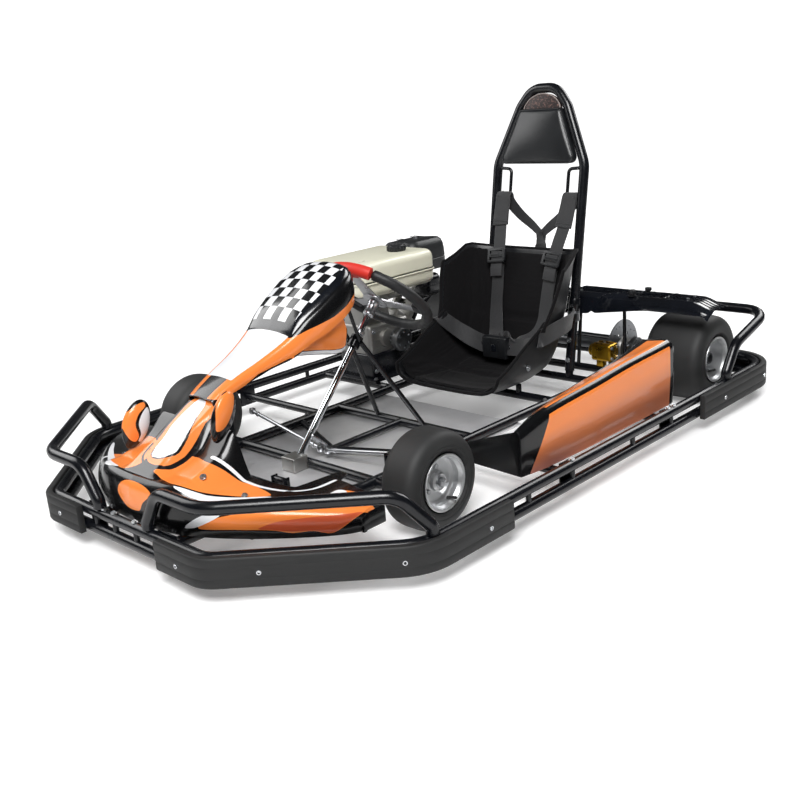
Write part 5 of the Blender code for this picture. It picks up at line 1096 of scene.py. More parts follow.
class KART_OT_nose(bpy.types.Operator):
    """Nose fairing: one crowned skin across the kart with two upright lobes, its printed fields and a field of painted
    shade
    """
    bl_idname = "kart.nose"
    bl_label = "Nose fairing"

    def execute(self, context):
        skin = Skin(self.rows())
        self.print_fields(skin)
        ob = moulded(skin.ob, SKIN_WALL, 1.0, 0.0012)
        lobes = [self.lobe(s, y, z) for s, y, z in ((-1, -0.832, 0.275), (1, -0.766, 0.322))]
        done(joined([ob] + lobes), "nose_skin", "printed_body_plastic", "chassis", "nose_fairing", smooth=35)
        spots = [(Vector((0.162, -0.857, 0.2095)), Vector((0.35, -0.5, 0.8)))]
        spots += [(Vector((s * 0.250, -0.8125, nose_top(0.25, -0.8125) + 0.0005)), Vector((0, 0, 1)))
                  for s in (-1, 1)]
        bolts("nose_screws", spots, 0.006, 0.005, "chassis", "socket")
        return {"FINISHED"}

    def rows(self):
        rows = []
        for x in np.linspace(-0.49, 0.49, 281):
            a, x = abs(float(x)), float(x)
            front = nose_front(a)
            first, last = front + 0.018, nose_rear(a)
            top = nose_top(a, first) - 0.092
            ys = [first + (last - first) * k / 54 for k in range(55)]
            face = [(x, front + 0.004, 0.092), (x, front - 0.005, 0.092 + 0.35 * top),
                    (x, front + 0.001, 0.092 + 0.8 * top), (x, first, nose_top(a, first)),
                    (x, ys[4], nose_top(a, ys[4]))]
            row = curved(face, False, 7)[:-8]
            rows.append(row + [Vector((x, y, nose_top(a, y))) for y in ys])
        # the skin turns down at both ends
        for row in (rows[0], rows[-1]):
            turned = [[Vector((math.copysign(0.4925, p.x), p.y, 0.092 + (p.z - 0.092) * share)) for p in row]
                      for share in (0.0, 0.36, 0.72)]
            rows = turned + rows if row[0].x < 0 else rows + turned[::-1]
        return rows

    def print_fields(self, skin):
        flow = skin.inside
        spine = [(-0.007, -0.879, 0.237), (-0.013, -0.863, 0.246), (-0.016, -0.833, 0.264), (-0.027, -0.789, 0.289),
                 (-0.019, -0.721, 0.328), (0.017, -0.726, 0.325), (0.031, -0.767, 0.302), (0.048, -0.808, 0.277),
                 (0.056, -0.838, 0.252), (0.056, -0.855, 0.242), (0.047, -0.874, 0.239), (0.021, -0.882, 0.235)]
        outline = [(-0.036, -0.855, 0.248), (-0.030, -0.885, 0.232), (0.000, -0.905, 0.220), (0.045, -0.901, 0.222),
                   (0.066, -0.884, 0.222), (0.074, -0.850, 0.226), (0.073, -0.820, 0.236), (0.070, -0.790, 0.258),
                   (0.066, -0.760, 0.286)]
        patch_line = [(-0.120, -0.795, 0.240), (-0.032, -0.841, 0.258)]
        spine_edge = flow([(-0.025, -0.875, 0.238), (-0.030, -0.833, 0.262), (-0.040, -0.789, 0.285),
                           (-0.032, -0.720, 0.322), (0.052, -0.722, 0.318), (0.061, -0.764, 0.289),
                           (0.064, -0.795, 0.261), (0.067, -0.826, 0.238), (0.066, -0.860, 0.225),
                           (0.049, -0.893, 0.227), (0.005, -0.898, 0.225)])
        patch = flow([(-0.121, -0.800, 0.236), (-0.029, -0.846, 0.256), (-0.033, -0.868, 0.243),
                      (-0.015, -0.893, 0.228), (-0.024, -0.911, 0.217), (-0.058, -0.926, 0.207),
                      (-0.109, -0.924, 0.205),
                      (-0.200, -0.880, 0.182), (-0.292, -0.832, 0.164), (-0.200, -0.805, 0.190)])
        patch_end = flow([(-0.385, -0.772, 0.158), (-0.366, -0.775, 0.159), (-0.281, -0.828, 0.165),
                          (-0.190, -0.876, 0.184), (-0.096, -0.922, 0.205), (-0.109, -0.930, 0.203),
                          (-0.200, -0.892, 0.180), (-0.296, -0.836, 0.164)])
        oval = flow([(-0.054, -0.955, 0.163), (-0.043, -0.952, 0.182), (-0.012, -0.947, 0.195), (0.034, -0.947, 0.194),
                     (0.072, -0.949, 0.185), (0.081, -0.951, 0.177), (0.053, -0.956, 0.152), (0.034, -0.958, 0.130),
                     (-0.011, -0.959, 0.129), (-0.040, -0.958, 0.144)])
        wing = flow([(0.047, -0.912, 0.216), (0.056, -0.892, 0.227), (0.074, -0.850, 0.231), (0.082, -0.818, 0.228),
                     (0.150, -0.818, 0.224), (0.181, -0.794, 0.196), (0.232, -0.765, 0.171), (0.290, -0.771, 0.164),
                     (0.273, -0.799, 0.166), (0.236, -0.831, 0.170), (0.200, -0.862, 0.178), (0.175, -0.892, 0.192),
                     (0.131, -0.917, 0.205), (0.068, -0.913, 0.208)])
        band = flow([(0.141, -0.922, 0.205), (0.179, -0.895, 0.189), (0.207, -0.868, 0.177), (0.241, -0.835, 0.169),
                     (0.297, -0.777, 0.164), (0.294, -0.816, 0.164), (0.251, -0.863, 0.168), (0.224, -0.891, 0.172),
                     (0.191, -0.905, 0.180), (0.167, -0.920, 0.193)])
        edge = [(0.128, -0.803, 0.234), (0.192, -0.774, 0.183), (0.249, -0.758, 0.168), (0.306, -0.732, 0.163),
                (0.340, -0.686, 0.161), (0.343, -0.621, 0.161)]
        tip = flow([(0.398, -0.645, 0.156), (0.430, -0.628, 0.152), (0.470, -0.625, 0.149), (0.478, -0.655, 0.147),
                    (0.440, -0.676, 0.154), (0.413, -0.654, 0.154)])
        tip_pale = flow([(0.387, -0.685, 0.157), (0.384, -0.657, 0.158), (0.398, -0.643, 0.156),
                         (0.415, -0.654, 0.154), (0.406, -0.676, 0.156)])
        low = flow([(0.231, -0.907, 0.134), (0.277, -0.875, 0.151), (0.346, -0.818, 0.157), (0.402, -0.762, 0.156),
                    (0.448, -0.699, 0.149), (0.486, -0.650, 0.142), (0.487, -0.660, 0.120), (0.455, -0.733, 0.102),
                    (0.424, -0.768, 0.110), (0.388, -0.799, 0.108), (0.352, -0.830, 0.115), (0.285, -0.876, 0.119),
                    (0.209, -0.918, 0.117)])
        # painted shade: the lower outer part of the front band is darker red-orange where it turns under
        deep = flow([(0.327, -0.849, 0.118), (0.359, -0.822, 0.135), (0.401, -0.785, 0.140), (0.446, -0.741, 0.139),
                     (0.480, -0.670, 0.130), (0.456, -0.734, 0.101), (0.425, -0.768, 0.111), (0.388, -0.799, 0.109),
                     (0.352, -0.829, 0.116)])
        low_pale = flow([(0.174, -0.932, 0.116), (0.203, -0.920, 0.141), (0.231, -0.904, 0.150),
                         (0.257, -0.889, 0.149), (0.210, -0.918, 0.123)])
        far = skin.near([(-0.285, -0.846, 0.166), (-0.286, -0.862, 0.130), (-0.288, -0.862, 0.100)], 0.005)
        skin.print_on(field_body=[spine_edge, patch, oval, wing, tip, low],
                      field_deep=[np.minimum(deep, low - 0.001)],
                      field_stripe=[flow(spine), patch_end, band, tip_pale, low_pale, far, skin.near(edge, 0.0042)],
                      field_ground=[skin.near(spine[6:] + spine[:2], 0.0022),
                                    skin.near(outline, 0.0036), skin.near(patch_line, 0.0030),
                                    np.abs(skin.places[:, 0]) - 0.4915])

    def lobe(self, s, y, z):
        """A rounded upright lobe, drawn in a little at its foot."""
        put_down()
        bpy.ops.mesh.primitive_uv_sphere_add(segments=72, ring_count=56, radius=1)
        ob = bpy.context.object
        turn = Quaternion((1, 0, 0), math.radians(-27)) @ Quaternion((0, 0, 1), math.radians(12 * s))
        for v in ob.data.vertices:
            waist = 1 - 0.16 * step(0.0, 1.0, -v.co.z)
            v.co = turn @ Vector((v.co.x * 0.0175 * waist, v.co.y * 0.0345 * waist, v.co.z * 0.0625))
        settle(ob, Matrix.Translation((s * 0.138, y, z)))
        flat = [(v.co.y, v.co.z) for v in ob.data.vertices]
        if s > 0:
            body = depth_inside(flat, curved([(-0.798, 0.304), (-0.790, 0.296), (-0.772, 0.303), (-0.752, 0.325),
                                              (-0.736, 0.352), (-0.730, 0.372), (-0.742, 0.380), (-0.768, 0.372),
                                              (-0.790, 0.346)]))
            mark_fields(ob, field_body=body)
        else:
            body = depth_inside(flat, curved([(-0.808, 0.326), (-0.830, 0.322), (-0.856, 0.304), (-0.868, 0.276),
                                              (-0.862, 0.248), (-0.848, 0.236), (-0.838, 0.248), (-0.842, 0.278),
                                              (-0.828, 0.302), (-0.806, 0.316)]))
            pale = depth_inside(flat, curved([(-0.800, 0.312), (-0.820, 0.301), (-0.834, 0.278), (-0.832, 0.252),
                                              (-0.840, 0.236), (-0.828, 0.232), (-0.812, 0.250), (-0.800, 0.282)]))
            mark_fields(ob, field_body=body, field_stripe=pale)
        return ob


class KART_OT_fairing(bpy.types.Operator):
    """Steering fairing: the crowned skin, its raised gloss cowl and the checkered field"""
    bl_idname = "kart.fairing"
    bl_label = "Steering fairing"

    def execute(self, context):
        skin = Skin(self.rows(-0.728, -0.260, 96))
        a = skin.places
        along = a[:, 1]
        half = np.array([panel_at(y)[0] for y in along])
        share = a[:, 0] / half
        z = a[:, 2]
        rise = np.interp(along, [-0.70, -0.64, -0.60, -0.505, -0.46, -0.38, -0.32, -0.26],
                         [0.335, 0.352, 0.374, 0.398, 0.415, 0.446, 0.468, 0.500])
        side = np.interp(along, [-0.70, -0.64, -0.50, -0.46, -0.38, -0.26],
                         [0.354, 0.382, 0.434, 0.450, 0.472, 0.528])
        body = np.minimum(np.minimum(z - rise, side + 0.006 - z), np.abs(share) * 0.05 - 0.030)
        pale = np.minimum(np.minimum(-0.498 - along, 0.86 - np.abs(share)) * 0.1, along + 0.664)
        lower = np.minimum(rise - 0.012 - z, -0.33 - along)
        lower_pale = np.minimum(rise - 0.034 - z, -0.36 - along)
        skin.print_on(field_body=[body, np.minimum(lower, z - rise + 0.040), 0.0035 - np.abs(along + 0.5045)],
                      field_stripe=[pale, np.minimum(lower_pale, 0.02 + z - rise + 0.034)])
        ob = moulded(skin.ob, SKIN_WALL, 1.0, 0.0012)
        done(ob, "fairing_skin", "printed_body_plastic", "chassis", "steering_fairing", smooth=35)
        self.cowl(context.scene.kart_sizes.square)
        self.side_panel()
        spots = [(Vector((s * 0.100, -0.290, 0.545)), Vector((s * 0.9, 0.1, 0.5))) for s in (-1, 1)]
        bolts("fairing_screws", spots, 0.005, 0.005, "chassis", "socket")
        return {"FINISHED"}

    def rows(self, first, last, count):
        """Sections across the panel, from its right lip over the top to its left lip."""
        full = [(-u, d) for u, d in PANEL_SECTION[:0:-1]] + list(PANEL_SECTION)
        section = curved([(u, d, 0) for u, d in full], False, 7)
        rows = []
        for k in range(count + 1):
            y = first + (last - first) * k / count
            half, top, lip = panel_at(y)
            rows.append([Vector((p.x * half, y, top - p.y * lip)) for p in section])
        return rows

    def side_panel(self):
        """The printed panel that hangs under the lip on the driver's left."""
        rows = []
        for k in range(61):
            y = -0.500 + 0.172 * k / 60
            top = flowing(y, [(-0.500, 0.408), (-0.420, 0.444), (-0.345, 0.464), (-0.328, 0.430)])
            low = flowing(y, [(-0.500, 0.394), (-0.430, 0.384), (-0.345, 0.370), (-0.328, 0.374)])
            x = panel_at(y)[0] - 0.010
            rows.append([Vector((x - 0.016 * t * t, y, top + (low - top) * t)) for t in (j / 20 for j in range(21))])
        skin = Skin(rows)
        a = skin.places
        low = np.array([flowing(y, [(-0.500, 0.394), (-0.430, 0.384), (-0.345, 0.370), (-0.328, 0.374)])
                        for y in a[:, 1]])
        up = a[:, 2] - low
        skin.print_on(field_body=[np.minimum(up - 0.013, -0.331 - a[:, 1])],
                      field_stripe=[np.minimum(0.011 - up, up - 0.002)])
        done(moulded(skin.ob, 0.003, 0.0), "fairing_side_panel", "printed_body_plastic", "chassis", smooth=35)

    def cowl(self, square):
        """The raised bubble on top of the fairing, domed and rolled under at its edge."""
        count, across = 56, 64
        rows = []
        for k in range(count + 1):
            t = k / count
            y = -0.497 + 0.236 * t
            half, top, lip = panel_at(y)
            row = []
            for j in range(across + 1):
                u = -1 + 2 * j / across
                share = 0.93 * u
                base = top - flowing(abs(share), PANEL_SECTION[:4]) * lip
                rim = min(1 - abs(u), 1.3 * t, 1.3 * (1 - t))
                dome = 0.0115 * min(1.0, rim / 0.16) ** 0.5
                row.append(Vector((share * half, y, base + dome - 0.001)))
            rows.append(row)
        ob = sheet_of(rows)
        flat = np.array([(v.co.x, v.co.y) for v in ob.data.vertices])
        half = np.array([panel_at(y)[0] for _, y in flat])
        ends = np.minimum(flat[:, 1] + 0.478, -0.283 - flat[:, 1])
        inset = np.minimum(half * 0.80 - np.abs(flat[:, 0] + 0.004), ends)
        mark(ob, "checkered", inset)
        uv = ob.data.uv_layers.active.data
        for loop in ob.data.loops:
            co = ob.data.vertices[loop.vertex_index].co
            uv[loop.index].uv = (co.x / square + 0.35, (co.y + 0.478) / square)
        done(moulded(ob, 0.0025, 1.0), "fairing_cowl", "checkered_gloss_abs", "chassis", smooth=50)


class KART_OT_pod(bpy.types.Operator):
    """Left side pod: one moulding open below, with a crowned top and its printed fields"""
    bl_idname = "kart.pod"
    bl_label = "Side pod"

    def execute(self, context):
        stations = ((-0.225, 0.105, 0.127, 0.205, 0.192), (-0.12, 0.091, 0.152, 0.236, 0.205),
                    (0.10, 0.085, 0.175, 0.254, 0.222), (0.28, 0.085, 0.185, 0.267, 0.232),
                    (0.460, 0.087, 0.187, 0.273, 0.262))
        tables = [[(row[0], row[k]) for row in stations] for k in (1, 2, 3, 4)]
        rows = []
        ys = [-0.225 + 0.685 * k / 130 for k in range(131)]
        for y in ys:
            outer_in, inner_in, top, inside = (flowing(y, table) for table in tables)
            outer, inner = HALF_WIDTH - outer_in, HALF_WIDTH - inner_in
            corner = [(outer - 0.004, y, 0.0862), (outer, y, 0.5 * (0.0862 + top)), (outer - 0.001, y, top - 0.016),
                      (outer - 0.014, y, top), (inner, y, inside), (inner - 0.004, y, inside - 0.03)]
            line = rounded(corner, [0, 0.2, 0.05, 0.016, 0.02, 0], 6)
            rows.append(paced(line, [k / 64 for k in range(65)]))
        tip = [Vector((0.362, -0.190, 0.076 + 0.42 * (p.z - 0.0862))) for p in rows[0]]
        front = (1.0, 0.85, 0.7, 0.55, 0.4, 0.28, 0.18, 0.1, 0.04)
        rows = [[p.lerp(q, t) for p, q in zip(rows[0], tip)] for t in front] + rows
        last = rows[-1]
        for t in (0.006, 0.02, 0.05, 0.10, 0.20, 0.35, 0.55, 0.78, 1.0):
            bow = 0.012 * min(1.0, (t / 0.06)) ** 0.5 if t < 0.06 else 0.012
            rows.append([p.lerp(Vector((0.5 * (p.x + 0.540), 0.460, 0.5 * (p.z + 0.18))), t) + Vector((0, bow, 0))
                         for p in last])
        skin = Skin(rows)
        a = skin.places
        edge = np.array([flowing(y, tables[2]) for y in a[:, 1]])
        outer = HALF_WIDTH - np.array([flowing(y, tables[0]) for y in a[:, 1]])
        arris = 0.0085 - np.hypot(a[:, 0] - outer + 0.006, a[:, 2] - edge + 0.006)
        ahead = np.minimum(a[:, 1] + 0.200 - 0.55 * (a[:, 2] - 0.086), a[:, 0] - 0.53)
        skin.print_on(field_body=[np.minimum(0.449 - a[:, 1], ahead)], field_ground=[arris])
        # the film turns a darker, duller pink towards the foot and the front
        low = np.clip((edge - 0.055 - a[:, 2]) / 0.09, 0, 1)
        front = np.clip((0.02 - a[:, 1]) / 0.22, 0, 1)
        mark(skin.ob, "tint_blend", np.clip(low * 0.7 + low * front * 0.6, 0, 1))
        ob = moulded(skin.ob, SKIN_WALL, -1.0, 0.0012)
        done(ob, "side_pod_skin", "printed_body_plastic", "chassis", "side_pod_left", smooth=35)
        return {"FINISHED"}

class KART_OT_deck(bpy.types.Operator):
    """Rear deck: a folded cover behind the seat with two turned knobs"""
    bl_idname = "kart.deck"
    bl_label = "Rear deck"

    def execute(self, context):
        flange = ((0.090, 0.262), (0.190, 0.270), (0.260, 0.280), (0.420, 0.298), (0.575, 0.298), (0.600, 0.284))
        rows = []
        for k in range(103):
            x = 0.090 + 0.510 * k / 102
            low = flowing(x, flange)
            drop = 0.022 * step(0.520, 0.600, x)
            line = [(x, 0.672, low), (x, 0.683, (low + 0.320 - drop) / 2), (x, 0.694, 0.320 - drop),
                    (x, 0.714, 0.330 - drop)] + [(x, 0.714 + 0.0172 * q, 0.330 - drop) for q in range(1, 6)]
            fold = 0.0016 * math.exp(-((x - 0.430) / 0.005) ** 2)
            row = rounded(line, [0, 0.01, 0.012, 0.010] + [0.01] * 4 + [0], 4)
            # a ridge runs from the foot of the flange back and out to the knob
            rows.append([p + Vector((0, 0, (fold if p.y > 0.714 else 0) + 0.0075 * math.exp(
                -((x - 0.192 - 1.5 * (p.y - 0.672)) / 0.009) ** 2) * step(0.80, 0.73, p.y))) for p in row])
        ob = moulded(sheet_of(rows), 0.002, 1.0, 0.0006)
        done(ob, "rear_deck_cover", "gloss_abs", "chassis", "rear_deck", smooth=50)
        knob = self.knob()
        spots = [Matrix.Translation((0.320, 0.714, 0.330)), Matrix.Translation((0.338, 0.782, 0.330))
                 @ Matrix.Scale(0.82, 4)]
        done(copies(knob, spots), "deck_knobs", "grained_abs", "chassis")
        spots = [(Vector((x, y, 0.330)), Vector((0, 0, 1))) for x, y in ((0.274, 0.742), (0.12, 0.728),
                                                                         (0.50, 0.74), (0.50, 0.785))]
        bolts("deck_screws", spots, 0.005, 0.004, "chassis", "socket")
        return {"FINISHED"}

    def knob(self):
        """A hand knob: a wide washer, a neck and a head with eight finger grooves."""
        base = spun([(0, 0), (0.013, 0), (0.013, 0.002), (0.0075, 0.003), (0.0075, 0.007), (0, 0.007)], 32)
        outline = circle(96, 0.0122, 0.0, 0.0010, 8)
        return joined([base, slab(outline, 0.0068, 0.0195, 0.0022, 3)])


# Seat, hoop and harness

def seat_line(s):
    """The seat's middle line in YZ and its wall height, along s from the front lip to the top."""
    y = flowing(s, [(0, 0.150), (0.12, 0.24), (0.28, 0.36), (0.42, 0.465), (0.55, 0.535), (0.68, 0.575),
                    (0.85, 0.606), (1.0, 0.632)])
    z = flowing(s, [(0, 0.122), (0.12, 0.104), (0.28, 0.098), (0.42, 0.112), (0.55, 0.165), (0.68, 0.262),
                    (0.85, 0.378), (1.0, 0.477)])
    wall = flowing(s, [(0, 0.055), (0.12, 0.115), (0.28, 0.172), (0.42, 0.195), (0.55, 0.192), (0.68, 0.180),
                       (0.85, 0.170), (0.94, 0.160), (1.0, 0.132)])
    return Vector((0, y, z)), wall


def seat_point(s, u):
    """A point of the seat's outer surface, u across it: the wings flare a little and end in round corners."""
    s *= 1 - (0.055 * step(0.945, 1.0, abs(u)) ** 2 + 0.05 * step(0.975, 1.0, abs(u))) * step(0.80, 1.0, s)
    p, wall = seat_line(s)
    ahead, behind = seat_line(min(s + 0.06, 1))[0], seat_line(max(s - 0.06, 0))[0]
    along = (ahead - behind).normalized()
    normal = Vector((0, -along.z, along.y))
    rise = flowing(abs(u), [(0, 0), (0.35, 0.01), (0.70, 0.08), (0.90, 0.32), (0.98, 0.66), (1.0, 1.0)])
    flare = math.copysign(0.038 * rise * step(0.50, 0.92, s), u)
    return p + normal * rise * wall + Vector((u * 0.205 + flare, 0, 0))


def across(t):
    """Where a share of the way across the seat lies: closer together up its walls."""
    return math.copysign(math.sin(abs(t) * math.pi / 2) ** 0.9, t)


class KART_OT_seat(bpy.types.Operator):
    """Bucket seat: the moulded shell and the padded cover, drawn in at its seams"""
    bl_idname = "kart.seat"
    bl_label = "Seat"

    def execute(self, context):
        rows = [[seat_point(i / 60, across(j / 36)) for j in range(-36, 37)] for i in range(61)]
        done(moulded(sheet_of(rows), 0.005, 1.0, 0.0016), "seat_bucket", "grained_abs", "chassis", "seat_shell")
        self.cover(rows)
        self.piping(rows)
        spots = []
        for s in (-1, 1):
            for v, u in ((0.46, 0.985), (0.22, 0.95)):
                p = seat_point(v, s * u)
                spots.append((Vector((p.x + s * 0.0035, p.y, p.z)), Vector((s, 0, 0.05))))
        bolts("seat_bolts", spots, 0.007, 0.006, "chassis", "socket")
        return {"FINISHED"}

    def cover(self, rows):
        """The pad's two faces from the shell's inner side, closed round the edge."""
        normals = []
        for i, row in enumerate(rows):
            up, down = rows[min(i + 1, len(rows) - 1)], rows[max(i - 1, 0)]
            normals.append([(row[min(j + 1, len(row) - 1)] - row[max(j - 1, 0)]).cross(up[j] - down[j]).normalized()
                            for j in range(len(row))])
        inner = [[rows[i][j] + normals[i][j] * 0.0060 for j in range(1, len(rows[0]) - 1)]
                 for i in range(1, len(rows) - 1)]
        ob = moulded(sheet_of(inner), 0.0045, 1.0)
        modify(ob, "REMESH", mode="VOXEL", voxel_size=0.0042)
        self.fill(ob)
        modify(ob, "SUBSURF", levels=1)
        done(ob, "seat_pad", "coated_seat_cloth", "chassis", "seat_cushion", smooth=70)

    def fill(self, ob):
        """Blows the cover up by cloth pressure, held where its seams draw it in."""
        held = []
        for v in ob.data.vertices:
            seam = any(abs(self.lengthwise(v.co) - t) < 0.006 for t in (0.16, 0.30, 0.44))
            held.append(1.0 if seam or abs(v.co.x) > 0.196 else 0.0)
        group = ob.vertex_groups.new(name="seams")
        for v, weight in zip(ob.data.vertices, held):
            if weight:
                group.add([v.index], weight, "REPLACE")
        before = np.empty(len(ob.data.vertices) * 3)
        ob.data.vertices.foreach_get("co", before)
        take(ob)
        bpy.ops.object.modifier_add(type="CLOTH")
        cloth = ob.modifiers[-1]
        cloth.settings.use_pressure = True
        cloth.settings.uniform_pressure_force = 4.0
        cloth.settings.effector_weights.gravity = 0.0
        cloth.settings.vertex_group_mass = "seams"
        cloth.settings.tension_stiffness = cloth.settings.compression_stiffness = 15.0
        cloth.point_cache.frame_start, cloth.point_cache.frame_end = 1, 12
        for number in range(1, 13):
            bpy.context.scene.frame_set(number)
        bpy.ops.object.modifier_apply(modifier=cloth.name)
        bpy.context.scene.frame_set(1)
        after = np.empty_like(before)
        ob.data.vertices.foreach_get("co", after)
        moved = (after - before).reshape(-1, 3)
        size = np.linalg.norm(moved, axis=1, keepdims=True)
        moved *= np.minimum(1.0, 0.005 / np.maximum(size, 1e-9))
        ob.data.vertices.foreach_set("co", (before.reshape(-1, 3) + moved).ravel())
        ob.data.update()

    def lengthwise(self, co):
        return (co.y - 0.15) * 0.72 + max(co.z - 0.10, 0.0) * 0.9

    def piping(self, rows):
        """The bead that binds the cover round the bucket's rim."""
        rim = [row[0] for row in rows] + rows[-1][1:] + [row[-1] for row in rows[-2::-1]] + rows[0][-2:0:-1]
        line = [p + Vector((0, -0.001, 0.0015)) for p in rim[::2]]
        ob = tube(line, 0.0052, True, 10)
        done(ob, "seat_rim_piping", "coated_seat_cloth", "chassis")


class KART_OT_hoop(bpy.types.Operator):
    """Harness hoop with its guide rods and belt bar, the headrest pad and the leather cap"""
    bl_idname = "kart.hoop"
    bl_label = "Hoop"

    def execute(self, context):
        radius = context.scene.kart_sizes.hoop_radius
        points = [Vector((x, hoop_y(z), z)) for x, z in ((HOOP_X, 0.098), (HOOP_X, 0.745), (0.092, 0.925),
                                                         (0.048, 0.980))]
        path = rounded(points + mirrored(points)[::-1], [0, 0.10, 0.09, 0.07, 0.07, 0.09, 0.10, 0], 8)
        pieces = [tube(path, radius, sides=24)]
        for s in (1, -1):
            guide = [(s * HOOP_X, hoop_y(0.734), 0.734), (s * 0.114, hoop_y(0.730), 0.730),
                     (s * 0.114, hoop_y(0.642), 0.642), (s * HOOP_X, hoop_y(0.640), 0.640)]
            pieces.append(tube(rounded(guide, 0.014, 6), 0.0055, sides=12))
            pieces.append(rod((s * HOOP_X, hoop_y(0.286), 0.286), (s * HOOP_X, hoop_y(0.330), 0.330), 0.0185, 0.002))
        done(joined(pieces), "hoop_tubes", "powder_coated_steel", "chassis", "roll_hoop")
        self.pad()
        self.cap()
        spots = [(Vector((s * HOOP_X, hoop_y(z) - 0.0155, z)), Vector((0, -1, 0.17)))
                 for s in (-1, 1) for z in (0.135, 0.20, 0.308)]
        bolts("hoop_bolts", spots, 0.0065, 0.006, "chassis", "socket")
        return {"FINISHED"}

    def stuffed(self, corners, rings, crown, depth, back):
        """A stuffed pad: its outline drawn in at the sides, a crowned face and a flat back."""
        middle = sum((Vector(c) for c in corners), Vector((0, 0))) / len(corners)
        low, high = min(c[1] for c in corners), max(c[1] for c in corners)
        rows = []
        for share, height in rings:
            row = []
            for c in corners + corners[:1]:
                q = middle + (Vector(c) - middle) * share
                up = 2 * (q.y - low) / (high - low) - 1
                wide = max(abs(p[0]) for p in corners) * (1 - 0.24 * (up + 1))
                swell = max(0.0, 1 - up * up) * max(0.0, 1 - (q.x / wide) ** 2)
                row.append(Vector((q.x, back(q.y) - depth * height - crown * swell ** 0.8 * (height > 0.5), q.y)))
            rows.append(row)
        return weld(sheet_of(rows), 0.00003)

    def rim(self, corners, share, back, depth, radius):
        """A bead along the outline of a pad."""
        middle = sum((Vector(c) for c in corners), Vector((0, 0))) / len(corners)
        line = [middle + (Vector(c) - middle) * share for c in corners]
        return tube([Vector((q.x, back(q.y) - depth, q.y)) for q in line], radius, True, 10)

    def pad(self):
        def back(z):
            return hoop_y(z) + 0.004
        corners = self.spread(rounded([(-0.152, 0.748, 0), (0.152, 0.748, 0), (0.080, 0.919, 0), (-0.080, 0.919, 0)],
                                      [0.016, 0.016, 0.012, 0.012], 8, True), 120)
        rings = [(0.88, 0.0), (0.94, 0.0), (0.985, 0.12), (1.0, 0.32), (0.995, 0.60), (0.975, 0.80), (0.945, 0.93),
                 (0.90, 1.0)]
        rings += [(0.86 - 0.04 * k, 1.0) for k in range(21)]
        ob = self.stuffed(corners, rings, 0.014, 0.030, back)
        modify(ob, "SUBSURF", levels=1)
        done(ob, "headrest_cushion", "padded_vinyl", "chassis", "headrest_pad", smooth=70)
        done(self.rim(corners, 0.965, back, 0.0265, 0.0022), "headrest_piping", "padded_vinyl", "chassis")

    def cap(self):
        """The leather piece above the pad: a half-round top, a crowned face and pale piping."""
        def back(z):
            return hoop_y(z) + 0.006
        arc = [(0.074 * math.cos(a), 0.908 + 0.056 * math.sin(a), 0) for a in (math.pi * k / 24 for k in range(25))]
        corners = self.spread([(-0.074, 0.893, 0), (0.074, 0.893, 0)] + arc, 110)
        rings = [(0.90, 0.0), (0.95, 0.0), (0.99, 0.2), (1.0, 0.45), (0.985, 0.75), (0.95, 0.93), (0.90, 1.0)]
        rings += [(0.86 - 0.05 * k, 1.0) for k in range(17)]
        ob = self.stuffed(corners, rings, 0.004, 0.016, back)
        modify(ob, "SUBSURF", levels=1)
        done(ob, "headrest_leather", "marbled_leather", "chassis", "headrest_cap", smooth=70)
        done(self.rim(corners, 0.98, back, 0.0155, 0.0020), "cap_piping", "pale_vinyl", "chassis")

    def spread(self, points, count):
        """The same closed outline as flat points the same distance apart."""
        flat = [Vector((p[0], p[1])) for p in points]
        return paced(flat + flat[:1], [k / count for k in range(count)])


def strap(path, width, thick, side=(1, 0, 0), parts=5, edge=0.0006, end=None):
    """Webbing along a path: flat, with rounded selvedges and its UV map in metres."""
    pts = curved(path, False, parts)
    rows = []
    for i, p in enumerate(pts):
        along = (pts[min(i + 1, len(pts) - 1)] - pts[max(i - 1, 0)]).normalized()
        if isinstance(side, list):
            t = i / (len(pts) - 1) * (len(side) - 1)
            wide = Vector(side[int(t)]).lerp(Vector(side[min(int(t) + 1, len(side) - 1)]), t - int(t))
        else:
            wide = Vector(side)
        wide = (wide - along * wide.dot(along)).normalized()
        broad = width + ((end or width) - width) * i / (len(pts) - 1)
        rows.append([p + wide * broad * (j / 12 - 0.5) for j in range(13)])
    return moulded(sheet_of(rows), thick, 0.0, min(edge, thick * 0.3))


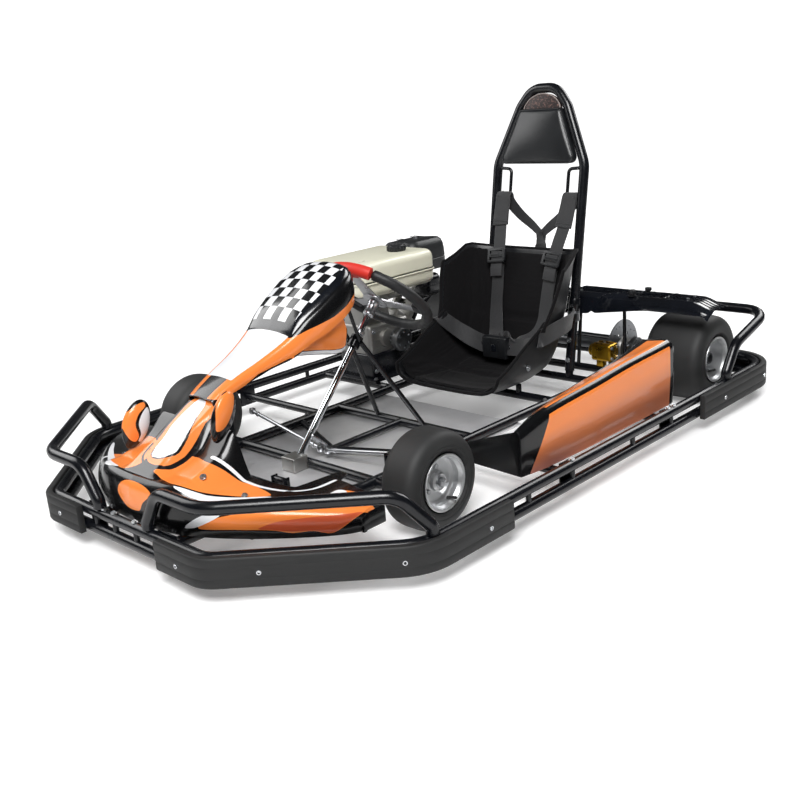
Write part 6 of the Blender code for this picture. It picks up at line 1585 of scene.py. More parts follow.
class KART_OT_harness(bpy.types.Operator):
    """Four-point harness: shoulder belts, sleeves, adjusters, tail, lap belts and buckle"""
    bl_idname = "kart.harness"
    bl_label = "Harness"

    def execute(self, context):
        width = context.scene.kart_sizes.belt_width
        belts, frames = [], []
        bar = hoop_y(0.642)
        for s in (-1, 1):
            over = [(s * 0.1335, bar + 0.0085 * math.cos(math.pi * k / 5), 0.642 + 0.0085 * math.sin(math.pi * k / 5))
                    for k in range(6)]
            front = [(s * 0.130, 0.640, 0.600), (s * 0.1265, 0.626, 0.555), (s * 0.117, 0.604, 0.500),
                     (s * 0.110, 0.585, 0.447)]
            end = -0.018 + s * 0.016
            low = [(-0.106, 0.568, 0.360), (-0.100, 0.548, 0.290), (-0.066, 0.500, 0.236)] if s < 0 else \
                  [(0.101, 0.569, 0.370), (0.097, 0.557, 0.310), (0.098, 0.535, 0.255), (0.088, 0.495, 0.224),
                   (0.045, 0.463, 0.212)]
            front += low + [(end, 0.458, 0.218), (end, 0.4545, 0.208)]
            belts.append(strap(over + front, width * 0.92, 0.0025, end=width))
            # the rear half runs down and in to the joint behind the seat
            rear = [(s * 0.1335, bar + 0.0105, 0.646), (s * 0.122, bar + 0.014, 0.618),
                    (s * 0.082, bar + 0.016, 0.578), (s * 0.036, bar + 0.015, 0.546),
                    (0.0, bar + 0.013 + s * 0.002, 0.518)]
            belts.append(strap(rear, width, 0.0025, [(1, 0, 0), (0.8, 0, -0.6 * s), (0.6, 0, -0.8 * s),
                                                     (0.6, 0, -0.8 * s)], end=width * 0.5))
            frames.append(self.adjuster((s * 0.1115, 0.5845, 0.456), Vector((s * 0.117, 0.604, 0.500))
                                        - Vector((s * 0.110, 0.585, 0.447))))
            belts.append(strap([(s * 0.112, 0.579, 0.472), (s * 0.110, 0.574, 0.440), (s * 0.1085, 0.566, 0.415),
                                (s * 0.106, 0.562, 0.392)], width * 0.96, 0.0022))
        tail = [(0, bar + 0.013, 0.526), (0, bar + 0.011, 0.508), (0, bar + 0.008, 0.492), (0, bar + 0.006, 0.476),
                (0, 0.655, 0.40), (0, 0.636, 0.28), (0, 0.603, 0.12), (0, 0.585, 0.092)]
        turns = [(0.3, 1, 0), (0.1, 1, 0), (0.1, 1, 0), (0.6, 1, 0), (1, 0.3, 0), (1, 0, 0), (1, 0, 0)]
        belts.append(strap(tail, width * 0.9, 0.0025, turns))
        done(joined(belts), "shoulder_belts", "polyester_webbing", "chassis", "shoulder_harness")
        done(joined(frames), "belt_adjusters", "grained_abs", "chassis")
        self.sleeves(bar, width)
        self.lap()
        self.buckle()
        return {"FINISHED"}

    def adjuster(self, at, along):
        """A ladder buckle: a frame with two windows and a ribbed middle bar."""
        body = slab(round_box(0.036, 0.024, 0.006, 4), -0.004, 0.004, 0.0014)
        for y in (-0.0105, 0.0105):
            cut(body, block((0.054, 0.010, 0.03), (0, y, 0), 0.001, 2))
        ribs = [rod((-0.026, y, 0.0038), (0.026, y, 0.0038), 0.0012, 0) for y in (-0.0024, 0, 0.0024)]
        ob = joined([body] + ribs)
        z = along.normalized()
        x = Vector((1, 0, 0))
        x = (x - z * x.dot(z)).normalized()
        y = z.cross(x)
        return settle(ob, axes(x, z, -y, Vector(at) - y * math.copysign(0.009, y.y)))

    def sleeves(self, bar, width):
        """Padded sleeves over the shoulder belts, from the bar down, with a hem stitched at the lower end."""
        obs = []
        for s in (-1, 1):
            path = [(s * 0.1335, bar + 0.0135, 0.628), (s * 0.1335, bar + 0.0110, 0.645), (s * 0.1335, bar, 0.6555),
                    (s * 0.1330, bar - 0.0115, 0.648), (s * 0.1315, bar - 0.0195, 0.622), (s * 0.1290, 0.6335, 0.585),
                    (s * 0.1260, 0.6225, 0.552)]
            obs.append(strap(path, width, 0.0062, edge=0.0022, end=width + 0.014))
            for z, y, x in ((0.5575, 0.6205, 0.1265), (0.566, 0.6230, 0.1272)):
                obs.append(tube([(s * x - 0.030, y, z), (s * x + 0.030, y, z)], 0.0010, sides=8))
        done(joined(obs), "belt_sleeves", "polyester_webbing", "chassis")

    def lap(self):
        """The right belt comes up from the rail over the wing, the left one round it from the hoop's leg."""
        over = seat_point(0.60, 1.0)
        right = [(-RAIL_X, over.y + 0.02, 0.0905), (-0.243, over.y + 0.01, 0.17),
                 (-over.x - 0.012, over.y, over.z - 0.03), (-over.x - 0.003, over.y - 0.006, over.z + 0.004),
                 (-over.x + 0.012, over.y, over.z + 0.002), (-0.165, 0.415, 0.238), (-0.120, 0.434, 0.208),
                 (-0.074, 0.440, 0.192), (-0.062, 0.440, 0.192)]
        wing = seat_point(0.57, 1.0)
        left = [(0.176, 0.585, 0.276), (0.203, 0.553, 0.277), (0.2190, 0.500, 0.275), (0.2190, 0.430, 0.266),
                (wing.x + 0.006, wing.y + 0.008, 0.259), (wing.x - 0.001, wing.y - 0.010, 0.256),
                (wing.x - 0.012, wing.y + 0.002, 0.250), (0.152, 0.410, 0.220), (0.090, 0.435, 0.199),
                (0.038, 0.440, 0.192), (0.026, 0.440, 0.192)]
        for path, side in ((left, "left"), (right, "right")):
            done(strap(path, 0.055, 0.0025, (0, 0.35, 0.94) if side == "left" else
                       [(0, 1, 0), (0, 1, 0), (0, 1, 0), (0, 0.8, 0.5), (0, 0.4, 0.9), (0, 0.35, 0.94)]),
                 "lap_webbing_" + side, "polyester_webbing", "chassis", "lap_belt_" + side)
        clamp = [rod((HOOP_X, hoop_y(0.262), 0.262), (HOOP_X, hoop_y(0.290), 0.290), 0.0195, 0.002),
                 block((0.030, 0.012, 0.026), (0.188, 0.588, 0.276), 0.003, 2)]
        done(joined(clamp), "belt_anchor", "zinc_plated_steel", "chassis")

    def buckle(self):
        """The receiver with ribs at one side and a plate at the other, its tongues and the push button."""
        at = Vector((-0.020, 0.438, 0.186))
        body = block((0.098, 0.026, 0.072), at, 0.0055, 4)
        cut(body, block((0.019, 0.0145, 0.024), at - Vector((0, 0.0085, 0)), 0.0015, 2))
        ribs = [block((0.0028, 0.0034, 0.054), at + Vector((-0.0180 - 0.0058 * k, -0.0130, 0)), 0.0011, 2)
                for k in range(5)] + [block((0.0025, 0.0020, 0.058), at + Vector((0.0145, -0.0130, 0)), 0.0008, 2),
                                      block((0.031, 0.0030, 0.056), at + Vector((0.0315, -0.0130, 0)), 0.0012, 2)]
        done(joined([body] + ribs), "buckle_body", "grained_abs", "chassis", "harness_buckle")
        tongues = [block((0.012, 0.0035, 0.030), at + Vector((s * 0.0535, 0, -0.002)), 0.001, 2) for s in (-1, 1)]
        done(joined(tongues), "buckle_tongues", "chromed_steel", "chassis")
        button = block((0.0180, 0.0115, 0.0230), at - Vector((0, 0.0095, 0)), 0.0016, 3)
        lines = [block((0.012, 0.0012, 0.0014), at + Vector((0, -0.0152, dz)), 0.0004, 2) for dz in (-0.004, 0, 0.004)]
        done(joined([button] + lines), "buckle_press_button", "gloss_abs", "button", "buckle_button")


# Steering and wheels

class KART_OT_steering(bpy.types.Operator):
    """Steering: column, bush, wheel with its spokes and grips, tie rods, knuckles and kingpins"""
    bl_idname = "kart.steering"
    bl_label = "Steering"

    def execute(self, context):
        self.column()
        self.wheel()
        for s in (1, -1):
            self.knuckle(s)
            self.tie_rod(s)
            self.kingpin(s)
        return {"FINISHED"}

    def column(self):
        shaft = rod(column_point(0.0), column_point(COLUMN_LENGTH - 0.02), 0.0095, 0.001, 32)
        done(shaft, "column_shaft", "chromed_steel", "steering", "steering_column")
        flange = spun([(0, -0.045), (0.0135, -0.045), (0.0160, -0.0425), (0.0160, -0.034), (0.0145, -0.032),
                       (0.0145, -0.012), (0.0160, -0.010), (0.0160, -0.0015), (0.0150, -0.0005), (0, -0.0005)], 40)
        place(flange, column_point(COLUMN_LENGTH), COLUMN_AXIS)
        collar = spun([(0.0096, -0.006), (0.0140, -0.006), (0.0140, 0.006), (0.0096, 0.006)], 32, True)
        rounded_edges(collar, 0.0008)
        place(collar, column_point(0.405), COLUMN_AXIS)
        outline = rounded([(-0.015, -0.066, 0), (0.015, -0.066, 0), (0.015, 0.004, 0), (-0.015, 0.004, 0)],
                          0.008, 5, True)
        arm = slab(outline, -0.003, 0.003, 0.0008)
        c, s = math.cos(COLUMN_TILT), math.sin(COLUMN_TILT)
        settle(arm, axes((1, 0, 0), (0, -s, c), (0, c, s), column_point(ARM_AT)))
        done(joined([flange, collar, arm]), "column_hub", "zinc_plated_steel", "steering")
        bush = spun([(0.0100, -0.016), (0.0135, -0.016), (0.0135, 0.016), (0.0100, 0.016)], 40, True)
        rounded_edges(bush, 0.0006)
        done(place(bush, column_point(BUSH_AT), COLUMN_AXIS), "column_sleeve", "grained_abs", "chassis", "column_bush")

    def at(self, angle, inset=0.0):
        """The point of the rim's middle line at an angle from the top, or nearer the hub by the inset."""
        centre = column_point(COLUMN_LENGTH + 0.017)
        r = 0.155 * (1 - 0.06 * max(0.0, math.cos(angle)) ** 2) - inset
        return centre + Vector((1, 0, 0)) * r * math.sin(angle) + COLUMN_AHEAD * r * math.cos(angle)

    def grip(self, first, last, steps, radius, taper, lumps):
        """Foam moulded along an arc: its ends rolled in, its back with finger grooves."""
        rows = []
        for k in range(steps + 1):
            t = k / steps
            a = first + (last - first) * t
            p = self.at(a)
            out = (p - column_point(COLUMN_LENGTH + 0.017)).normalized()
            ends = min(t, 1 - t) * abs(last - first) * 0.155
            r = radius * (1 if ends > taper else math.sqrt(max(0.0, 1 - (1 - ends / taper) ** 2)) * 0.5 + 0.5)
            r *= 1 + lumps * math.cos(a * 36)
            rows.append([p + out * math.cos(b) * r + COLUMN_AXIS * math.sin(b) * r
                         for b in (2 * math.pi * j / 28 for j in range(29))])
        return weld(sheet_of(rows), GAP)

    def wheel(self):
        half = math.radians(33)
        rim = self.grip(half + 0.005, 2 * math.pi - half - 0.005, 150, 0.0145, 0.002, 0.012)
        done(rim, "wheel_rim_foam", "foam_rubber_grip", "steering", "steering_wheel_rim", smooth=60)
        red = self.grip(-half, half, 40, 0.0175, 0.003, 0.0)
        done(red, "wheel_top_foam", "red_foam_grip", "steering", "steering_wheel_grip", smooth=60)
        hub = spun([(0, 0.0005), (0.034, 0.0005), (0.036, 0.0015), (0.036, 0.0050), (0.034, 0.0060), (0, 0.0060)], 56)
        bored(hub, circle(3, 0.022, math.pi / 3), 0.0045, -0.01, 0.02)
        bored(hub, [(0, 0)], 0.006, -0.01, 0.02)
        settle(hub, axes((1, 0, 0), COLUMN_AHEAD, COLUMN_AXIS, column_point(COLUMN_LENGTH)))
        spokes = [hub]
        for angle, wide in ((0.0, 0.034), (math.radians(112), 0.030), (math.radians(-112), 0.030)):
            reach = (self.at(angle, 0.0175) - column_point(COLUMN_LENGTH + 0.003)).length
            edge = []
            for t in np.linspace(0, 1, 13):
                w = wide * (0.5 + 0.30 * (1 - t) ** 3 + 0.12 * t ** 4)
                edge.append((w, 0.018 + (reach - 0.018) * t))
            outline = edge + [(-x, y) for x, y in edge[::-1]]
            plate = slab(outline, -0.0025, 0.0025, 0.0008)
            tip, start = self.at(angle, 0.0175), column_point(COLUMN_LENGTH + 0.003)
            y = (tip - start).normalized()
            z = (COLUMN_AXIS - y * COLUMN_AXIS.dot(y)).normalized()
            spokes.append(settle(plate, axes(y.cross(z), y, z, start)))
        done(joined(spokes), "wheel_spoke_plate", "brushed_aluminium", "steering", "steering_wheel_spokes")
        covers = []
        for angle in (math.radians(112), math.radians(-112), 0.0):
            tip = self.at(angle, 0.024)
            y = (self.at(angle) - column_point(COLUMN_LENGTH + 0.017)).normalized()
            z = (COLUMN_AXIS - y * COLUMN_AXIS.dot(y)).normalized()
            cover = block((0.040, 0.030, 0.012), (0, -0.002, 0), 0.004, 3)
            covers.append(settle(cover, axes(y.cross(z), y, z, tip)))
        red_cover = covers.pop()
        done(joined(covers), "spoke_covers", "foam_rubber_grip", "steering")
        done(red_cover, "spoke_red_cover", "red_foam_grip", "steering")
        spots = [(column_point(COLUMN_LENGTH + 0.006) + Vector((x, 0, 0)) + COLUMN_AHEAD * y, COLUMN_AXIS)
                 for x, y in circle(3, 0.024, 0.5)]
        bolts("wheel_hub_bolts", spots, 0.0045, 0.005, "steering", "socket")

    def knuckle(self, s):
        side = SIDE[s]
        x = s * KINGPIN_X
        boss = rod((x, FRONT_AXLE_Y, 0.0891), (x, FRONT_AXLE_Y, 0.1601), 0.0125, 0.001, 32)
        stub = rod((x + s * 0.004, FRONT_AXLE_Y, FRONT_AXLE_Z), (s * 0.512, FRONT_AXLE_Y, FRONT_AXLE_Z),
                   0.0085, 0.001, 28)
        end = Vector((s * 0.348, -0.322))
        turn = math.atan2(end.y - FRONT_AXLE_Y, end.x - x)
        outline = rounded([(-0.002, -0.012, 0), (0.105, -0.009, 0), (0.115, 0, 0), (0.105, 0.009, 0),
                           (-0.002, 0.012, 0)], 0.005, 4, True)
        arm = slab(outline, -0.003, 0.003, 0.0008)
        settle(arm, Matrix.Translation((x, FRONT_AXLE_Y, 0.1165)) @ Matrix.Rotation(turn, 4, "Z"))
        ob = cut(joined([boss, stub, arm]), rod((x, FRONT_AXLE_Y, 0.05), (x, FRONT_AXLE_Y, 0.2), 0.0065, 0))
        done(ob, "stub_axle_" + side, "ground_steel", side + "_knuckle", "knuckle_" + side)

    def tie_rod(self, s):
        """A rod with hexagons, lock nuts and round rod ends with their bearing rings."""
        side = SIDE[s]
        tip = column_point(ARM_AT, -0.060)
        out, inner = Vector((s * 0.348, -0.322, 0.128)), Vector((s * 0.0145, tip.y, tip.z - 0.0150))
        along = (out - inner).normalized()
        bits = [rod(inner, out, 0.0055, 0)]
        for p in (out, inner):
            eye = spun([(0.0040, -0.0070), (0.0085, -0.0080), (0.0095, -0.0060), (0.0095, 0.0060), (0.0085, 0.0080),
                        (0.0040, 0.0070)], 32, True)
            bits.append(place(eye, p))
        for p, d in ((out - along * 0.030, along), (inner + along * 0.030, along)):
            bits.append(place(rounded_edges(prism(6, 0.0078, 0.007), 0.0008), p, d))
        done(joined(bits), "track_rod_" + side, "zinc_plated_steel", side + "_tie_rod", "tie_rod_" + side)

    def kingpin(self, s):
        side = SIDE[s]
        x, low, high = s * KINGPIN_X, 0.0826, 0.1666
        bits = [rod((x, FRONT_AXLE_Y, low - 0.0005), (x, FRONT_AXLE_Y, high + 0.003), 0.006, 0)]
        for a, b in ((high + 0.0005, high + 0.0085), (low - 0.009, low - 0.0005)):
            bits.append(place(rounded_edges(prism(6, 0.0105, b - a), 0.0010), (x, FRONT_AXLE_Y, (a + b) / 2)))
        done(joined(bits), "kingpin_" + side, "zinc_plated_steel", "chassis", "kingpin_bolt_" + side)


class KART_OT_wheels(bpy.types.Operator):
    """Wheels: slick tyres, pressed and spun rims, hubs, nuts and valves"""
    bl_idname = "kart.wheels"
    bl_label = "Wheels"

    def execute(self, context):
        sizes = context.scene.kart_sizes
        for s, side in SIDE.items():
            front, rear = (s * FRONT_TYRE_X, FRONT_AXLE_Y, FRONT_AXLE_Z), (s * REAR_TYRE_X, REAR_AXLE_Y, REAR_AXLE_Z)
            body = "front_" + side + "_wheel"
            self.tyre("front_" + side, s, front, sizes.front_tyre, 0.110, 0.106, body)
            self.rim("front_" + side, s, front, 0.106, 0.0090, body, 0.090, 0.034)
            self.tyre("rear_" + side, s, rear, sizes.rear_tyre, 0.194, 0.188, "axle")
            self.rim("rear_" + side, s, rear, 0.188, 0.0180, "axle", 0.130, 0.060)
        return {"FINISHED"}

    def tyre(self, name, s, centre, radius, width, rim_width, body):
        half, bead, rim = width / 2, rim_width / 2, RIM_RADIUS
        side = [(rim - 0.0080, bead - 0.017), (rim + 0.0005, bead - 0.0105), (rim + 0.0035, bead - 0.0050),
                (rim + 0.0075, bead - 0.0005), (rim + 0.0085, bead - 0.0018), (rim + 0.0100, bead + 0.0006),
                (rim + 0.0165, half - 0.0008), (rim + 0.0175, half - 0.0016), (rim + 0.0185, half - 0.0006),
                (radius - 0.030, half), (radius - 0.018, half - 0.0035), (radius - 0.008, half - 0.011),
                (radius - 0.0022, half - 0.022), (radius - 0.0004, half - 0.036)]
        line = curved([(r, h, 0) for r, h in side], False, 3)
        profile = [(p.x, p.y) for p in line] + [(p.x, -p.y) for p in line[::-1]]
        ob = place(self.revolved(profile, 128), centre, (s, 0, 0))
        done(ob, "slick_" + name, "slick_tyre_rubber", body, "tyre_" + name, smooth=50)

    def revolved(self, profile, steps):
        """The profile spun into a ring, with its UV map round it and across it."""
        ob = spun(profile, steps, True)
        uv = ob.data.uv_layers.new(name="round").data
        for face in ob.data.polygons:
            middle = face.center
            base = math.atan2(middle.y, middle.x)
            for loop in face.loop_indices:
                co = ob.data.vertices[ob.data.loops[loop].vertex_index].co
                turn = math.atan2(co.y, co.x)
                turn += 2 * math.pi * round((base - turn) / (2 * math.pi))
                r = math.hypot(co.x, co.y)
                uv[loop].uv = (turn / (2 * math.pi) + 0.5, r + co.z)
        return ob

    def rim(self, name, s, centre, width, bore, body, hub_in, dish):
        """Two rolled flanges and barrels round a deep dish, with its hub, studs and valve."""
        half, rim = width / 2, RIM_RADIUS
        seat, inner = rim - 0.0085, rim - 0.0125
        web = half - dish
        outer = [(rim - 0.0006, half - 0.0008), (rim, half - 0.0020), (rim - 0.0002, half - 0.0038),
                 (rim - 0.0040, half - 0.0085), (seat, half - 0.0125), (seat, -half + 0.0125),
                 (rim - 0.0040, -half + 0.0085), (rim - 0.0002, -half + 0.0038), (rim, -half + 0.0020),
                 (rim - 0.0006, -half + 0.0008), (rim - 0.0022, -half), (rim - 0.0050, -half + 0.0010),
                 (rim - 0.0080, -half + 0.0060), (inner, -half + 0.0120), (inner, web - 0.0080),
                 (inner - 0.006, web - 0.0035), (0.046, web - 0.0030), (0.030, web - 0.0030),
                 (0.0240, web - 0.0060), (0.0240, half - hub_in), (bore, half - hub_in), (bore, web + 0.016),
                 (0.0190, web + 0.018), (0.0235, web + 0.015), (0.0245, web + 0.004), (0.032, web + 0.0005),
                 (0.046, web + 0.0002), (0.050, web - 0.0006), (inner - 0.005, web + 0.0010), (inner, web + 0.0055),
                 (inner, half - 0.0125), (rim - 0.0080, half - 0.0065), (rim - 0.0070, half - 0.0030),
                 (rim - 0.0045, half - 0.0022), (rim - 0.0042, half - 0.0006), (rim - 0.0022, half)]
        ob = place(self.revolved(outer, 96), centre, (s, 0, 0))
        done(ob, "wheel_rim_" + name, "spun_aluminium", body, "rim_" + name, smooth=35)
        centre, axis = Vector(centre), Vector((s, 0, 0))
        spots = [(centre + axis * web + Vector((0, *spot)), axis) for spot in circle(3, 0.036, math.pi / 2)]
        bolts("wheel_nuts_" + name, spots, 0.0068, 0.009, body, "hex")
        if "front" in name:
            nut = copies(bolt(0.0125, 0.012), [facing(centre + axis * (web + 0.016), axis, 0.3)])
            done(nut, "hub_nut_" + name, "zinc_plated_steel", body)
        valve = spun([(0, 0), (0.0058, 0), (0.0052, 0.006), (0.0036, 0.010), (0.0034, 0.022), (0.0042, 0.0225),
                      (0.0042, 0.031), (0.0036, 0.0325), (0, 0.0325)], 20)
        a = math.radians(-62)
        inward = -Vector((0, math.cos(a), math.sin(a)))
        foot = centre + axis * (web + 0.012) - inward * (inner + 0.001)
        place(valve, foot, (axis * 0.9 + inward * 0.35).normalized())
        done(valve, "valve_" + name, "moulded_rubber", body)


# Drive, brake and engine

def chain_line(extra):
    """The line round both sprockets in the YZ plane, a distance outside their teeth."""
    rear, front = Vector((REAR_AXLE_Y, REAR_AXLE_Z)), Vector((CRANK_Y, CRANK_Z))
    big, small = 0.085 + extra, 0.028 + extra
    line = front - rear
    lean = math.acos((big - small) / line.length)
    heading = math.atan2(line.y, line.x)
    out = []
    for centre, radius, start, turn, steps in ((rear, big, heading + lean, 2 * (math.pi - lean), 60),
                                               (front, small, heading - lean, 2 * lean, 24)):
        for k in range(steps + 1):
            a = start + turn * k / steps
            out.append(centre + Vector((math.cos(a), math.sin(a))) * radius)
    return out


class KART_OT_drive(bpy.types.Operator):
    """Drive and brake: axle, bearings, sprocket, chain, clutch, disc, caliper and pedals"""
    bl_idname = "kart.drive"
    bl_label = "Drive and brake"

    def execute(self, context):
        hub = Vector((0, REAR_AXLE_Y, REAR_AXLE_Z))
        self.axle(hub)
        self.sprocket(hub)
        self.chain(context.scene.kart_sizes.links)
        self.clutch()
        self.disc(hub)
        self.caliper()
        for name, s in (("brake", 1), ("throttle", -1)):
            self.pedal(name, s)
        return {"FINISHED"}

    def axle(self, hub):
        pipe = spun([(0.0175, 0.549), (0.0175, -0.549), (0.0168, -0.550), (0.0135, -0.550), (0.0135, 0.550),
                      (0.0168, 0.550)], 40, True)
        bits = [place(pipe, hub, (1, 0, 0))]
        for s in (1, -1):
            collar = spun([(0.026, 0.0042), (0.026, -0.0042), (0.0252, -0.005), (0.0173, -0.005), (0.0173, 0.005),
                           (0.0252, 0.005)], 40, True)
            bits.append(place(collar, hub + Vector((s * 0.2705, 0, 0)), (1, 0, 0)))
        done(joined(bits), "axle_tube", "ground_steel", "axle", "rear_axle")
        for s, side in SIDE.items():
            ring = spun([(0.038, 0.0070), (0.038, -0.0070), (0.0370, -0.0080), (0.0315, -0.0080), (0.0308, -0.0066),
                         (0.0262, -0.0066), (0.0255, -0.0090), (0.0180, -0.0090), (0.0180, 0.0090), (0.0255, 0.0090),
                         (0.0262, 0.0066), (0.0308, 0.0066), (0.0315, 0.0080), (0.0370, 0.0080)], 48, True)
            place(ring, hub + Vector((s * 0.285, 0, 0)), (1, 0, 0))
            done(ring, "bearing_" + side, "ground_steel", "chassis", "axle_bearing_" + side)

    def sprocket(self, hub):
        """A toothed disc with lightening holes, on a round carrier."""
        disc = slab(circle(360, 0.0815, 0.0, 0.0032, 60), -0.0022, 0.0022)
        bored(disc, circle(6, 0.056), 0.0115, -0.01, 0.01, 32)
        carrier = spun([(0.034, 0.0105), (0.034, -0.0105), (0.0325, -0.012), (0.0180, -0.012), (0.0180, 0.012),
                        (0.0325, 0.012)], 40, True)
        ob = joined([bored(disc, [(0, 0)], 0.025, -0.02, 0.02, 40), carrier])
        place(ob, hub + Vector((CHAIN_X, 0, 0)), (1, 0, 0))
        done(ob, "driven_sprocket", "ground_steel", "axle", "axle_sprocket", smooth=30)

    def chain(self, links):
        """Roller chain: inner and outer plates and rollers, each link modelled once and copied."""
        line = chain_line(0.0046)
        line.append(line[0])
        pitch = run_along(line)[-1] / links
        pins = [Vector((CHAIN_X, *p)) for p in paced(line, [(k - 0.5) / links % 1 for k in range(links + 1)])]
        outline = round_box(pitch / 2 + 0.0030, 0.0032, 0.0031, 2)
        out = []
        for half in (0, 1):
            gap = 0.0031 if half else 0.0043
            plates = [slab(outline, z, z + 0.0008) for z in (-gap - 0.0004, gap - 0.0004)]
            rollers = [prism(10, 0.0026, 0.0088, (x, 0, 0)) for x in (-pitch / 2, pitch / 2)] if half else []
            spots = []
            for k in range(half, links, 2):
                a, b = pins[k:k + 2]
                x = (b - a).normalized()
                z = Vector((1, 0, 0))
                spots.append(axes(x, z.cross(x), z, (a + b) / 2))
            out.append(copies(joined(plates + rollers), spots))
        done(joined(out), "roller_chain", "ground_steel", "chassis", "drive_chain", smooth=30)

    def clutch(self):
        drum = spun([(0, 0.030), (0.036, 0.030), (0.040, 0.027), (0.040, 0.010), (0.0375, 0.0065), (0.020, 0.0060),
                     (0, 0.0060)], 56)
        bored(drum, circle(6, 0.026), 0.0055, 0.025, 0.035)
        cog = slab(circle(136, 0.0252, 0.0, 0.0026, 17), -0.0024, 0.0024)
        shank = spun([(0, -0.0080), (0.017, -0.0080), (0.018, -0.0070), (0.018, 0.0070), (0, 0.0070)], 32)
        ob = joined([drum, cog, shank])
        place(ob, (CHAIN_X, CRANK_Y, CRANK_Z), (1, 0, 0))
        done(ob, "clutch_assembly", "ground_steel", "clutch", "clutch_drum", smooth=30)

    def disc(self, hub):
        """The brake disc: drilled in three rings, with larger holes near its carrier."""
        disc = spun([(0.0916, 0.0022), (0.0920, 0.0018), (0.0920, -0.0018), (0.0916, -0.0022), (0.0340, -0.0022),
                     (0.0340, 0.0022)], 96, True)
        holes = [(spot, 0.0028, 16) for k, r in enumerate((0.068, 0.074, 0.080))
                 for spot in circle(8, r, math.pi / 12 * k)]
        holes += [(spot, 0.0065, 28) for spot in circle(6, 0.048, math.pi / 6)]
        cut(disc, joined([rod((*spot, -0.01), (*spot, 0.01), r, 0, sides) for spot, r, sides in holes]))
        place(disc, hub + Vector((DISC_X, 0, 0)), (1, 0, 0))
        done(disc, "disc_plate", "ground_steel", "axle", "brake_disc", smooth=30)
        carrier = spun([(0.0180, -0.018), (0.0330, -0.018), (0.0340, -0.017), (0.0355, -0.0024), (0.0355, 0.0024),
                        (0.0340, 0.011), (0.0330, 0.012), (0.0180, 0.012)], 48, True)
        place(carrier, hub + Vector((DISC_X, 0, 0)), (1, 0, 0))
        done(carrier, "disc_carrier", "sand_cast_aluminium", "axle")
        bolts("disc_bolts", [(hub + Vector((DISC_X + 0.0022, *spot)), (1, 0, 0)) for spot in circle(6, 0.0395)],
              0.0035, 0.004, "axle")

    def caliper(self):
        y0 = REAR_AXLE_Y - 0.088
        body = block((0.074, 0.056, 0.056), (0.229, y0 - 0.010, 0.142), 0.0085, 4)
        piston = spun([(0, -0.001), (0.0180, -0.001), (0.0200, 0.001), (0.0200, 0.016), (0.0185, 0.018),
                       (0.0185, 0.028), (0, 0.028)], 40)
        place(piston, (0.177, y0 - 0.008, 0.142), (1, 0, 0))
        foot = block((0.026, 0.022, 0.032), (0.211, REAR_AXLE_Y - 0.091, 0.1045), 0.002, 2)
        ridge = [block((0.060, 0.007, 0.004), (0.229, y, 0.1705), 0.0015, 3) for y in (y0 - 0.024, y0 + 0.004)]
        cut(body, block((0.0115, 0.07, 0.09), (0.235, y0 + 0.026, 0.142), 0.0008, 2))
        ob = joined([body, piston, foot] + ridge)
        done(ob, "caliper_body", "gold_anodised_aluminium", "chassis", "brake_caliper", smooth=30)
        pads = [block((0.0026, 0.030, 0.034), (0.235 + dx, y0 + 0.006, 0.142), 0.0005, 1) for dx in (-0.0040, 0.0040)]
        done(joined(pads), "brake_pads", "moulded_rubber", "chassis")
        spots = [(Vector((0.266, y0 + dy, 0.142 + dz)), Vector((1, 0, 0))) for dy in (-0.028, 0.006)
                 for dz in (-0.017, 0.017)]
        spots.append((Vector((0.229, y0 - 0.012, 0.170)), Vector((0, 0, 1))))
        bolts("caliper_bolts", spots, 0.0045, 0.005, "chassis", "socket")

    def pedal(self, name, s):
        x, y, z = s * 0.110, PEDAL_Y, 0.102
        pivot = rod((x - 0.020, y, z), (x + 0.020, y, z), 0.009, 0.0008, 28)
        line = [(x, y, z + 0.004), (x, y - 0.012, z + 0.055), (x, y - 0.004, z + 0.105)]
        bar = tube(rounded(line, 0.03, 8), 0.006, sides=16)
        rest = rod((x - 0.034, y - 0.004, z + 0.105), (x + 0.034, y - 0.004, z + 0.105), 0.008, 0.0015, 28)
        ob = cut(joined([pivot, bar, rest]), rod((x - 0.05, y, z), (x + 0.05, y, z), 0.0045, 0))
        done(ob, name + "_lever", "powder_coated_steel", name, name + "_pedal")


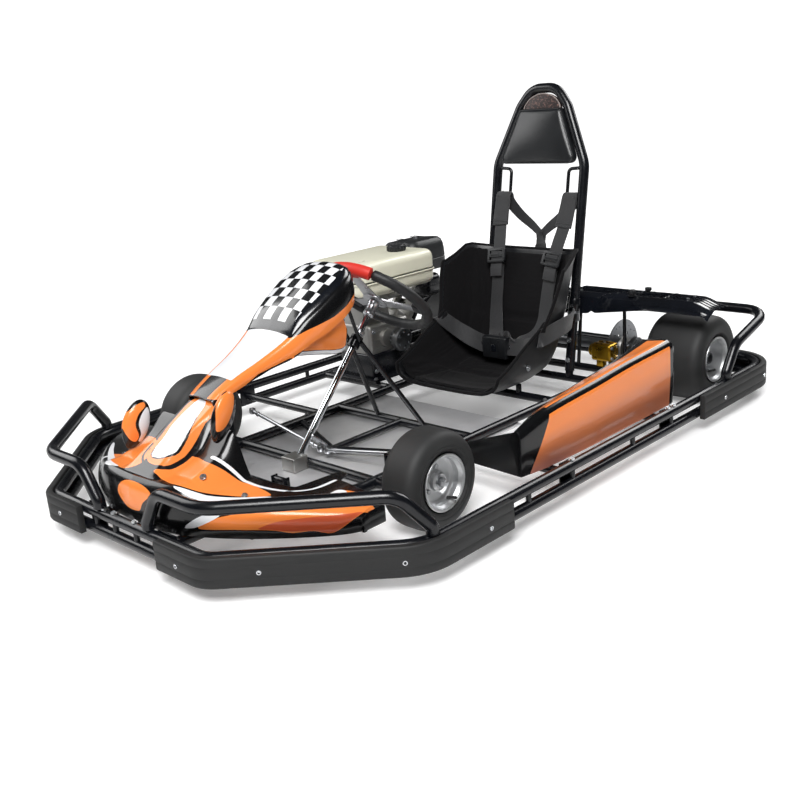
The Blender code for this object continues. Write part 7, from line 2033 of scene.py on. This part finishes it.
class KART_OT_engine(bpy.types.Operator):
    """Engine: castings, finned cylinder, recoil cover, tank with its cap, air cleaner and muffler"""
    bl_idname = "kart.engine"
    bl_label = "Engine"

    def execute(self, context):
        self.castings()
        self.recoil()
        self.tank()
        self.air_cleaner()
        self.muffler()
        return {"FINISHED"}

    def castings(self):
        x, y, low = -0.420, 0.290, 0.0875
        foot = block((0.220, 0.240, 0.009), (x - 0.010, y, low + 0.0045), 0.0015, 2)
        sump = block((0.150, 0.190, 0.080), (x, y - 0.010, low + 0.048), 0.006, 3)
        done(joined([foot, sump]), "engine_base", "powder_coated_steel", "chassis")
        case = block((0.150, 0.190, 0.104), (x, y - 0.010, low + 0.136), 0.014, 4)
        bits = [case]
        for k in range(3):
            bits.append(block((0.004, 0.150, 0.008), (x + 0.0745, y - 0.010, low + 0.103 + 0.030 * k), 0.0015, 2))
        bits.append(rod((x + 0.070, y - 0.030, low + 0.135), (x + 0.088, y - 0.030, low + 0.135), 0.030, 0.003, 40))
        bits.append(rod((x + 0.070, y + 0.055, low + 0.150), (x + 0.084, y + 0.055, low + 0.150), 0.014, 0.002, 32))
        slant = Matrix.Rotation(math.radians(-35), 4, "X")  # the cylinder leans
        for k in range(10):
            centre = Vector((x, y + 0.047 + 0.0088 * k, 0.2095 + 0.0062 * k))
            fin = block((0.118 - 0.010 * (k % 2), 0.0034, 0.110), (0, 0, 0), 0.0012, 2)
            bits.append(settle(fin, Matrix.Translation(centre) @ slant))
        core = block((0.086, 0.090, 0.086), (0, 0, 0), 0.010, 3)
        bits.append(settle(core, Matrix.Translation((x, y + 0.086, 0.236)) @ slant))
        bits.append(rod((x + 0.06, CRANK_Y, CRANK_Z), (-0.3295, CRANK_Y, CRANK_Z), 0.012))
        bits.append(block((0.100, 0.120, 0.3845 - 0.2375), (x, y - 0.040, (0.3845 + 0.2375) / 2), 0.005, 3))
        face = self.muffler_centre() - Vector((0, 0.043, 0))
        intake = [(x + 0.02, y + 0.01, 0.345), (x + 0.02, 0.4625, 0.345), (x + 0.02, 0.4625, 0.3825)]
        bits.append(tube(rounded(intake, 0.025, 8), 0.013))
        exhaust = [(x - 0.02, y + 0.09, 0.255), (face.x, face.y - 0.05, face.z), tuple(face)]
        bits.append(tube(rounded(exhaust, 0.03, 8), 0.014))
        done(joined(bits), "engine_castings", "sand_cast_aluminium", "chassis", "engine_block", smooth=30)
        spots = [(Vector((x + 0.075, y + dy, low + dz)), Vector((1, 0, 0))) for dy in (-0.088, 0.068)
                 for dz in (0.030, 0.166)]
        spots += [(Vector((x + dx, y + dy, low + 0.009)), Vector((0, 0, 1))) for dx in (-0.11, 0.09)
                  for dy in (-0.108, 0.108)]
        bolts("engine_bolts", spots, 0.006, 0.006, "chassis")
        plug = rod((x, y + 0.120, 0.268), (x, y + 0.148, 0.300), 0.009, 0.002)
        done(plug, "plug_cap", "moulded_rubber", "chassis")

    def recoil(self):
        at = Vector((-0.4955, CRANK_Y, CRANK_Z))
        cover = spun([(0, 0.052), (0.030, 0.052), (0.034, 0.050), (0.052, 0.0500), (0.058, 0.048), (0.088, 0.0350),
                      (0.094, 0.030), (0.098, 0.004), (0.098, 0.0), (0, 0.0)], 72)
        slots = []
        for k in range(16):
            a = 2 * math.pi * k / 16
            slot = block((0.018, 0.0045, 0.05), (0.072, 0, 0.052), 0.0008, 1)
            slots.append(settle(slot, Matrix.Rotation(a, 4, "Z")))
        cut(cover, joined(slots))
        place(cover, at, (-1, 0, 0))
        done(cover, "starter_cover", "grained_abs", "chassis", "recoil_cover", smooth=30)
        grip = block((0.016, 0.014, 0.050), (-0.5255, 0.1915, 0.235), 0.005, 4)
        done(grip, "starter_grip", "grained_abs", "pull_grip", "recoil_grip")

    def tank(self):
        """A pressed tank with a groove and a folded seam round it, and a raised neck for the cap."""
        x, y, h = 0.256, 0.345, 0.115
        at = Vector((-0.387, 0.2625, 0.385 + h / 2))
        low = block((x, y, h), at, 0.026, 6)
        groove = block((x + 0.03, y + 0.03, 0.0032), at + Vector((0, 0, -0.08 * h + 0.0065)), 0.0003, 1)
        inner = block((x - 0.006, y - 0.006, h), at, 0.024, 5)
        cut(groove, inner)
        cut(low, groove)
        outline = [p + at for p in round_box(x / 2 + 0.004, y / 2 + 0.004, 0.028, 8)]
        seam = slab(outline, 0.4308, 0.4358, 0.0014, 3)
        neck = spun([(0, -0.004), (0.036, -0.004), (0.0345, 0.0), (0.0335, 0.0004), (0, 0.0004)], 48)
        place(neck, CAP_AT)
        done(joined([low, seam, neck]), "tank_shell", "cream_enamel", "chassis", "fuel_tank", smooth=30)
        line = [(p.x + at.x, p.y + at.y, 0.4375) for p in round_box(x / 2, y / 2, 0.026, 8)]
        done(tube(line, 0.0016, True, 8), "tank_seam_gasket", "moulded_rubber", "chassis")
        cap = slab(circle(240, 0.0318, 0.0, 0.0011, 20), 0.003, 0.0165, 0.0016, 2)
        dome = spun([(0, 0.0005), (0.0300, 0.0005), (0.0300, 0.004), (0.0285, 0.0180), (0.0255, 0.0210),
                     (0.0140, 0.0215), (0.0130, 0.0200), (0, 0.0200)], 56)
        ob = settle(joined([cap, dome]), Matrix.Translation(CAP_AT))
        done(ob, "tank_cap", "grained_abs", "cap", "fuel_cap", smooth=30)

    def air_cleaner(self):
        """The cover of the air cleaner: tapered, round-cornered, ribbed on top and held by a nut."""
        size, at = Vector((0.165, 0.185, 0.108)), Vector((-0.455, 0.540, 0.452))
        corners = round_box(size.x / 2, size.y / 2, 0.036, 8)
        rows = []
        for share, rise in ((0.94, 0.0), (0.985, 0.012), (1.0, 0.05), (1.0, 0.34), (0.985, 0.355), (0.985, 0.375),
                            (1.0, 0.39), (0.985, 0.62), (0.955, 0.80), (0.90, 0.92), (0.82, 0.985), (0.70, 1.0),
                            (0.35, 1.0), (0.02, 1.0)):
            rows.append([Vector((p.x * share, p.y * share, size.z * (rise - 0.5) - 0.16 * max(0.0, -p.x)
                                 * max(0.0, rise - 0.4))) + at for p in corners + corners[:1]])
        ob = weld(sheet_of(rows), 0.00003)
        ribs = [block((0.090, 0.005, 0.0025), at + Vector((0.006, dy, 0.0538)), 0.001, 2)
                for dy in (-0.045, -0.027, 0.027, 0.045)]
        done(joined([ob] + ribs), "air_cleaner_cover", "grained_abs", "chassis", "air_cleaner", smooth=30)
        bolts("air_cleaner_nut", [(at + Vector((0.010, 0, 0.0538)), Vector((0, 0, 1)))], 0.0065, 0.006, "chassis")

    def muffler_centre(self):
        return Vector((-0.455, 0.555, 0.3425))

    def muffler(self):
        """A pressed can with its rolled seam, its heat shield and a short outlet."""
        at = self.muffler_centre()
        can = block((0.150, 0.085, 0.080), at, 0.022, 5)
        seam = block((0.154, 0.089, 0.0040), at, 0.0016, 2)
        holes = []
        shield = block((0.112, 0.060, 0.0016), at + Vector((0, 0, -0.0408)), 0.0005, 1)
        for i in range(5):
            for j in range(2):
                p = at + Vector((-0.040 + 0.020 * i, -0.012 + 0.024 * j, -0.0408))
                holes.append(rod(p - Vector((0, 0, 0.004)), p + Vector((0, 0, 0.0012)), 0.0045, 0, 16))
        cut(shield, joined(holes))
        outlet = rod(at + Vector((-0.060, 0.0, -0.012)), at + Vector((-0.086, 0.0, -0.016)), 0.011, 0.0012)
        done(joined([can, seam, shield, outlet]), "muffler_can", "powder_coated_steel", "chassis", "muffler",
             smooth=30)


class KART_PT_panel(bpy.types.Panel):
    """Builds the kart piece by piece from the 3D view's sidebar"""
    bl_idname = "KART_PT_panel"
    bl_label = "Racing kart"
    bl_space_type = "VIEW_3D"
    bl_region_type = "UI"
    bl_category = "Kart"

    def draw(self, context):
        layout = self.layout
        for group in (context.scene.kart_sizes, context.scene.kart_colours, context.scene.kart_stage):
            box = layout.box()
            for name in group.__annotations__:
                box.prop(group, name)
        for operator in OPERATORS:
            layout.operator(operator.bl_idname)


GROUPS = {"kart_colours": KartColours, "kart_sizes": KartSizes, "kart_stage": KartStage}
OPERATORS = (KART_OT_stage, KART_OT_bumper, KART_OT_frame, KART_OT_nose, KART_OT_fairing, KART_OT_pod, KART_OT_deck,
             KART_OT_seat, KART_OT_hoop, KART_OT_harness, KART_OT_steering, KART_OT_wheels, KART_OT_drive,
             KART_OT_engine)


def register():
    for name, group in GROUPS.items():
        bpy.utils.register_class(group)
        setattr(bpy.types.Scene, name, PointerProperty(type=group))
    for operator in OPERATORS:
        bpy.utils.register_class(operator)
    bpy.utils.register_class(KART_PT_panel)


def unregister():
    bpy.utils.unregister_class(KART_PT_panel)
    for operator in reversed(OPERATORS):
        bpy.utils.unregister_class(operator)
    for name, group in GROUPS.items():
        delattr(bpy.types.Scene, name)
        bpy.utils.unregister_class(group)


def main():
    register()
    scene = bpy.context.scene
    scene.view_settings.view_transform = "Standard"
    for operator in OPERATORS:
        kind, name = operator.bl_idname.split(".")
        if getattr(getattr(bpy.ops, kind), name)() != {"FINISHED"}:
            raise RuntimeError(operator.bl_label + " did not finish")


if __name__ == "__main__":
    main()
